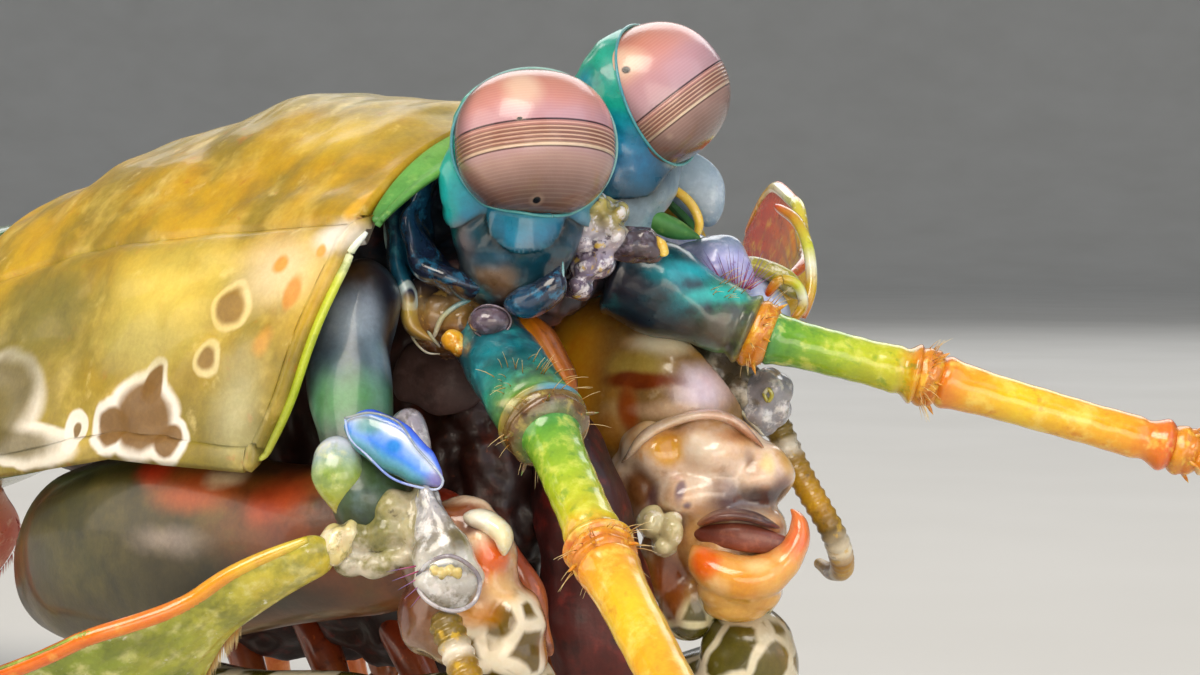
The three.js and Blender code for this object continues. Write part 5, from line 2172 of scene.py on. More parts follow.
@dataclass
class KnuckleTrim:
    """The soft swellings, lips and ridges at the folded joints of both smashing limbs."""

    swelling: Shell
    lower_lip: Shell
    upper_lip: Shell
    slot_skin: Shell
    lobe: Shell
    ridge: Shell
    fold: Shell

    def far_side(self) -> None:
        """Lays the raised limb's swelling, its lips, the slot between them and the side lobe."""
        swelling = lumps(
            seen((664, 452, 142.6, 2.5, 1.9, 2.6), (712, 450, 142.2, 2.9, 2.2, 2.8),
                 (756, 476, 142, 2, 1.9, 2.4), (640, 478, 143.4, 1.7, 2, 2.2),
                 (700, 494, 141.8, 2.7, 1.7, 2.6), (730, 540, 142, 3.2, 2.8, 3),
                 (668, 560, 142.6, 1.5, 2.6, 2), (690, 600, 142.6, 1.8, 2.2, 2.2),
                 (655, 510, 143, 1.7, 1.5, 2), (736, 592, 142, 2.4, 1.8, 2.4)),
            0.2, 0.14, 2.2, 81,
        )
        piece(
            "raptor_carpus_left", swelling, self.swelling, Slot.RAPTORIAL,
            ["raptorial_left_carpus"],
        )
        roll = strap(
            [
                (693, 545, 139.8), (706, 564, 139.2), (730, 577, 138.7), (752, 579, 138.6),
                (774, 570, 138.8), (790, 554, 139), (799, 534, 139.3), (797, 517, 139.5),
                (789, 507, 139.7),
            ],
            (0.6, 1.05, 1.25, 1.3, 1.2, 0.95, 0.72, 0.55, 0.2),
            (1.2, 1.5, 1.7, 1.7, 1.6, 1.4, 1.2, 1.0, 0.6),
        )
        chin = lumps(
            seen((724, 588, 139.4, 1.5, 1.2, 1.6), (752, 592, 139.4, 1.6, 1.2, 1.6),
                 (736, 606, 139.9, 1.8, 0.9, 1.6)),
            0.14, 0.03, 2.2, 84,
        )
        lower = fused([roll, chin], 0.12, 8)
        piece("far_lower_lip", lower, self.lower_lip, Slot.RAPTORIAL)
        upper = strap(
            [(700, 522, 140), (722, 515, 139.2), (748, 516, 139), (780, 528, 139.4)],
            (0.2, 0.34, 0.32, 0.15), (0.9, 1.2, 1.1, 0.5), blunt=(0.15, 0.15),
        )
        piece("far_upper_lip", upper, self.upper_lip, Slot.RAPTORIAL)
        slot_skin = strap(
            [(694, 534, 139.6), (740, 537, 138.9), (796, 548, 139.1)], (0.5, 0.75, 0.5),
            (0.3, 0.36, 0.3),
        )
        piece("far_slot", slot_skin, self.slot_skin, Slot.RAPTORIAL)
        fold = strap(
            [
                (622, 462, 142), (646, 436, 141), (690, 416, 140.4), (732, 420, 140.4),
                (764, 448, 140.8),
            ],
            (0.2, 0.32, 0.26, 0.3, 0.15), (0.9, 1.1, 1.1, 1.1, 0.8),
            relief=lambda t, g: 0.05 * np.sin(t * 17 + g),
        )
        piece("far_knuckle_fold", fold, self.fold, Slot.RAPTORIAL)
        lobe = lumps(
            seen((652, 522, 140.4, 0.75, 0.9, 1.2), (672, 530, 139.8, 0.65, 1, 1),
                 (664, 546, 140, 0.7, 0.6, 1)),
            0.1, 0.06, 0.9, 82,
        )
        piece("far_side_lobe", lobe, self.lobe, Slot.RAPTORIAL)

    def near_side(self) -> None:
        """Lays the lowered limb's swelling and its pale ridge."""
        swelling = lumps(
            seen((462, 522, 128.6, 1.7, 1.3, 2), (486, 548, 127.8, 1.5, 1.8, 2.2),
                 (480, 590, 128, 2.1, 2.2, 2.6), (512, 622, 127.8, 1.7, 1.9, 2.4),
                 (440, 560, 129, 2, 2.4, 2.4), (450, 616, 128.6, 2.6, 2.4, 2.6),
                 (506, 650, 127.8, 2.1, 1.8, 2.4)),
            0.2, 0.1, 2.0, 83,
        )
        piece(
            "raptor_carpus_right", swelling, self.swelling, Slot.RAPTORIAL,
            ["raptorial_right_carpus"],
        )
        # The ridge is cream, painted near white where its highlight falls.
        ridge = strap(
            [(468, 516, 127.4), (490, 523, 126.2), (503, 536, 125.7), (504, 556, 125.8)],
            (0.35, 0.55, 0.55, 0.3), (0.7, 0.9, 0.9, 0.6),
        )
        piece("near_pale_ridge", ridge, self.ridge, Slot.RAPTORIAL)

    def build(self) -> None:
        """Makes both sides' parts."""
        self.far_side()
        self.near_side()


@dataclass
class Maxillipeds:
    """A slim cleaning pair beside the mouth and three folded pairs with oval hands."""

    finish: Shell
    pairs: Sequence[tuple[str, float, float, float, float]] = (
        ("maxilliped_3", -13, 8.4, 5.2, 10.5),
        ("maxilliped_4", -20, 7.6, 4.7, 10.0),
        ("maxilliped_5", -27, 7.0, 4.2, 9.5),
    )

    def slim(self, side: Side) -> Shape:
        """The cleaning limb of one side."""
        path = side.mirror([(-9, 4.4, 23), (-4, 4.6, 21.6), (0.4, 4.2, 19), (2, 3.4, 14.6)])
        thick = (1.0, 0.9, 0.8, 0.5)
        return Limb(
            path, thick, thick, up=(0, 1, 0), rings=80, sides=28,
            relief=lambda t, g: 0.12 * np.sin(t * 26),
        ).shape()

    def folded(self, side: Side, x: float, reach: float, hand: float, drop: float) -> Shape:
        """One folded limb with its oval hand."""
        arm = Limb(
            side.mirror([(x, 4, 19.4), (x + reach * 0.6, 5, 15), (x + reach, 4.9, drop)]),
            (1.3, 1.1, 0.9), (1.3, 1.1, 0.9), up=(0, 1, 0), rings=60, sides=28,
        )
        palm = Limb(
            side.mirror([(x + reach, 4.9, drop + 0.6), (x + reach - hand * 0.5, 4.2, drop - 2.6),
                         (x + reach - hand, 3.8, drop - 3.6)]),
            (0.9, 1.1, 0.7), (1.1, 2.0, 1.2), up=FORWARD, rings=60, sides=32,
        )
        return Shape.joined([arm.shape(), palm.shape()])

    def build(self) -> None:
        """Makes all eight limbs."""
        for side in Side:
            piece(
                f"mouth_limb_1_{side.word}", self.slim(side), self.finish, Slot.MAXILLIPED,
                [f"maxilliped_1_{side.word}"],
            )
            for name, x, reach, hand, drop in self.pairs:
                piece(
                    f"mouth_limb_{name[-1]}_{side.word}", self.folded(side, x, reach, hand, drop),
                    self.finish, Slot.MAXILLIPED, [f"{name}_{side.word}"],
                )


# Hind body


@dataclass
class HindBody:
    """Three thorax rings and six abdomen rings, with swimming paddles under the abdomen."""

    finish: Shell
    last_finish: Shell
    paddle: Shell
    fringe: Bristle
    thorax: Sequence[float] = (-41.8, -47.8, -53.8, -60.0)
    abdomen: Sequence[float] = (-60, -73, -86, -99, -112, -124)
    last: tuple[float, float] = (-124.0, -133.8)
    spine_places: Sequence[float] = (-8.6, -3.4, 3.4, 8.6)

    def ring(self, edge: float, back: float, flare: float) -> Shape:
        """One body ring, arched above and flatter below, with a raised hind margin.

        Args:
            edge: x of its front edge.
            back: x of its hind edge.
            flare: how much narrower its front is.

        Returns:
            Its mesh.
        """
        front = edge - 0.1
        place = lambda x, lift: (x, 0.0, float(along(BACK_LINE, x)) - lift)
        wide = lambda x: float(along(BODY_HALF_WIDTH, x))
        crown = lambda x: float(along(BODY_DEPTH, x)) * 0.66

        def relief(t: np.ndarray, g: np.ndarray) -> np.ndarray:
            """A raised hind margin, a groove before it and two keels, on the upper side."""
            over = step(np.sin(g), -0.1, 0.2)
            margin = (
                0.16 * hump(t, 0.9, 0.03) - 0.22 * hump(t, 0.82, 0.03)
                - 0.12 * hump(t, 0.14, 0.05)
            )
            keel = 0.2 * hump(np.abs(np.cos(g)), 0.83, 0.05) * step(t, 0.1, 0.3)
            return (margin + keel) * over + 0.05 * np.sin(t * 11 + np.cos(g) * 7)

        mid = (front + back) / 2
        path = [place(front, crown(front) + 0.4), place(mid, (crown(front) + crown(back)) / 2),
                place(back, crown(back))]
        return Limb(
            path, (wide(front) - flare, (wide(front) + wide(back)) / 2, wide(back) + 0.2),
            (crown(front) - flare, (crown(front) + crown(back)) / 2, crown(back)), belly=0.5,
            power=2.5, blunt=(0.06, 0.06), rings=64, sides=96, relief=relief,
        ).shape()

    def paddles(self, x: float) -> tuple[Shape, Shape]:
        """The pair of leaf-shaped paddles under one ring, and their fringes."""
        under = float(along(BACK_LINE, x) - along(BODY_DEPTH, x))
        z, length = under + 1, min(under, 8.6)
        blades, fringes = [], []
        rng = np.random.default_rng(int(-x))
        for side in Side:
            path = side.mirror(
                [(x + 2, 5.4, z), (x - 0.4, 6.4, z - length * 0.5), (x - 3.4, 6.8, z - length)],
            )
            blades.append(
                Limb(
                    path, (1.5, 3.6, 2.4), (0.8, 0.6, 0.35), up=FORWARD, blunt=(0.1, 0.25),
                    rings=50, sides=40,
                ).shape(),
            )
            line = spline(path, 200)
            t = rng.uniform(0.3, 0.98, 130)
            spot = line[(t * 199).astype(int)]
            out = rng.choice([-1.0, 1.0], 130)
            wide = smooth((1.5, 3.6, 2.4), t) * rounded(1 - t, 0.25)
            roots = spot + np.stack([0 * t, out * wide * 0.97, 0 * t], axis=1)
            way = np.stack([-0.3 - 0.4 * t, out * (1.1 - t), -0.4 - 0.4 * t], axis=1)
            tips = roots + way * rng.uniform(0.8, 1.3, (130, 1))
            tips[:, 2] = np.maximum(tips[:, 2], 0.1)
            fringes.append(
                bristles(roots, tips, HAIR, np.stack([t, 0.25 + 0.5 * (out > 0)], axis=1)),
            )
        return Shape.joined(blades), Shape.joined(fringes)

    def build(self) -> None:
        """Makes the rings, paddles, fringes and the spines of the last ring."""
        for k in range(3):
            piece(
                f"thorax_ring_{k + 6}", self.ring(self.thorax[k], self.thorax[k + 1], 0.35),
                self.finish, Slot.BODY, [f"thorax_{k + 6}"],
            )
        for k in range(1, 6):
            front, back = self.abdomen[k - 1], self.abdomen[k]
            piece(
                f"abdomen_ring_{k}", self.ring(front, back, 0.35), self.finish, Slot.BODY,
                [f"abdomen_{k}"],
            )
            blades, fringe = self.paddles((front + back) / 2)
            piece(f"swim_paddles_{k}", blades, self.paddle, Slot.BODY)
            piece(f"swim_fringe_{k}", fringe, self.fringe, Slot.BODY)
        last = [self.ring(*self.last, 0.6)]
        for y in self.spine_places:
            lift = lambda x, low, bow: float(along(BACK_LINE, x)) - low - y * y * bow
            last.append(
                Limb(
                    [(-128, y, lift(-128, 1.1, 0.028)), (-136, y, lift(-134, 0.7, 0.036))],
                    (0.9, 0.35), (0.9, 0.35), blunt=(0.05, 0.08), rings=40, sides=20,
                ).shape(),
            )
        piece("abdomen_ring_6", Shape.joined(last), self.last_finish, Slot.BODY, ["abdomen_6"])


@dataclass
class Legs:
    """Three slender pairs whose tips stand on the floor, each with a side branch."""

    finish: Shell
    pairs: Sequence[tuple[str, float, float, float]] = (
        ("leg_1", -44, -39, 19), ("leg_2", -50, -49, 20), ("leg_3", -56, -59, 19),
    )

    def build(self) -> None:
        """Makes all six legs."""
        for side in Side:
            for name, x, foot, spread in self.pairs:
                hip = float(along(BACK_LINE, x) - along(BODY_DEPTH, x)) + 2.4
                swing = foot - x
                path = side.mirror(
                    [
                        (x, 8, hip), (x + swing * 0.3, 13.4, hip - 2.6),
                        (x + swing * 0.6, spread - 2.4, hip * 0.55), (foot, spread, 4.4),
                        (foot, spread, 0.0),
                    ],
                )
                knees = lambda t, g: (0.22 * hump(t, 0.3, 0.03) + 0.2 * hump(t, 0.62, 0.03)
                                      - 0.1 * hump(t, 0.36, 0.03) + 0.03 * np.sin(t * 60))
                main = Limb(
                    path, (1.5, 1.4, 1.1, 0.9, 0.72), (1.5, 1.3, 1.1, 0.9, 0.72), up=FORWARD,
                    blunt=(0.06, 0.02), rings=130, sides=32, relief=knees,
                )
                twig = Limb(
                    side.mirror([(x + 0.4, 12, hip - 1.4), (x + swing * 0.4 - 1, 15.5, hip * 0.62),
                                 (x + swing * 0.5 - 2, 16.4, hip * 0.34)]),
                    (0.7, 0.5, 0.35), (0.7, 0.5, 0.35), up=FORWARD, rings=70, sides=20)
                piece(
                    f"walking_{name}_{side.word}", Shape.joined([main.shape(), twig.shape()]),
                    self.finish, Slot.LEG, [f"{name}_{side.word}"],
                )


@dataclass
class TailFan:
    """The keeled, toothed telson between two branched uropods with fringes."""

    telson: Shell
    uropod: Shell
    fringe: Bristle
    front: float = -134.0
    back: float = -152.5
    teeth: Sequence[Point] = ((2.8, 0.97, 4.0), (6.4, 0.9, 3.6), (9.6, 0.7, 3.0))
    keels: Sequence[float] = (0.0, 0.28, 0.5, 0.72)

    def over(self, u: np.ndarray, v: np.ndarray) -> np.ndarray:
        """The telson's upper side, u from left to right and v from front to back."""
        s = 1 - 2 * u
        half = 9.6 + 2 * np.sin(np.pi * np.minimum(v * 1.15, 1)) - 2.4 * v * v
        x = self.front - 0.4 + (self.back - self.front) * v * (1 - 0.12 * s * s)
        crest = 9.6 * np.maximum(1 - v, 0) ** 1.15 + 1.6
        z = crest - (2.2 * (1 - v) + 0.3) * s * s
        for place in self.keels:
            z = z + 0.55 * hump(np.abs(s), place, 0.05) * step(v, 0.05, 0.25) * step(1 - v, 0, 0.1)
        return np.stack([x, s * half, z], axis=-1)

    def telson_shape(self) -> Shape:
        """The telson with its body below and its teeth."""
        parts = [
            sheet(self.over, 2.0, 120, 70),
            Limb([(self.front - 1.2, 0, 8), (-142, 0, 4.2), (-150, 0, 1.25)], (7.4, 7.0, 4.4),
                 (2.4, 1.8, 1.2), power=2.4, blunt=(0.1, 0.2)).shape(),
        ]
        for side in Side:
            for y, v, length in self.teeth:
                x, _, z = self.over(np.array(0.5 - y / 20), np.array(v))
                path = side.mirror([(x + 2.4, y - 0.3, z - 0.9), (x - length, y + 0.2, 0.9)])
                parts.append(
                    Limb(
                        path, (1.1, 0.8, 0.22), (1.0, 0.7, 0.22), blunt=(0.05, 0.08), rings=40,
                        sides=24,
                    ).shape(),
                )
        return Shape.joined(parts)

    def uropod_paths(self, side: Side) -> list[tuple[list[Any], Profile, Profile]]:
        """Each uropod plate's path, widths and heights."""
        plates = [
            (
                [(-128.5, 11.4, 6.2), (-132, 13, 4.6), (-136.5, 13.6, 2.8)], (2.2, 2.8, 2.4),
                (1.9, 1.9, 1.5),
            ),
            (
                [(-134, 14.8, 3.2), (-139, 17.8, 1.8), (-146, 19.8, 1.0)], (2.6, 3.6, 3.8),
                (1.2, 1.2, 0.9),
            ),
            (
                [(-144.6, 19.6, 1), (-150, 20.8, 0.8), (-156, 21.6, 0.7)], (3.2, 4.2, 3.4),
                (0.9, 0.75, 0.6),
            ),
            (
                [(-134, 12.8, 3), (-142, 13.4, 1.3), (-153, 14.2, 0.8)], (2.2, 3.3, 2.8),
                (1.1, 1.0, 0.7),
            ),
            ([(-133, 11.6, 2.6), (-143, 11.9, 0.9)], (1.2, 0.35), (1.2, 0.35)),
        ]
        return [(side.mirror(path), w, h) for path, w, h in plates]

    def uropod_shape(self, side: Side) -> Shape:
        """One uropod with the movable spines of its outer plate."""
        parts = [
            Limb(path, w, h, blunt=(0.12, 0.3), rings=60, sides=48,
                 relief=lambda t, g: 0.16 * hump(np.abs(np.cos(g)), 0, 0.1) * np.sin(g)).shape()
            for path, w, h in self.uropod_paths(side)
        ]
        for k in range(9):
            t = k / 8
            root = (-137 - 9.5 * t, 19.6 + 3.5 * t, 2.2 - 1.1 * t)
            tip = (root[0] - 1.6, root[1] + 1.0, root[2] - 0.3)
            parts.append(
                Limb(side.mirror([root, tip]), (0.35, 0.1), (0.35, 0.1), rings=14, sides=10).shape(),
            )
        return Shape.joined(parts)

    def fringe_shape(self, side: Side) -> Shape:
        """The setae round the two hind plates of one uropod."""
        rng = np.random.default_rng(71 + side.value)
        made = []
        for path, w, _ in self.uropod_paths(side)[2:4]:
            count = 420
            line = spline(path, 300)
            t = rng.uniform(0.3, 0.995, count)
            spot = line[(t * 299).astype(int)]
            out = rng.choice([-1.0, 1.0], count)
            wide = smooth(w, t) * rounded(1 - t, 0.3)
            roots = spot + np.stack([0 * t, out * wide * 0.96, 0 * t - 0.1], axis=1)
            way = np.stack([-0.6 - t, out * (1.2 - 0.8 * t), rng.normal(0, 0.08, count)], axis=1)
            tips = roots + way * rng.uniform(0.9, 1.5, (count, 1))
            tips[:, 2] = np.clip(tips[:, 2], 0.08, None)
            made.append(bristles(roots, tips, 0.04, np.stack([t, 0.25 + 0.5 * (out > 0)], axis=1)))
        return Shape.joined(made)

    def build(self) -> None:
        """Makes the telson, the uropods and their fringes."""
        piece("telson_plate", self.telson_shape(), self.telson, Slot.TAIL_FAN, ["telson"])
        for side in Side:
            word = side.word
            piece(
                f"uropod_plates_{word}", self.uropod_shape(side), self.uropod, Slot.TAIL_FAN,
                [f"uropod_{word}"],
            )
            piece(f"uropod_fringe_{word}", self.fringe_shape(side), self.fringe, Slot.TAIL_FAN)


# Studio


@dataclass
class Studio:
    """A pale seamless floor, soft lights and the camera."""

    floor: Plain = field(default_factory=lambda: Plain("studio_floor", "c9c8c4"))

    def camera(self) -> None:
        """Sets up the view."""
        data = bpy.data.cameras.new("view")
        data.lens, data.sensor_width = VIEW.lens, 36.0
        data.clip_start, data.clip_end = 0.005, 20
        camera = bpy.data.objects.new("view", data)
        camera.location = placed(np.array(VIEW.eye))
        camera.rotation_mode = "QUATERNION"
        camera.rotation_quaternion = Vector(INTO).to_track_quat("-Z", "Y")
        bpy.context.scene.collection.objects.link(camera)
        bpy.context.scene.camera = camera

    def light(self, name: str, at: Point, aim: Point, size: Point, power: float, tint: str) -> None:
        """Hangs one soft light.

        Args:
            name: its name.
            at: where it hangs, in millimetres.
            aim: what it points at.
            size: its width and height in metres.
            power: its power in watts.
            tint: its colour.
        """
        data = bpy.data.lights.new(name, "AREA")
        data.shape = "RECTANGLE"
        data.size, data.size_y = size
        data.energy = power
        data.color = linear(tint)
        lamp = bpy.data.objects.new(name, data)
        lamp.location = placed(np.array(at))
        way = Vector(placed(np.array(aim)) - placed(np.array(at)))
        lamp.rotation_mode = "QUATERNION"
        lamp.rotation_quaternion = way.to_track_quat("-Z", "Y")
        bpy.context.scene.collection.objects.link(lamp)

    def ground(self) -> None:
        """Lays the floor, which curves up far away into a pale wall."""
        radii = np.concatenate(
            [[0.02, 0.3, 0.8, 1.4, 2.0], 2.0 + np.sin(np.linspace(0.1, 1.57, 14)), [3.0, 3.0]],
        )
        rise = np.concatenate(
            [[0, 0, 0, 0, 0], 1 - np.cos(np.linspace(0.1, 1.57, 14)), [1.8, 3.0]],
        )
        angle = np.linspace(0, 2 * np.pi, 96, endpoint=False)
        rows = np.stack(
            [
                radii[:, None] * np.cos(angle), radii[:, None] * np.sin(angle),
                rise[:, None] + 0 * angle,
            ],
            axis=-1,
        )
        shape = woven(rows, np.zeros_like(rows))
        faces = [f for f in shape.faces if max(f) < len(shape.points) - 1]
        mesh = bpy.data.meshes.new("floor")
        mesh.from_pydata(shape.points.tolist(), [], faces)
        mesh.flip_normals()
        mesh.shade_smooth()
        mesh.materials.append(self.floor.material())
        ground = bpy.data.objects.new("floor", mesh)
        bpy.context.scene.collection.objects.link(ground)

    def build(self) -> None:
        """Makes the whole studio."""
        self.camera()
        self.ground()
        world = bpy.data.worlds.new("studio")
        world.use_nodes = True
        backdrop = world.node_tree.nodes["Background"]
        backdrop.inputs["Color"].default_value = (*linear("e8eef6"), 1)
        backdrop.inputs["Strength"].default_value = 0.4
        bpy.context.scene.world = world
        bpy.context.scene.view_settings.view_transform = "Standard"
        subject = (-6, 0, 30)
        self.light("key", (140, -600, 740), subject, (0.68, 0.5), 8.0, "fff4e4")
        self.light("fill", (760, 140, 330), subject, (0.9, 0.9), 3.1, "e6f0ff")
        self.light("rim", (-500, 600, 560), subject, (0.9, 0.45), 2.5, "ffffff")
        self.light("front", (240, -150, 24), (0, 0, 26), (0.25, 0.2), 0.5, "ffeeda")
        self.light("side", (-500, -690, 240), subject, (0.68, 0.68), 2.8, "fff0dc")


# The finishes of this animal


# Each cornea carries a painted highlight, a pale cream patch where the softbox reflects.
SALMON_EYE_RIGHT = Cornea(
    "cornea_right_finish",
    pupils=(((0.889, -0.449, 0.084), 0.045, 0.022), ((0.429, -0.161, -0.889), 0.05, 0.07)),
    painted_highlight_at=(0.8, -0.35, 0.55),
    band_centre=-0.12,
    band_half=0.165,
)
SALMON_EYE_LEFT = Cornea(
    "cornea_left_finish",
    pupils=(((0.399, -0.799, 0.45), 0.045, 0.075), ((0.285, -0.753, -0.593), 0.035, 0.035)),
    painted_highlight_at=(0.3, -0.75, 0.6),
    band_centre=-0.35,
    band_half=0.148,
)
TEAL_CUP_RIGHT = Shell(
    "eye_cup_right_finish", ground=stops(
        "0 2fa890 0.2 1c9a90 0.36 1490a8 0.46 0b6a8c 0.488 084a60 "
        "0.5 04161e 0.52 062a38 0.56 0c4054 0.68 2c3c44 0.8 2a2420 1 1c1614"
    ),
    drift=0.012, speckles=clouds("083048 1.8 0.3 0.12 0.4", "2f9fb0 1.6 0.2 0.1 0.25"),
    patches=marks("""
        450 190 133 / 0.9 0.9 2 / 1fb0a0 0.7 0.85
        484 262 130.9 / 1.2 1.2 0.5 / 3f6a84 0.7 0.8
        452 250 132 / 0.9 0.9 1.2 / 7a6c6c 0.7 0.8
        496 280 131.6 / 1.3 1.3 0.8 / 6a4f34 0.6 0.9
        491 284 131.5 / 0.2 0.2 0.24 / c8a888 0.6 0.8
        503 276 131.2 / 0.16 0.16 0.2 / a88c6c 0.6 0.8
        545 268 131.4 / 1.3 1.3 1 / 083c4c 0.6 0.85
        at 4.6 -2 37.2 / 0.8 1.4 0.6 / b8ccc8 0.7 0.6
    """),
)
# The pale cream patch at 700 162 is a painted highlight.
TEAL_CUP_LEFT = Shell(
    "eye_cup_left_finish", ground=stops(
        "0 119080 0.05 108898 0.16 117ca6 0.3 0d6490 0.42 0b5272 "
        "0.475 0a3f56 0.5 03141c 0.515 2c4048 0.58 6f8490 0.7 8fa4b0 1 7f929f"
    ),
    drift=0.012, speckles=clouds("083a5c 2 0.35 0.12 0.5", "2f94a8 1.6 0.2 0.1 0.25"),
    patches=marks("""
        600 60 138 / 1.3 2 1.2 / 149e80 0.7 0.8
        596 96 138 / 0.9 3 1.2 / 1078b4 0.7 0.7
        700 162 139 / 0.9 2 0.4 / e4e4c8 0.6 0.9
    """),
)
PALE_RIM = Shell("eye_rim_finish", ground=stops("0 4f9c9c 0.4 8fbcb4 0.7 2f8494 1 4f9c9c"))
# The pale yellow patches at 180 300 and 290 130 are painted highlights; the olive patch at 60 330
# deepens the shield's own olive with painted shade.
GOLDEN_SHIELD = Shell(
    "carapace_finish",
    ground=stops("0 75660e 0.25 94801c 0.45 b09020 0.6 c49c18 0.78 c09408 1 9a8408"),
    run=Run.HEIGHT, span=(20.0, 45.0), drift=0.1, speckles=clouds(
        "6a6420 6.5 0.45 0.16 0.7", "dcc060 4.2 0.32 0.12 0.6", "b4601c 1.2 0.16 0.06 0.45",
        "ecd890 1.9 0.16 0.08 0.45",
    ),
    patches=marks("""
        180 300 138 / 4.6 9 2.6 / e8d060 0.9 0.75
        290 270 133 / 2.6 5 1.6 / e8d4a8 0.8 0.8
        345 238 131 / 1.3 3 0.8 / f0e8dc 0.6 0.9
        170 345 138 / 3.4 9 1.6 / a89c50 0.8 0.7
        60 330 146 / 4.4 9 3 / 6f6c34 0.9 0.75
        270 400 133 / 1.5 9 2.6 / b8b48c 0.8 0.7
        188 415 138 / 2.2 9 2 / 765214 0.14 0.97 f0eae0 1.24
        158 424 139.6 / 1.3 9 1.1 / 765214 0.14 0.97 f0eae0 1.4
        196 384 137.6 / 0.9 9 1.1 / 765214 0.14 0.97 f0eae0 1.35
        218 438 136.6 / 1.2 9 0.9 / 765214 0.14 0.97 f0eae0 1.4
        50 400 148 / 4.2 9 2.6 / 6a5c1c 0.2 0.85 efe8dc 1.14
        60 440 146 / 4.4 9 0.9 / 5f5218 0.3 0.85 efe8dc 1.5
        120 428 142 / 0.42 9 0.46 / 7a5c24 0.2 0.95 efe8dc 2.6
        253 307 134.4 / 1 5 0.95 / 8f6c1c 0.2 0.95 dcc484 1.35
        239 358 134.8 / 0.72 5 0.72 / 85641c 0.2 0.95 d8c890 1.4
        291 265 132.8 / 0.55 4 0.5 / d8942c 0.35 0.9
        311 293 131.8 / 0.66 4 0.82 / d08a2c 0.3 0.9
        335 252 131.4 / 0.36 4 0.36 / e0982c 0.35 0.9
        294 340 132.4 / 0.6 4 0.8 / cf963c 0.45 0.75
        352 204 131 / 0.5 3 0.8 / d8a818 0.5 0.9
        290 130 136 / 3.4 6 1 / e4c030 0.9 0.6
        at -11.4 17.2 27.6 / 1.9 9 1.5 / 765214 0.16 0.95 efe8da 1.3
        at -8.6 16.9 27.2 / 1.5 9 1.2 / 765214 0.16 0.95 efe8da 1.3
        at -7.1 16.2 31 / 0.85 9 0.85 / 85631c 0.2 0.92 e2d4a4 1.4
        at -16 17.6 28 / 1.6 9 1.3 / 7d5c20 0.2 0.9 efe8da 1.3
        at -22 17.6 28.5 / 2.6 9 1.9 / 6a5c1c 0.25 0.85 e4dcc0 1.25
        at -30 17.6 26.5 / 2.8 9 2 / 6a5c1c 0.3 0.8 e4dcc0 1.2
        at -30 -17.4 26 / 3 9 2 / 6a5c1c 0.3 0.8 e4dcc0 1.2
        at -36 -16.6 28 / 2 9 1.6 / 6a5c1c 0.3 0.8 e4dcc0 1.3
    """),
    wobble=0.3, wobble_size=1.9, rough=0.44, coat=0.16, flesh=0.22, lumps=0.05, lump_size=2.0,
)
GREEN_FRONT = Shell(
    "front_plate_finish", ground=stops("0 2f6a30 0.3 4a8a3a 0.6 64a248 1 7fb050"), run=Run.HEIGHT,
    span=(36.0, 42.5), drift=0.1,
    speckles=clouds("8fba60 0.9 0.25 0.1 0.5", "3c6a28 1.4 0.2 0.1 0.5"), rough=0.5, coat=0.1,
)
LEMON_EDGE = Shell(
    "plate_margin_finish", ground=stops("0 e9efe6 0.25 c9d43c 0.7 aebf24 1 c9cf5a"),
    speckles=clouds("7d9420 0.8 0.3 0.1 0.5"),
)


def antennule_finishes(side: Side) -> list[Shell]:
    """The finishes of one antennule's three lengths.

    Args:
        side: whose they are.

    Returns:
        Blue-green, yellow-green and yellow-orange.
    """
    far = side is Side.LEFT
    return [
        Shell(
            f"antennule_base_{side.word}_finish",
            ground=stops("0 2c3f4a 0.25 155a68 0.5 1c7f8c 0.7 2f8f7c 0.88 6f9a3c 1 b4742c"),
            drift=0.14, speckles=(
                Speckle("0e2c3a", 1.8, 0.45, 0.14, 0.6 + 0.3 * far),
                Speckle("3fb0b4", 1.5, 0.24, 0.12, 0.5), Speckle("b9cfd8", 0.5, 0.06, 0.04, 0.5),
                Speckle("3c3450", 1.8, 0.24, 0.12, 0.5),
            ),
            patches=marks("""
                690 270 139 / 2.4 3 0.5 / 1fb0c0 0.6 0.9
                712 296 139 / 1.4 3 0.4 / 2fc4c0 0.6 0.8
                650 326 140 / 4.2 6 1.1 / 0a1a28 0.8 0.9
                604 284 138 / 1.5 6 2 / 24202e 0.9 0.95
                720 330 140 / 1.6 3 0.9 / 6a5f50 0.8 0.7
            """) if far else marks("""
                556 392 128 / 0.9 1.4 0.4 / 2f8ab8 0.6 0.8
                530 404 128 / 1.6 1.6 0.28 / d8d49a 0.5 0.9
                508 352 130 / 0.8 1.4 1 / 0a4450 0.7 0.7
            """),
        ),
        Shell(
            f"antennule_middle_{side.word}_finish",
            ground=stops("0 2f7f52 0.15 5f9f30 0.45 9dbb24 0.8 c4c224 0.93 d9921c 1 c65a14"),
            drift=0.1, speckles=clouds("dfe06a 1.1 0.35 0.1 0.55", "4f8a2c 0.8 0.3 0.08 0.5"),
            rough=0.2, coat=0.7, flesh=0.3,
        ),
        Shell(
            f"antennule_outer_{side.word}_finish",
            ground=stops("0 d2571a 0.1 e39a1c 0.35 e8c21e 0.8 e8a01c 0.94 dd6a18 1 b8401a"),
            drift=0.08, speckles=clouds("f4dc6a 1.3 0.35 0.1 0.6", "c97a18 0.9 0.25 0.08 0.5"),
            rough=0.2, coat=0.7, flesh=0.35 if far else 0.3,
        ),
    ]


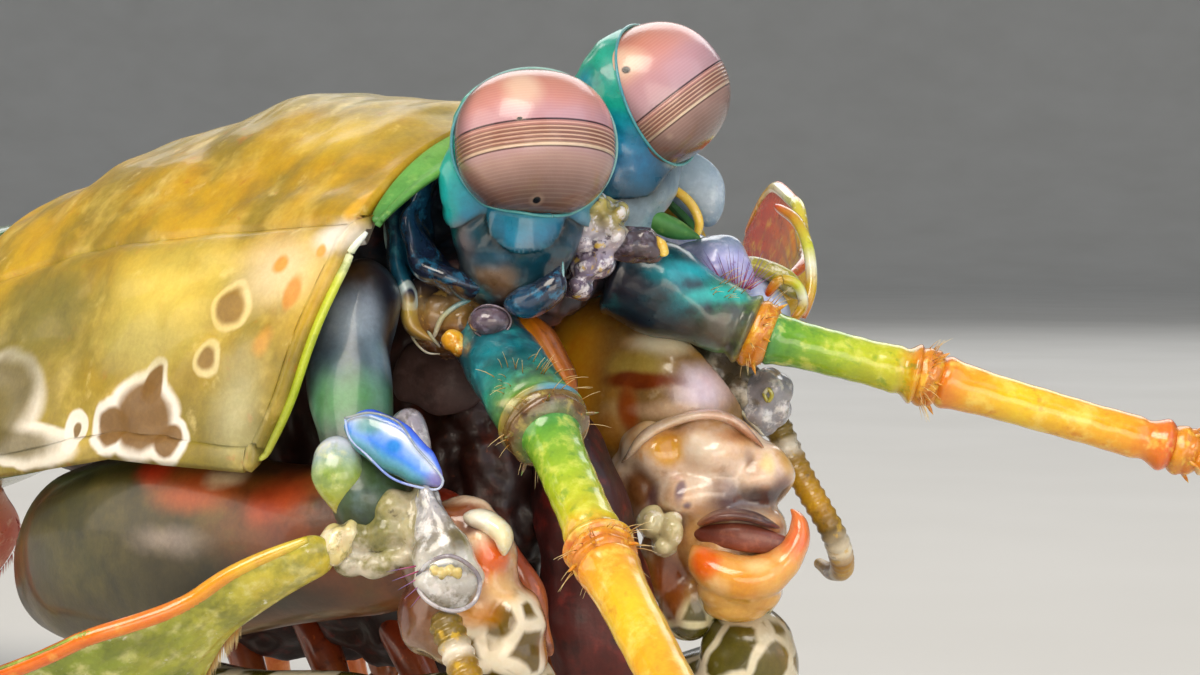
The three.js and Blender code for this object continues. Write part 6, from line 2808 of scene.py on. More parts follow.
ORANGE_COLLAR = Shell(
    "collar_finish", ground=stops("0 c4841c 0.35 d98f1a 0.6 c87414 1 e09a24"), drift=0.25,
    speckles=clouds("ecb83c 0.5 0.35 0.06 0.8", "9a4a10 0.7 0.2 0.08 0.6"), rough=0.28, coat=0.6,
    flesh=0.25, lumps=0.08, lump_size=0.6,
)
# The purple-grey patch at 546 434 is a painted highlight.
BROWN_COLLAR = Shell(
    "first_collar_finish", ground=stops("0 7a8a4c 0.4 6f5a28 0.7 6a4c30 1 4f7f3c"), drift=0.25,
    speckles=clouds(
        "a89a4c 0.8 0.3 0.07 0.7", "3c281c 0.8 0.3 0.07 0.7", "c9781c 0.5 0.2 0.05 0.7",
    ),
    patches=marks("""
        546 434 126.4 / 0.75 0.75 0.7 / 7a6a78 0.5 0.9
        576 416 126.4 / 0.5 0.5 0.8 / c97014 0.5 0.9
    """),
    rough=0.22, coat=0.7, flesh=0.25, lumps=0.08, lump_size=0.6,
)
AMBER_WHIP = Shell(
    "whip_finish", ground=stops("0 d9821c 0.3 c9a02c 0.6 b8562c 1 d8c08a"), drift=0.08,
    speckles=clouds("f0dca0 0.9 0.4 0.05 0.6"),
)
BANDED_WHIP = Shell(
    "antenna_whip_finish", ground=stops(
        "0 5f4a14 0.07 7a6418 0.1 e4dccc 0.13 8a6a14 0.24 b88a14 0.3 6a5218 "
        "0.36 ece0c4 0.4 a8780c 0.52 c9981c 0.58 efe8d4 0.64 9a6a14 1 c9a860"
    ),
    drift=0.02, speckles=clouds("d9b02c 0.9 0.3 0.06 0.6", "4a3810 0.9 0.24 0.06 0.6"),
)
# The pale blue-grey patch at 350 322 is a painted highlight.
MILKY_BASE_RIGHT = Shell(
    "antenna_base_right_finish",
    ground=stops("0 2c3a2c 0.3 3f5a34 0.55 4a6470 0.8 3c4454 1 2c2018"), run=Run.HEIGHT,
    span=(21.0, 35.5),
    speckles=clouds("7f98a8 2 0.24 0.14 0.4", "4f6a3a 2 0.2 0.12 0.4", "242c34 1.6 0.3 0.1 0.5"),
    patches=marks("""
        400 330 132.6 / 0.8 0.8 3.4 / 141a2a 0.6 0.92
        388 275 132.6 / 0.9 0.9 1.6 / 1a2030 0.7 0.85
        330 400 131 / 0.8 0.8 1.4 / 6a9c3c 0.7 0.8
        342 276 133 / 1.76 1.76 0.9 / 3c2814 0.6 0.95
        392 330 132.4 / 0.99 0.99 3 / 15151f 0.6 0.95
        398 400 131 / 0.77 0.77 2.6 / 1a1a26 0.6 0.9
        350 322 132 / 1.21 1.21 1.3 / a8b8c8 0.9 0.75
        376 370 131.4 / 0.77 0.77 1.2 / 8aa8bc 0.8 0.6
        350 400 130.4 / 1.65 1.65 1.2 / 3f8a34 0.8 0.85
        322 412 130.8 / 0.55 0.55 0.9 / 8fd0b8 0.7 0.8
        330 345 132.4 / 0.55 0.55 1.8 / 2f4450 0.7 0.8
        345 470 129.4 / 2 2 1.6 / 2f3a24 0.6 0.8
    """),
    wobble=0.3, rough=0.36, coat=0.3, flesh=0.3,
)
LILAC_BASE_LEFT = Shell(
    "antenna_base_left_finish", ground=stops("0 7fae8f 0.35 a9bde0 0.7 c4c8ee 1 8fa0c8"),
    run=Run.HEIGHT, span=(30.0, 36.5), drift=0.15, speckles=clouds(
        "eef0fa 1.2 0.4 0.1 0.7", "8f6fae 1 0.25 0.08 0.5", "d8b43c 0.9 0.15 0.06 0.6",
    ),
    rough=0.24, coat=0.6, flesh=0.3,
)
OLIVE_SCALE = Shell(
    "antennal_scale_finish", ground=stops("0 d9c040 0.2 b9b23c 0.5 8a9a2c 0.8 7f8f28 1 6f6a24"),
    speckles=clouds("e9e4a0 1.4 0.35 0.1 0.6", "5f6a1c 2 0.4 0.1 0.6", "f1efe0 0.8 0.14 0.05 0.7"),
    rough=0.26, coat=0.55, flesh=0.3,
)
EMBER_SCALE = Shell(
    "antennal_scale_left_finish",
    ground=stops("0 d8b43c 0.2 e0b030 0.45 cf6a1e 0.75 c0401a 1 a8341c"),
    speckles=clouds("e9c84a 1.3 0.3 0.1 0.6", "8a2410 1.6 0.3 0.1 0.6"), rough=0.26, coat=0.55,
    flesh=0.3,
)
# The large near-black patch at 260 600 is painted shade on the lower length, beneath the antennal
# scale.
UMBER_MERUS = Shell(
    "merus_right_finish",
    ground=stops("0 26260e 0.4 3c3a14 0.62 4a3c18 0.76 7a3c18 0.9 8a4a20 1 a8602c"), drift=0.08,
    speckles=clouds("5a5220 2.6 0.34 0.14 0.6", "1c1c0c 2.6 0.34 0.14 0.6"), patches=marks("""
        210 490 136 / 2.6 3 1 / b8501c 0.7 0.8
        270 500 132 / 1.6 3 1.2 / a8401c 0.6 0.8
        232 478 135 / 0.9 3 0.4 / e0c8a0 0.7 0.8
        180 540 136 / 2.2 3 0.6 / b8a8a0 0.9 0.5
        285 535 131 / 1.2 3 0.8 / 6a3018 0.7 0.8
        260 600 131 / 7 6 2 / 14180a 0.8 0.9
        170 470 138 / 1.2 3 0.7 / b82c10 0.7 0.8
    """),
    rough=0.34, coat=0.35,
)
# Painted light: the ground's bright orange stops and the large orange patch at 580 385 are made
# lighter than the shell's orange to offset the head's shadow; the cream patch at 662 343 is a
# painted highlight along the top edge.
CREAM_MERUS = Shell(
    "merus_left_finish",
    ground=stops("0 8a6a3c 0.5 b98a3a 0.66 d8880c 0.84 e09a1c 0.92 dca858 1 d8b090"), drift=0.05,
    speckles=clouds("d89a34 2.4 0.3 0.14 0.5", "e0cca8 2 0.14 0.1 0.5"), patches=marks("""
        580 385 146 / 2.2 6 4.4 / ffb01c 0.8 0.95
        620 420 143 / 0.8 3 0.9 / f0cf90 0.7 0.8
        702 390 141.7 / 1.3 1.6 1.2 / e4d4ea 0.7 0.75
        662 343 142.4 / 1.6 1.6 0.7 / efe4c4 0.6 0.9
        636 365 142 / 1.7 1.7 0.75 / b8a24c 0.6 0.75
        640 380 142 / 2.1 2.1 0.5 / 7a300c 0.35 0.95
        632 408 142.3 / 0.75 0.75 1.3 / 9a4410 0.4 0.9
        612 430 143 / 0.9 0.9 1.2 / b8781c 0.5 0.8
        540 340 147 / 1 1.8 3 / b8660c 0.5 0.85
        672 408 142 / 1.8 1.8 0.5 / d8b898 0.5 0.7
    """),
    wobble=0.35, rough=0.18, coat=0.7, flesh=0.3,
)
# The cream patch at 702 446 and the pale yellow patch at 770 460 are painted highlights.
MOTTLED_KNUCKLE = Shell(
    "knuckle_finish",
    ground=stops("0 5f5024 0.3 a0702c 0.5 c4945c 0.7 dcb898 0.86 e4c8b0 1 d8a868"),
    run=Run.HEIGHT, span=(13.0, 26.5), drift=0.2, speckles=clouds(
        "f0e4d4 2.4 0.34 0.16 0.8", "9a6a4c 2.2 0.22 0.12 0.6", "cf8a1c 2.2 0.2 0.12 0.8",
        "c89aa0 1.8 0.2 0.12 0.6",
    ),
    patches=marks("""
        668 448 140.2 / 1 1 1 / cf9418 0.4 0.95
        702 446 139.6 / 1 1 0.7 / efe0cc 0.6 0.8
        640 490 141.4 / 1 3 1.4 / 6a3c0c 0.5 0.95
        628 450 142 / 0.8 3 0.8 / e8d4bc 0.7 0.8
        670 570 141 / 0.8 3 1.2 / 6a2c10 0.6 0.85
        770 460 139.8 / 0.5 0.5 0.7 / e8d888 0.6 0.7
        786 486 140.4 / 0.8 0.8 0.7 / 6a4a48 0.7 0.85
        750 466 140 / 0.3 0.3 1 / 86644c 0.7 0.8
        728 436 140.2 / 0.9 0.9 0.4 / a87858 0.7 0.7
        786 455 141 / 0.6 0.6 0.9 / c89a3c 0.7 0.8
        656 500 141 / 0.5 0.5 0.8 / 5a3c40 0.5 0.85
        680 488 139.6 / 0.3 0.3 0.9 / 7f6a78 0.5 0.85
        688 508 139.2 / 0.32 0.32 0.32 / 6a5a6c 0.4 0.9
        700 512 139.2 / 0.26 0.26 0.26 / 6a5a6c 0.4 0.9
        724 490 139.4 / 0.9 0.9 0.7 / 8f7468 0.6 0.8
        768 500 139.6 / 2.2 2.2 0.75 / 3a2830 0.6 0.95
        732 506 139.2 / 1.2 1.2 0.5 / 5a4248 0.7 0.85
        672 590 141 / 0.8 0.8 1.8 / 8f4a1c 0.5 0.85
        455 512 127.2 / 1.4 1.4 0.5 / 7a3a10 0.4 0.95
        472 526 126.6 / 0.8 0.8 0.4 / 6a4438 0.4 0.9
        492 562 126 / 0.9 0.9 1.1 / e0640c 0.4 0.95
        500 588 126 / 0.9 0.9 0.8 / f0c890 0.5 0.9
        478 612 126.4 / 1.3 1.3 0.7 / e0941c 0.5 0.85
        420 610 127.8 / 2 2 2.4 / 541a0c 0.6 0.95
        470 575 126.4 / 1 3 1.2 / c86a2c 0.6 0.8
        534 590 128.2 / 1.2 1.2 2 / d87c18 0.6 0.95
        542 640 127.8 / 1 1 1.4 / b0641c 0.6 0.85
        445 525 128 / 1.2 1.2 0.8 / a85a1c 0.6 0.85
    """),
    nets=(
        Net("6a5410", "efe4cc", 2.1, 0.12, VIEW.at(520, 652, 126.4), (3.0, 6, 2.8), 0.98),
        Net("565014", "e0d8b0", 2.1, 0.1, VIEW.at(736, 644, 140), (5, 6, 2.6), 0.98),
    ),
    wobble=0.3, rough=0.18, coat=0.8, flesh=0.35, lumps=0.06, lump_size=1.4,
)
NETTED_HAND = Shell(
    "hand_finish", ground=stops("0 7a5a1c 0.12 8f6a24 0.3 a88a50 0.6 a89a70 1 6f7a4a"), drift=0.1,
    nets=(Net("565014", "e4dcc0", 2.2, 0.1, (-4, 0, 9), (14, 30, 12), 0.98),),
    speckles=clouds("e4a04a 1.6 0.25 0.08 0.5"), rough=0.24, coat=0.6, flesh=0.25,
)
RUSTY_CLUB = Shell(
    "club_finish", ground=stops("0 a8341c 0.5 c9642c 0.8 d8b48a 1 b8562c"), drift=0.1,
    speckles=clouds("eee2cc 1.2 0.3 0.06 0.6"),
)
# Maroon darkened almost to black, most towards the bottom: the head's own dark red with painted
# shade where it lies under and between the parts round it.
HEAD_SKIN = Shell(
    "head_flesh_finish", ground=stops("0 1c0806 0.3 2c100a 0.5 3a1c16 0.7 2a2c34 1 1f4058"),
    run=Run.HEIGHT, span=(20.0, 40.0), drift=0.16,
    speckles=clouds("6a2c18 2.2 0.3 0.1 0.5", "120606 2 0.3 0.1 0.7", "8a4a24 0.9 0.1 0.05 0.4"),
    rough=0.5, coat=0.12, flesh=0.2, lumps=0.06,
)
BLUE_FLANGE = Shell(
    "head_flange_finish", ground=stops("0 5fa0a8 0.3 1c4f6a 0.7 17607f 1 2f9aa4"), drift=0.15,
    speckles=clouds("7fc4c8 0.8 0.25 0.06 0.6", "102a3c 0.9 0.35 0.07 0.6"),
)
MOUTH_LIMB = Shell(
    "maxilliped_finish", ground=stops("0 4a140a 0.4 7a2410 0.7 8f3c1c 1 a8602c"), drift=0.15,
    speckles=clouds("c9642c 0.8 0.22 0.04 0.8", "3a0c08 1.2 0.3 0.07 0.6"),
)
OLIVE_RING = Shell(
    "ring_finish", ground=stops("0 b8923c 0.25 8f8a34 0.5 6f7f30 0.8 5a7a38 1 4f7044"),
    run=Run.HEIGHT, span=(4.0, 34.0), drift=0.08, speckles=clouds(
        "3f5a24 3.2 0.4 0.1 0.6", "b9b45a 1.8 0.3 0.08 0.5", "c9702c 1.1 0.12 0.05 0.5",
        "dfe0b0 0.7 0.12 0.05 0.5",
    ),
    rough=0.26, coat=0.6, flesh=0.15, lumps=0.05,
)
LAST_RING = Shell(
    "last_ring_finish", ground=stops("0 a8602c 0.4 6f7a34 1 3f7050"), run=Run.HEIGHT,
    span=(2.0, 16.0), speckles=clouds("2c4a3c 2.2 0.4 0.1 0.6", "c9c46a 1.1 0.28 0.08 0.6"),
)
CORAL_PADDLE = Shell(
    "paddle_finish", ground=stops("0 c9803c 0.4 cf5a2c 1 d88a6a"),
    speckles=clouds("f0c8a0 1 0.3 0.08 0.6"), flesh=0.35,
)
EMBER_LEG = Shell(
    "leg_finish", ground=stops("0 8f8a3c 0.25 d0601c 0.55 c93c1c 0.8 e07a2c 1 e9c08a"), drift=0.08,
    speckles=clouds("f0a85a 0.9 0.3 0.07 0.5", "8a2410 1.2 0.25 0.07 0.5"), flesh=0.25,
)
GREEN_TELSON = Shell(
    "telson_finish", ground=stops("0 2f6a52 0.4 4f7f48 0.75 8f8f3c 1 c9702c"), run=Run.FORE,
    span=(-134, -155), drift=0.08,
    speckles=clouds("1f4a3c 2.2 0.4 0.1 0.6", "d8cf7a 1 0.25 0.07 0.6"), rough=0.26, coat=0.6,
)
BLUE_UROPOD = Shell(
    "uropod_finish", ground=stops("0 5f7f3c 0.3 b8702c 0.55 2c7a9a 0.8 2f5fa8 1 c0402c"),
    run=Run.FORE, span=(-128, -160), drift=0.08,
    speckles=clouds("e0b45a 1.2 0.3 0.08 0.5", "1c3f6a 1.6 0.3 0.08 0.5"),
)
NEAR_FLANGE = Shell(
    "near_flange_finish",
    ground=stops("0 2a3a34 0.2 1c4a66 0.5 1a5f80 0.66 2a6a84 0.76 8f7a44 1 6f5a4c"), drift=0.05,
    speckles=clouds("123048 1.3 0.45 0.1 0.7", "3f8fa0 0.9 0.25 0.08 0.5"), patches=marks("""
        409 296 134.4 / 0.34 0.34 0.42 / 15254c 0.25 1 c4dbe0 1.9
        400 283 134.8 / 0.16 / e8f4f4 0.4
        420 330 134 / 0.9 0.9 1 / b08a34 0.6 0.8
        406 312 134.4 / 0.5 0.5 0.8 / d8b850 0.6 0.7
    """),
    wobble=0.1, rough=0.22, coat=0.7, flesh=0.2,
)
SOCKET_LOBE = Shell(
    "socket_lobe_finish", ground=stops("0 16303c 0.3 17486a 0.6 1a2a44 0.85 1c1c30 1 2a3448"),
    drift=0.1, speckles=clouds(
        "2f7fa8 0.8 0.34 0.06 0.6", "0a1424 1 0.4 0.08 0.7", "6a5a5c 0.7 0.14 0.05 0.6",
    ),
    rough=0.2, coat=0.8, flesh=0.15,
)
NEAR_TISSUE = Shell(
    "near_tissue_finish", ground=stops("0 4a2f1c 0.35 7a5530 0.6 9a7a44 1 3f3434"),
    run=Run.HEIGHT, span=(30.4, 33.8), drift=0.25, speckles=clouds(
        "d8b05a 0.7 0.26 0.06 0.7", "3a2c30 0.8 0.3 0.06 0.7", "b8b0c8 0.5 0.16 0.04 0.7",
    ),
    rough=0.22, coat=0.7, flesh=0.3,
)
PLUM_KNOB = Shell(
    "plum_knob_finish", ground=stops("0 4a3f48 0.5 5f5260 1 4c4048"), run=Run.HEIGHT,
    span=(31, 34), drift=0.3, speckles=clouds(
        "8f8298 0.6 0.3 0.08 0.6", "2c2024 0.7 0.3 0.08 0.6", "b8904c 0.5 0.1 0.04 0.6",
    ),
    rough=0.16, coat=0.9, flesh=0.3,
)
AMBER_BEAD = Shell(
    "amber_bead_finish", ground=stops("0 c98a1c 0.5 e8a828 1 f0c04a"), run=Run.HEIGHT,
    span=(30.4, 31.8), drift=0.3, speckles=clouds("f4dc8a 0.3 0.3 0.06 0.7"), rough=0.18, coat=0.8,
    flesh=0.4,
)
PALE_LINE = Shell(
    "pale_line_finish", ground=stops("0 5f9aa0 0.3 8fb4b4 0.6 b8b48a 1 a8a090"), drift=0.25,
    speckles=clouds("dcdccc 0.6 0.3 0.08 0.6"), coat=0.4, flesh=0.3,
)
AMBER_FLAP = Shell(
    "amber_flap_finish", ground=stops("0 7a3c08 0.35 b8640c 0.6 d88410 0.85 8f5010 1 d8a040"),
    run=Run.ACROSS, drift=0.15, speckles=clouds("6a300c 0.9 0.3 0.06 0.6"), rough=0.36, coat=0.2,
)
# Near-black maroon: the mouthparts' dark red, darkened further as painted shade.
MAROON_FOLD = Shell(
    "maroon_fold_finish", ground=stops("0 1c0606 0.4 3a0c0c 0.7 4f1410 1 5a1c14"), drift=0.2,
    speckles=clouds(
        "7a2018 1.4 0.3 0.1 0.6", "140406 1.6 0.34 0.1 0.7", "c9bcc0 0.7 0.04 0.03 0.8",
    ),
    rough=0.5, coat=0.15, flesh=0.2, lumps=0.08,
)
MISTY_PLATE = Shell(
    "misty_plate_finish", ground=stops("0 6f8498 0.4 a8bccc 0.7 8fa8b8 1 6a7a90"), run=Run.HEIGHT,
    span=(37, 43), drift=0.2, speckles=clouds("dce8ee 1 0.3 0.1 0.5", "c9a47a 0.9 0.14 0.06 0.5"),
    rough=0.35, coat=0.3, flesh=0.3,
)
MAUVE_SKIN = Shell(
    "mauve_skin_finish", ground=stops("0 4a3634 0.5 584240 1 3a2624"), drift=0.2,
    speckles=clouds("6a5654 1.2 0.3 0.1 0.6", "2a1818 1.4 0.3 0.1 0.6"), rough=0.6, coat=0.05,
    flesh=0.3,
)
FAR_TISSUE = Shell(
    "far_tissue_finish", ground=stops("0 5a4a5c 0.3 8f8298 0.6 b8b0b8 0.8 a89a5c 1 c9b85a"),
    run=Run.HEIGHT, span=(33.4, 38.4), drift=0.25, speckles=clouds(
        "eee9ee 0.7 0.4 0.05 0.85", "3c2440 0.6 0.3 0.04 0.85", "d8b43c 0.7 0.26 0.05 0.8",
        "6a6fb8 0.6 0.16 0.04 0.7",
    ),
    rough=0.2, coat=0.8, flesh=0.3,
)
GREEN_LOBE = Shell(
    "green_lobe_finish",
    ground=stops("0 a9b4c8 0.22 c4ccdc 0.38 8fa8a0 0.55 8fa850 0.8 a9b048 1 b89a28"), drift=0.06,
    speckles=clouds("d8dc9a 0.9 0.3 0.1 0.5", "5f7f4a 1 0.3 0.1 0.5"), rough=0.2, coat=0.7,
    flesh=0.35,
)
# The teal patch at 366 425 is painted shade on the plate's upper left.
BLUE_PLATE = Shell(
    "blue_plate_finish", ground=stops(
        "0 2f50d0 0.1 4a7ae8 0.22 dce8ff 0.4 8fb4fa "
        "0.6 4f90ee 0.74 4f98c0 0.88 2f7a80 1 245a60"
    ),
    run=Run.ACROSS, drift=0.04, patches=marks("""
        393 446 126.3 / 0.42 0.42 0.36 / 2f8ae0 0.5 0.95
        438 482 126.2 / 0.6 0.6 0.5 / 8f7fc0 0.6 0.8
        366 425 126.8 / 0.9 0.9 0.45 / 3f8a80 0.6 0.8
    """),
    wobble=0.1, rough=0.16, coat=0.9, flesh=0.3,
)
PLATE_RIM = Shell(
    "plate_rim_finish",
    ground=stops("0 8f9aa0 0.2 5f6a7a 0.4 8fa0b8 0.55 c4d0f0 0.7 5f7ad8 1 a8c0ec"),
    speckles=clouds("f4f4fa 0.7 0.3 0.08 0.5"), rough=0.16, coat=0.9, flesh=0.3,
)
SMOKY_FOLD = Shell(
    "smoky_fold_finish", ground=stops("0 5f5c68 0.5 8f8c9a 1 b4b0b4"), drift=0.2,
    speckles=clouds("dcdce4 0.7 0.3 0.08 0.6", "4a4438 0.8 0.3 0.08 0.6"), rough=0.2, coat=0.8,
    flesh=0.4,
)
GLASSY_CUP = Shell(
    "glassy_cup_finish",
    ground=stops("0 8f8f98 0.25 a9a9b0 0.45 8f8a80 0.65 b9b9b4 0.85 c9c8c4 1 8f8a7c"), drift=0.1,
    speckles=clouds(
        "e9e9ec 0.8 0.36 0.08 0.75", "6f6448 0.9 0.3 0.07 0.65", "5a4c5c 0.7 0.16 0.05 0.5",
    ),
    patches=marks("""
        456 536 124.6 / 0.5 0.5 1.2 / 5f5220 0.5 0.85
    """),
    rough=0.16, coat=0.9, flesh=0.5,
)
LILAC_BULGE = Shell(
    "lilac_bulge_finish", ground=stops("0 7f74b0 0.35 a9a4e0 0.7 b9b9ee 0.9 8fa0c0 1 5f7f98"),
    run=Run.HEIGHT, span=(32.6, 36.4), drift=0.1,
    speckles=clouds("dcdcfa 1 0.36 0.1 0.6", "8f5fae 0.6 0.2 0.05 0.6"), patches=marks("""
        690 270 142.8 / 1 1 1.3 / 5f6f80 0.7 0.8
    """),
    rough=0.18, coat=0.8, flesh=0.35,
)
CREAM_KNOB = Shell(
    "cream_knob_finish", ground=stops("0 b89a3c 0.4 d8c88a 0.7 e0d0a8 1 a9a03c"), run=Run.HEIGHT,
    span=(19.6, 22.6), drift=0.2, speckles=clouds(
        "f0e8d0 0.7 0.34 0.06 0.7", "7f7a2c 0.7 0.3 0.06 0.7", "b8784c 0.5 0.16 0.05 0.6",
    ),
    rough=0.18, coat=0.8, flesh=0.4,
)
MUDDY_FOLDS = Shell(
    "muddy_folds_finish", ground=stops("0 6f6a38 0.3 8f8a54 0.55 b8ae90 0.8 6f6c44 1 5a5040"),
    run=Run.BREADTH, span=(-15.6, -11.4), drift=0.3, speckles=clouds(
        "dcd4c4 1.8 0.34 0.1 0.75", "4a5024 1.8 0.32 0.1 0.75", "8fa8b8 1.4 0.14 0.08 0.6",
        "3c301c 0.9 0.16 0.06 0.7",
    ),
    rough=0.28, flesh=0.35,
)
SCALE_RIB_RIGHT = Shell(
    "scale_rib_right_finish", ground=stops("0 c9b83c 0.12 d8a828 0.3 e07a14 0.6 dd6a0c 1 c9560c"),
    drift=0.06, speckles=clouds("f0b04a 1.2 0.3 0.08 0.5", "a8400c 1 0.2 0.08 0.5"), rough=0.18,
    coat=0.8, flesh=0.3,
)
# The near-white stop along the rib is partly the rim's pale yellow and partly a painted highlight.
SCALE_RIB_LEFT = Shell(
    "scale_rib_left_finish",
    ground=stops("0 c9401a 0.3 c9a01c 0.5 c9cf3c 0.65 f0f0d8 0.8 c9a81c 1 b8601c"), drift=0.06,
    speckles=clouds("f4f4e4 0.9 0.26 0.06 0.7", "8f6a14 0.9 0.26 0.06 0.6"), rough=0.16, coat=0.9,
    flesh=0.3,
)
ORANGE_LIP = Shell(
    "orange_lip_finish", ground=stops("0 d8a040 0.4 e8a850 0.7 e88a40 1 e07038"), run=Run.HEIGHT,
    span=(16.8, 22.0), drift=0.08, speckles=clouds("f0c888 1.4 0.3 0.1 0.5"), patches=marks("""
        704 560 137.6 / 0.9 0.9 1 / e8640c 0.5 0.95
        708 546 137.8 / 0.8 0.8 0.35 / f08058 0.6 0.8
        758 562 136.8 / 0.8 0.8 0.5 / f8e4a8 0.7 0.9
        740 588 137 / 0.8 0.8 0.8 / dc9418 0.5 0.85
        795 530 137.8 / 0.9 0.9 1.4 / ee7a48 0.6 0.9
        716 590 137.2 / 0.6 0.6 0.5 / f0c078 0.6 0.8
    """),
    wobble=0.2, rough=0.18, coat=0.8, flesh=0.4,
)
ROSY_FOLD = Shell(
    "rosy_fold_finish", ground=stops("0 8a5a2c 0.3 e4ccb0 0.6 dcb8a4 1 a8704c"), drift=0.15,
    speckles=clouds("ecdcd0 1 0.34 0.08 0.6"), rough=0.2, coat=0.7, flesh=0.35,
)
OCHRE_LIP = Shell(
    "ochre_lip_finish", ground=stops("0 a8641c 0.3 6a443c 0.7 4a3438 1 5a3c40"), drift=0.1,
    speckles=clouds("8f6a5c 0.8 0.3 0.08 0.6"), flesh=0.3,
)
MAUVE_SLOT = Shell(
    "mauve_slot_finish", ground=stops("0 5a2418 0.5 824434 1 5f2c20"), drift=0.15,
    speckles=clouds("a86a54 0.9 0.3 0.1 0.5"), rough=0.36, coat=0.3, flesh=0.3,
)
CREAM_LOBE = Shell(
    "cream_lobe_finish", ground=stops("0 c8bc90 0.5 efe8d4 1 d4c898"), run=Run.BREADTH,
    span=(5, 9), drift=0.3, speckles=clouds("a89c60 0.8 0.2 0.08 0.6", "f6f2ea 0.7 0.3 0.06 0.7"),
    rough=0.18, coat=0.8, flesh=0.35,
)
# Cream with near-white stops: partly the ridge's own cream and partly its painted highlight.
CREAM_RIDGE = Shell(
    "cream_ridge_finish", ground=stops("0 b8a890 0.4 f0e8d4 1 e8d8a0"),
    speckles=clouds("f8f4e8 0.6 0.4 0.08 0.7"), rough=0.16, coat=0.9, flesh=0.3,
)
ROSE_SETAE = Bristle("rose_setae", "a83c6a", "6a5a9a")
RED_SETAE = Bristle("red_setae", "c0402c", "f0a890")
GOLD_SETAE = Bristle("gold_setae", "b8842c", "f2dca0")


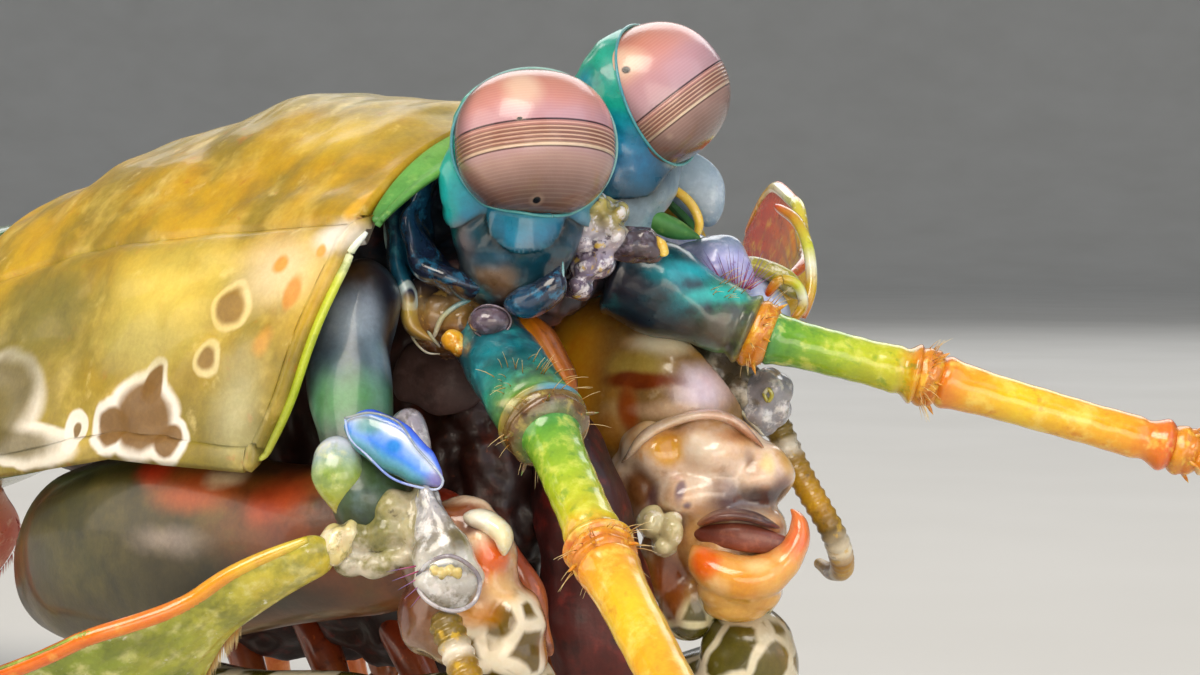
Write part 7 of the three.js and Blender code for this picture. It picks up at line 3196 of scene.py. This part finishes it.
def animal() -> list[Any]:
    """The animal's sub-assemblies, from the eyes to the tail.

    Returns:
        Each one, ready to build.
    """
    claws = (UMBER_MERUS, CREAM_MERUS)
    return [
        Eye(
            Side.RIGHT, RIGHT_EYE_AT, (0.87, -0.44, 0.235), (0.44, 0.9, -0.01),
            [(-0.4, -4.3, 32.6), (0.2, -4.4, 35), (0.7, -4.5, 38), (1.0, -4.5, 39.4)],
            SALMON_EYE_RIGHT, TEAL_CUP_RIGHT, PALE_RIM, (0.8, -0.57, 0.1), 0.05,
            collar=(-0.8, -0.4, -1.9), collar_sizes=(4.05, 4.2, 3.35), sizes=(3.95, 4.12, 3.78),
            tier=VIEW.at(506, 251, 131.3), rim_low=36.6,
        ),
        Eye(
            Side.LEFT, (1.86, 4.7, 43.9), (0.8546, 0.0303, 0.5175), (-0.2347, 0.9125, 0.335),
            [(-0.4, 2.8, 35.6), (-0.2, 3.3, 38), (0.1, 3.9, 40.8), (0.4, 4.4, 42.6)],
            SALMON_EYE_LEFT, TEAL_CUP_LEFT, PALE_RIM, (0.909, 0.264, 0.324), -0.15,
            collar=(-1.5, -0.7, -1.6), collar_sizes=(3.8, 3.9, 3.8), sizes=(3.95, 4.15, 3.82),
            tier=VIEW.at(638, 197, 137.6), tier_way=(0.291, -0.301, 0.905),
        ),
        Carapace(GOLDEN_SHIELD, GREEN_FRONT, LEMON_EDGE), Antennule(
            Side.RIGHT,
            [(-1.5, -4.7, 31.2), (5.9, -7.5, 26.8), (13.2, -11.1, 21.3), (24, -16.4, 14.7)], [
                [(24.4, -16.4, 14.9), (33, -21, 12.4), (42, -26, 13.5)],
                [(24.4, -16.4, 14.5), (34, -18.5, 10), (44, -20, 9.6)],
                [(24.4, -16.9, 14.5), (32, -24, 10.6), (38, -31, 11)],
            ],
            antennule_finishes(Side.RIGHT), BROWN_COLLAR, ORANGE_COLLAR, AMBER_WHIP, GOLD_SETAE,
        ),
        Antennule(
            Side.LEFT,
            [(-1.5, 4.7, 34.7), (4.9, 9.8, 31), (11.9, 15.7, 28.7), (22.5, 24.4, 24.8)], [
                [(22.9, 24.5, 25), (31, 31, 23.8), (38.5, 37.5, 25.5)],
                [(22.9, 24.2, 24.6), (32, 29.4, 20.8), (41.5, 33.6, 20)],
                [(22.7, 24.8, 24.6), (29, 33, 22.2), (34, 41, 22.8)],
            ],
            antennule_finishes(Side.LEFT), ORANGE_COLLAR, ORANGE_COLLAR, AMBER_WHIP, GOLD_SETAE,
            base_radii=(2.5, 2.75, 2.1, 1.9),
        ),
        Antenna(
            Side.RIGHT, [
                (-5.4, -9.2, 35), (-4.5, -11.3, 30.6), (-2.5, -12.7, 26.6), (-0.5, -13.5, 23),
                (0.4, -14, 21.6),
            ],
            [
                (5.3, -14.1, 18.3), (7.4, -14.5, 15.7), (11, -15.4, 11.6), (16, -17.4, 8.8),
                (24, -21, 8),
            ],
            [
                (-0.4, -16, 21.2), (-3.7, -18.8, 18.9), (-9, -22.6, 14.2), (-15, -26, 10.8),
                (-19, -28, 9.4),
            ],
            (0.45, -0.45, 0.78), MILKY_BASE_RIGHT, BANDED_WHIP, SCALE_RIB_RIGHT, OLIVE_SCALE,
            GOLD_SETAE,
        ),
        Antenna(
            Side.LEFT, [
                (-5, 8.8, 36.4), (-2.6, 10.6, 35.2), (-0.2, 11.8, 33.6), (1.6, 12.8, 32),
                (2.2, 13.2, 30.4),
            ],
            [
                (2.7, 13.2, 26.8), (3.9, 14, 23.6), (5.7, 15.2, 19.8), (4.6, 17.4, 17.8),
                (0.4, 21.8, 16.6), (-5, 27, 16.2),
            ],
            [
                (2.6, 14.3, 32.6), (1, 18, 33.4), (-4.2, 22.8, 34.6), (-9.6, 27, 35.4),
                (-13.6, 29.8, 35.8),
            ],
            (0.1, 0.12, 1), LILAC_BASE_LEFT, BANDED_WHIP, SCALE_RIB_LEFT, EMBER_SCALE, RED_SETAE,
        ),
        Raptorial(
            Side.RIGHT, [
                (-33, -10.6, 16.6), (-21, -13.2, 19.2), (-9, -12.4, 20.4), (-2, -10.4, 20.6),
                (1.6, -9.6, 20.2),
            ],
            (2.6, 3.9, 4.0, 3.4, 2.8), (3.2, 5.0, 5.0, 4.0, 3.0), [
                (5.3, -9.2, 16.4), (4.2, -9.5, 12.4), (-2.5, -10, 11), (-12, -10.6, 10.8),
                (-20, -11, 11.2),
            ],
            [(-3, -9.8, 6.2), (-10, -10.2, 5.8), (-18, -10.8, 5.8), (-23.6, -11.2, 8)], claws[0],
            NETTED_HAND, RUSTY_CLUB,
        ),
        Raptorial(
            Side.LEFT, [
                (-32, 10.6, 19.6), (-20, 10.9, 24), (-10, 10, 27.2), (-3, 9.2, 27.4),
                (3, 8.9, 24.6),
            ],
            (2.6, 3.9, 4.3, 4.3, 3.8), (3.2, 5.0, 5.8, 6.0, 4.6),
            [(5, 9, 16.4), (4.2, 9.2, 12), (-2, 9.8, 9.8), (-12, 10.4, 11), (-20, 10.8, 12.8)],
            [(-3, 9.8, 5.2), (-10, 10.2, 5.6), (-18, 10.7, 6.8), (-23.6, 11, 9.4)], claws[1],
            NETTED_HAND, RUSTY_CLUB, edge=(VIEW.at(672, 338, 143.4), VIEW.at(764, 436, 143.2)),
            # The pale tube along this edge is a painted highlight.
            edge_finish=PALE_LINE,
        ),
        Head(HEAD_SKIN, BLUE_FLANGE), HeadFront(
            NEAR_FLANGE, SOCKET_LOBE, NEAR_TISSUE, PLUM_KNOB, AMBER_BEAD, PALE_LINE, MAUVE_SKIN,
            FAR_TISSUE, AMBER_FLAP, MAROON_FOLD, MISTY_PLATE, GREEN_FRONT,
        ),
        AntennaRoots(
            GREEN_LOBE, BLUE_PLATE, PLATE_RIM, SMOKY_FOLD, GLASSY_CUP, LILAC_BULGE, CREAM_KNOB,
            MUDDY_FOLDS, SCALE_RIB_LEFT, ROSE_SETAE,
        ),
        KnuckleTrim(
            MOTTLED_KNUCKLE, ORANGE_LIP, OCHRE_LIP, MAUVE_SLOT, CREAM_LOBE, CREAM_RIDGE,
            ROSY_FOLD,
        ),
        Maxillipeds(MOUTH_LIMB), Legs(EMBER_LEG),
        HindBody(OLIVE_RING, LAST_RING, CORAL_PADDLE, RED_SETAE),
        TailFan(GREEN_TELSON, BLUE_UROPOD, RED_SETAE), Studio(),
    ]


def main() -> None:
    """Builds the animal and the studio."""
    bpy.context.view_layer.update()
    for part in animal():
        before = len(MADE)
        part.build()
        log.info("%s: %d pieces", type(part).__name__, len(MADE) - before)
    for name, faces in MADE.items():
        log.info("piece %s: %d faces", name, faces)
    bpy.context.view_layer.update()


if __name__ == "__main__":
    logging.basicConfig(level=logging.INFO, format="%(message)s")
    main()
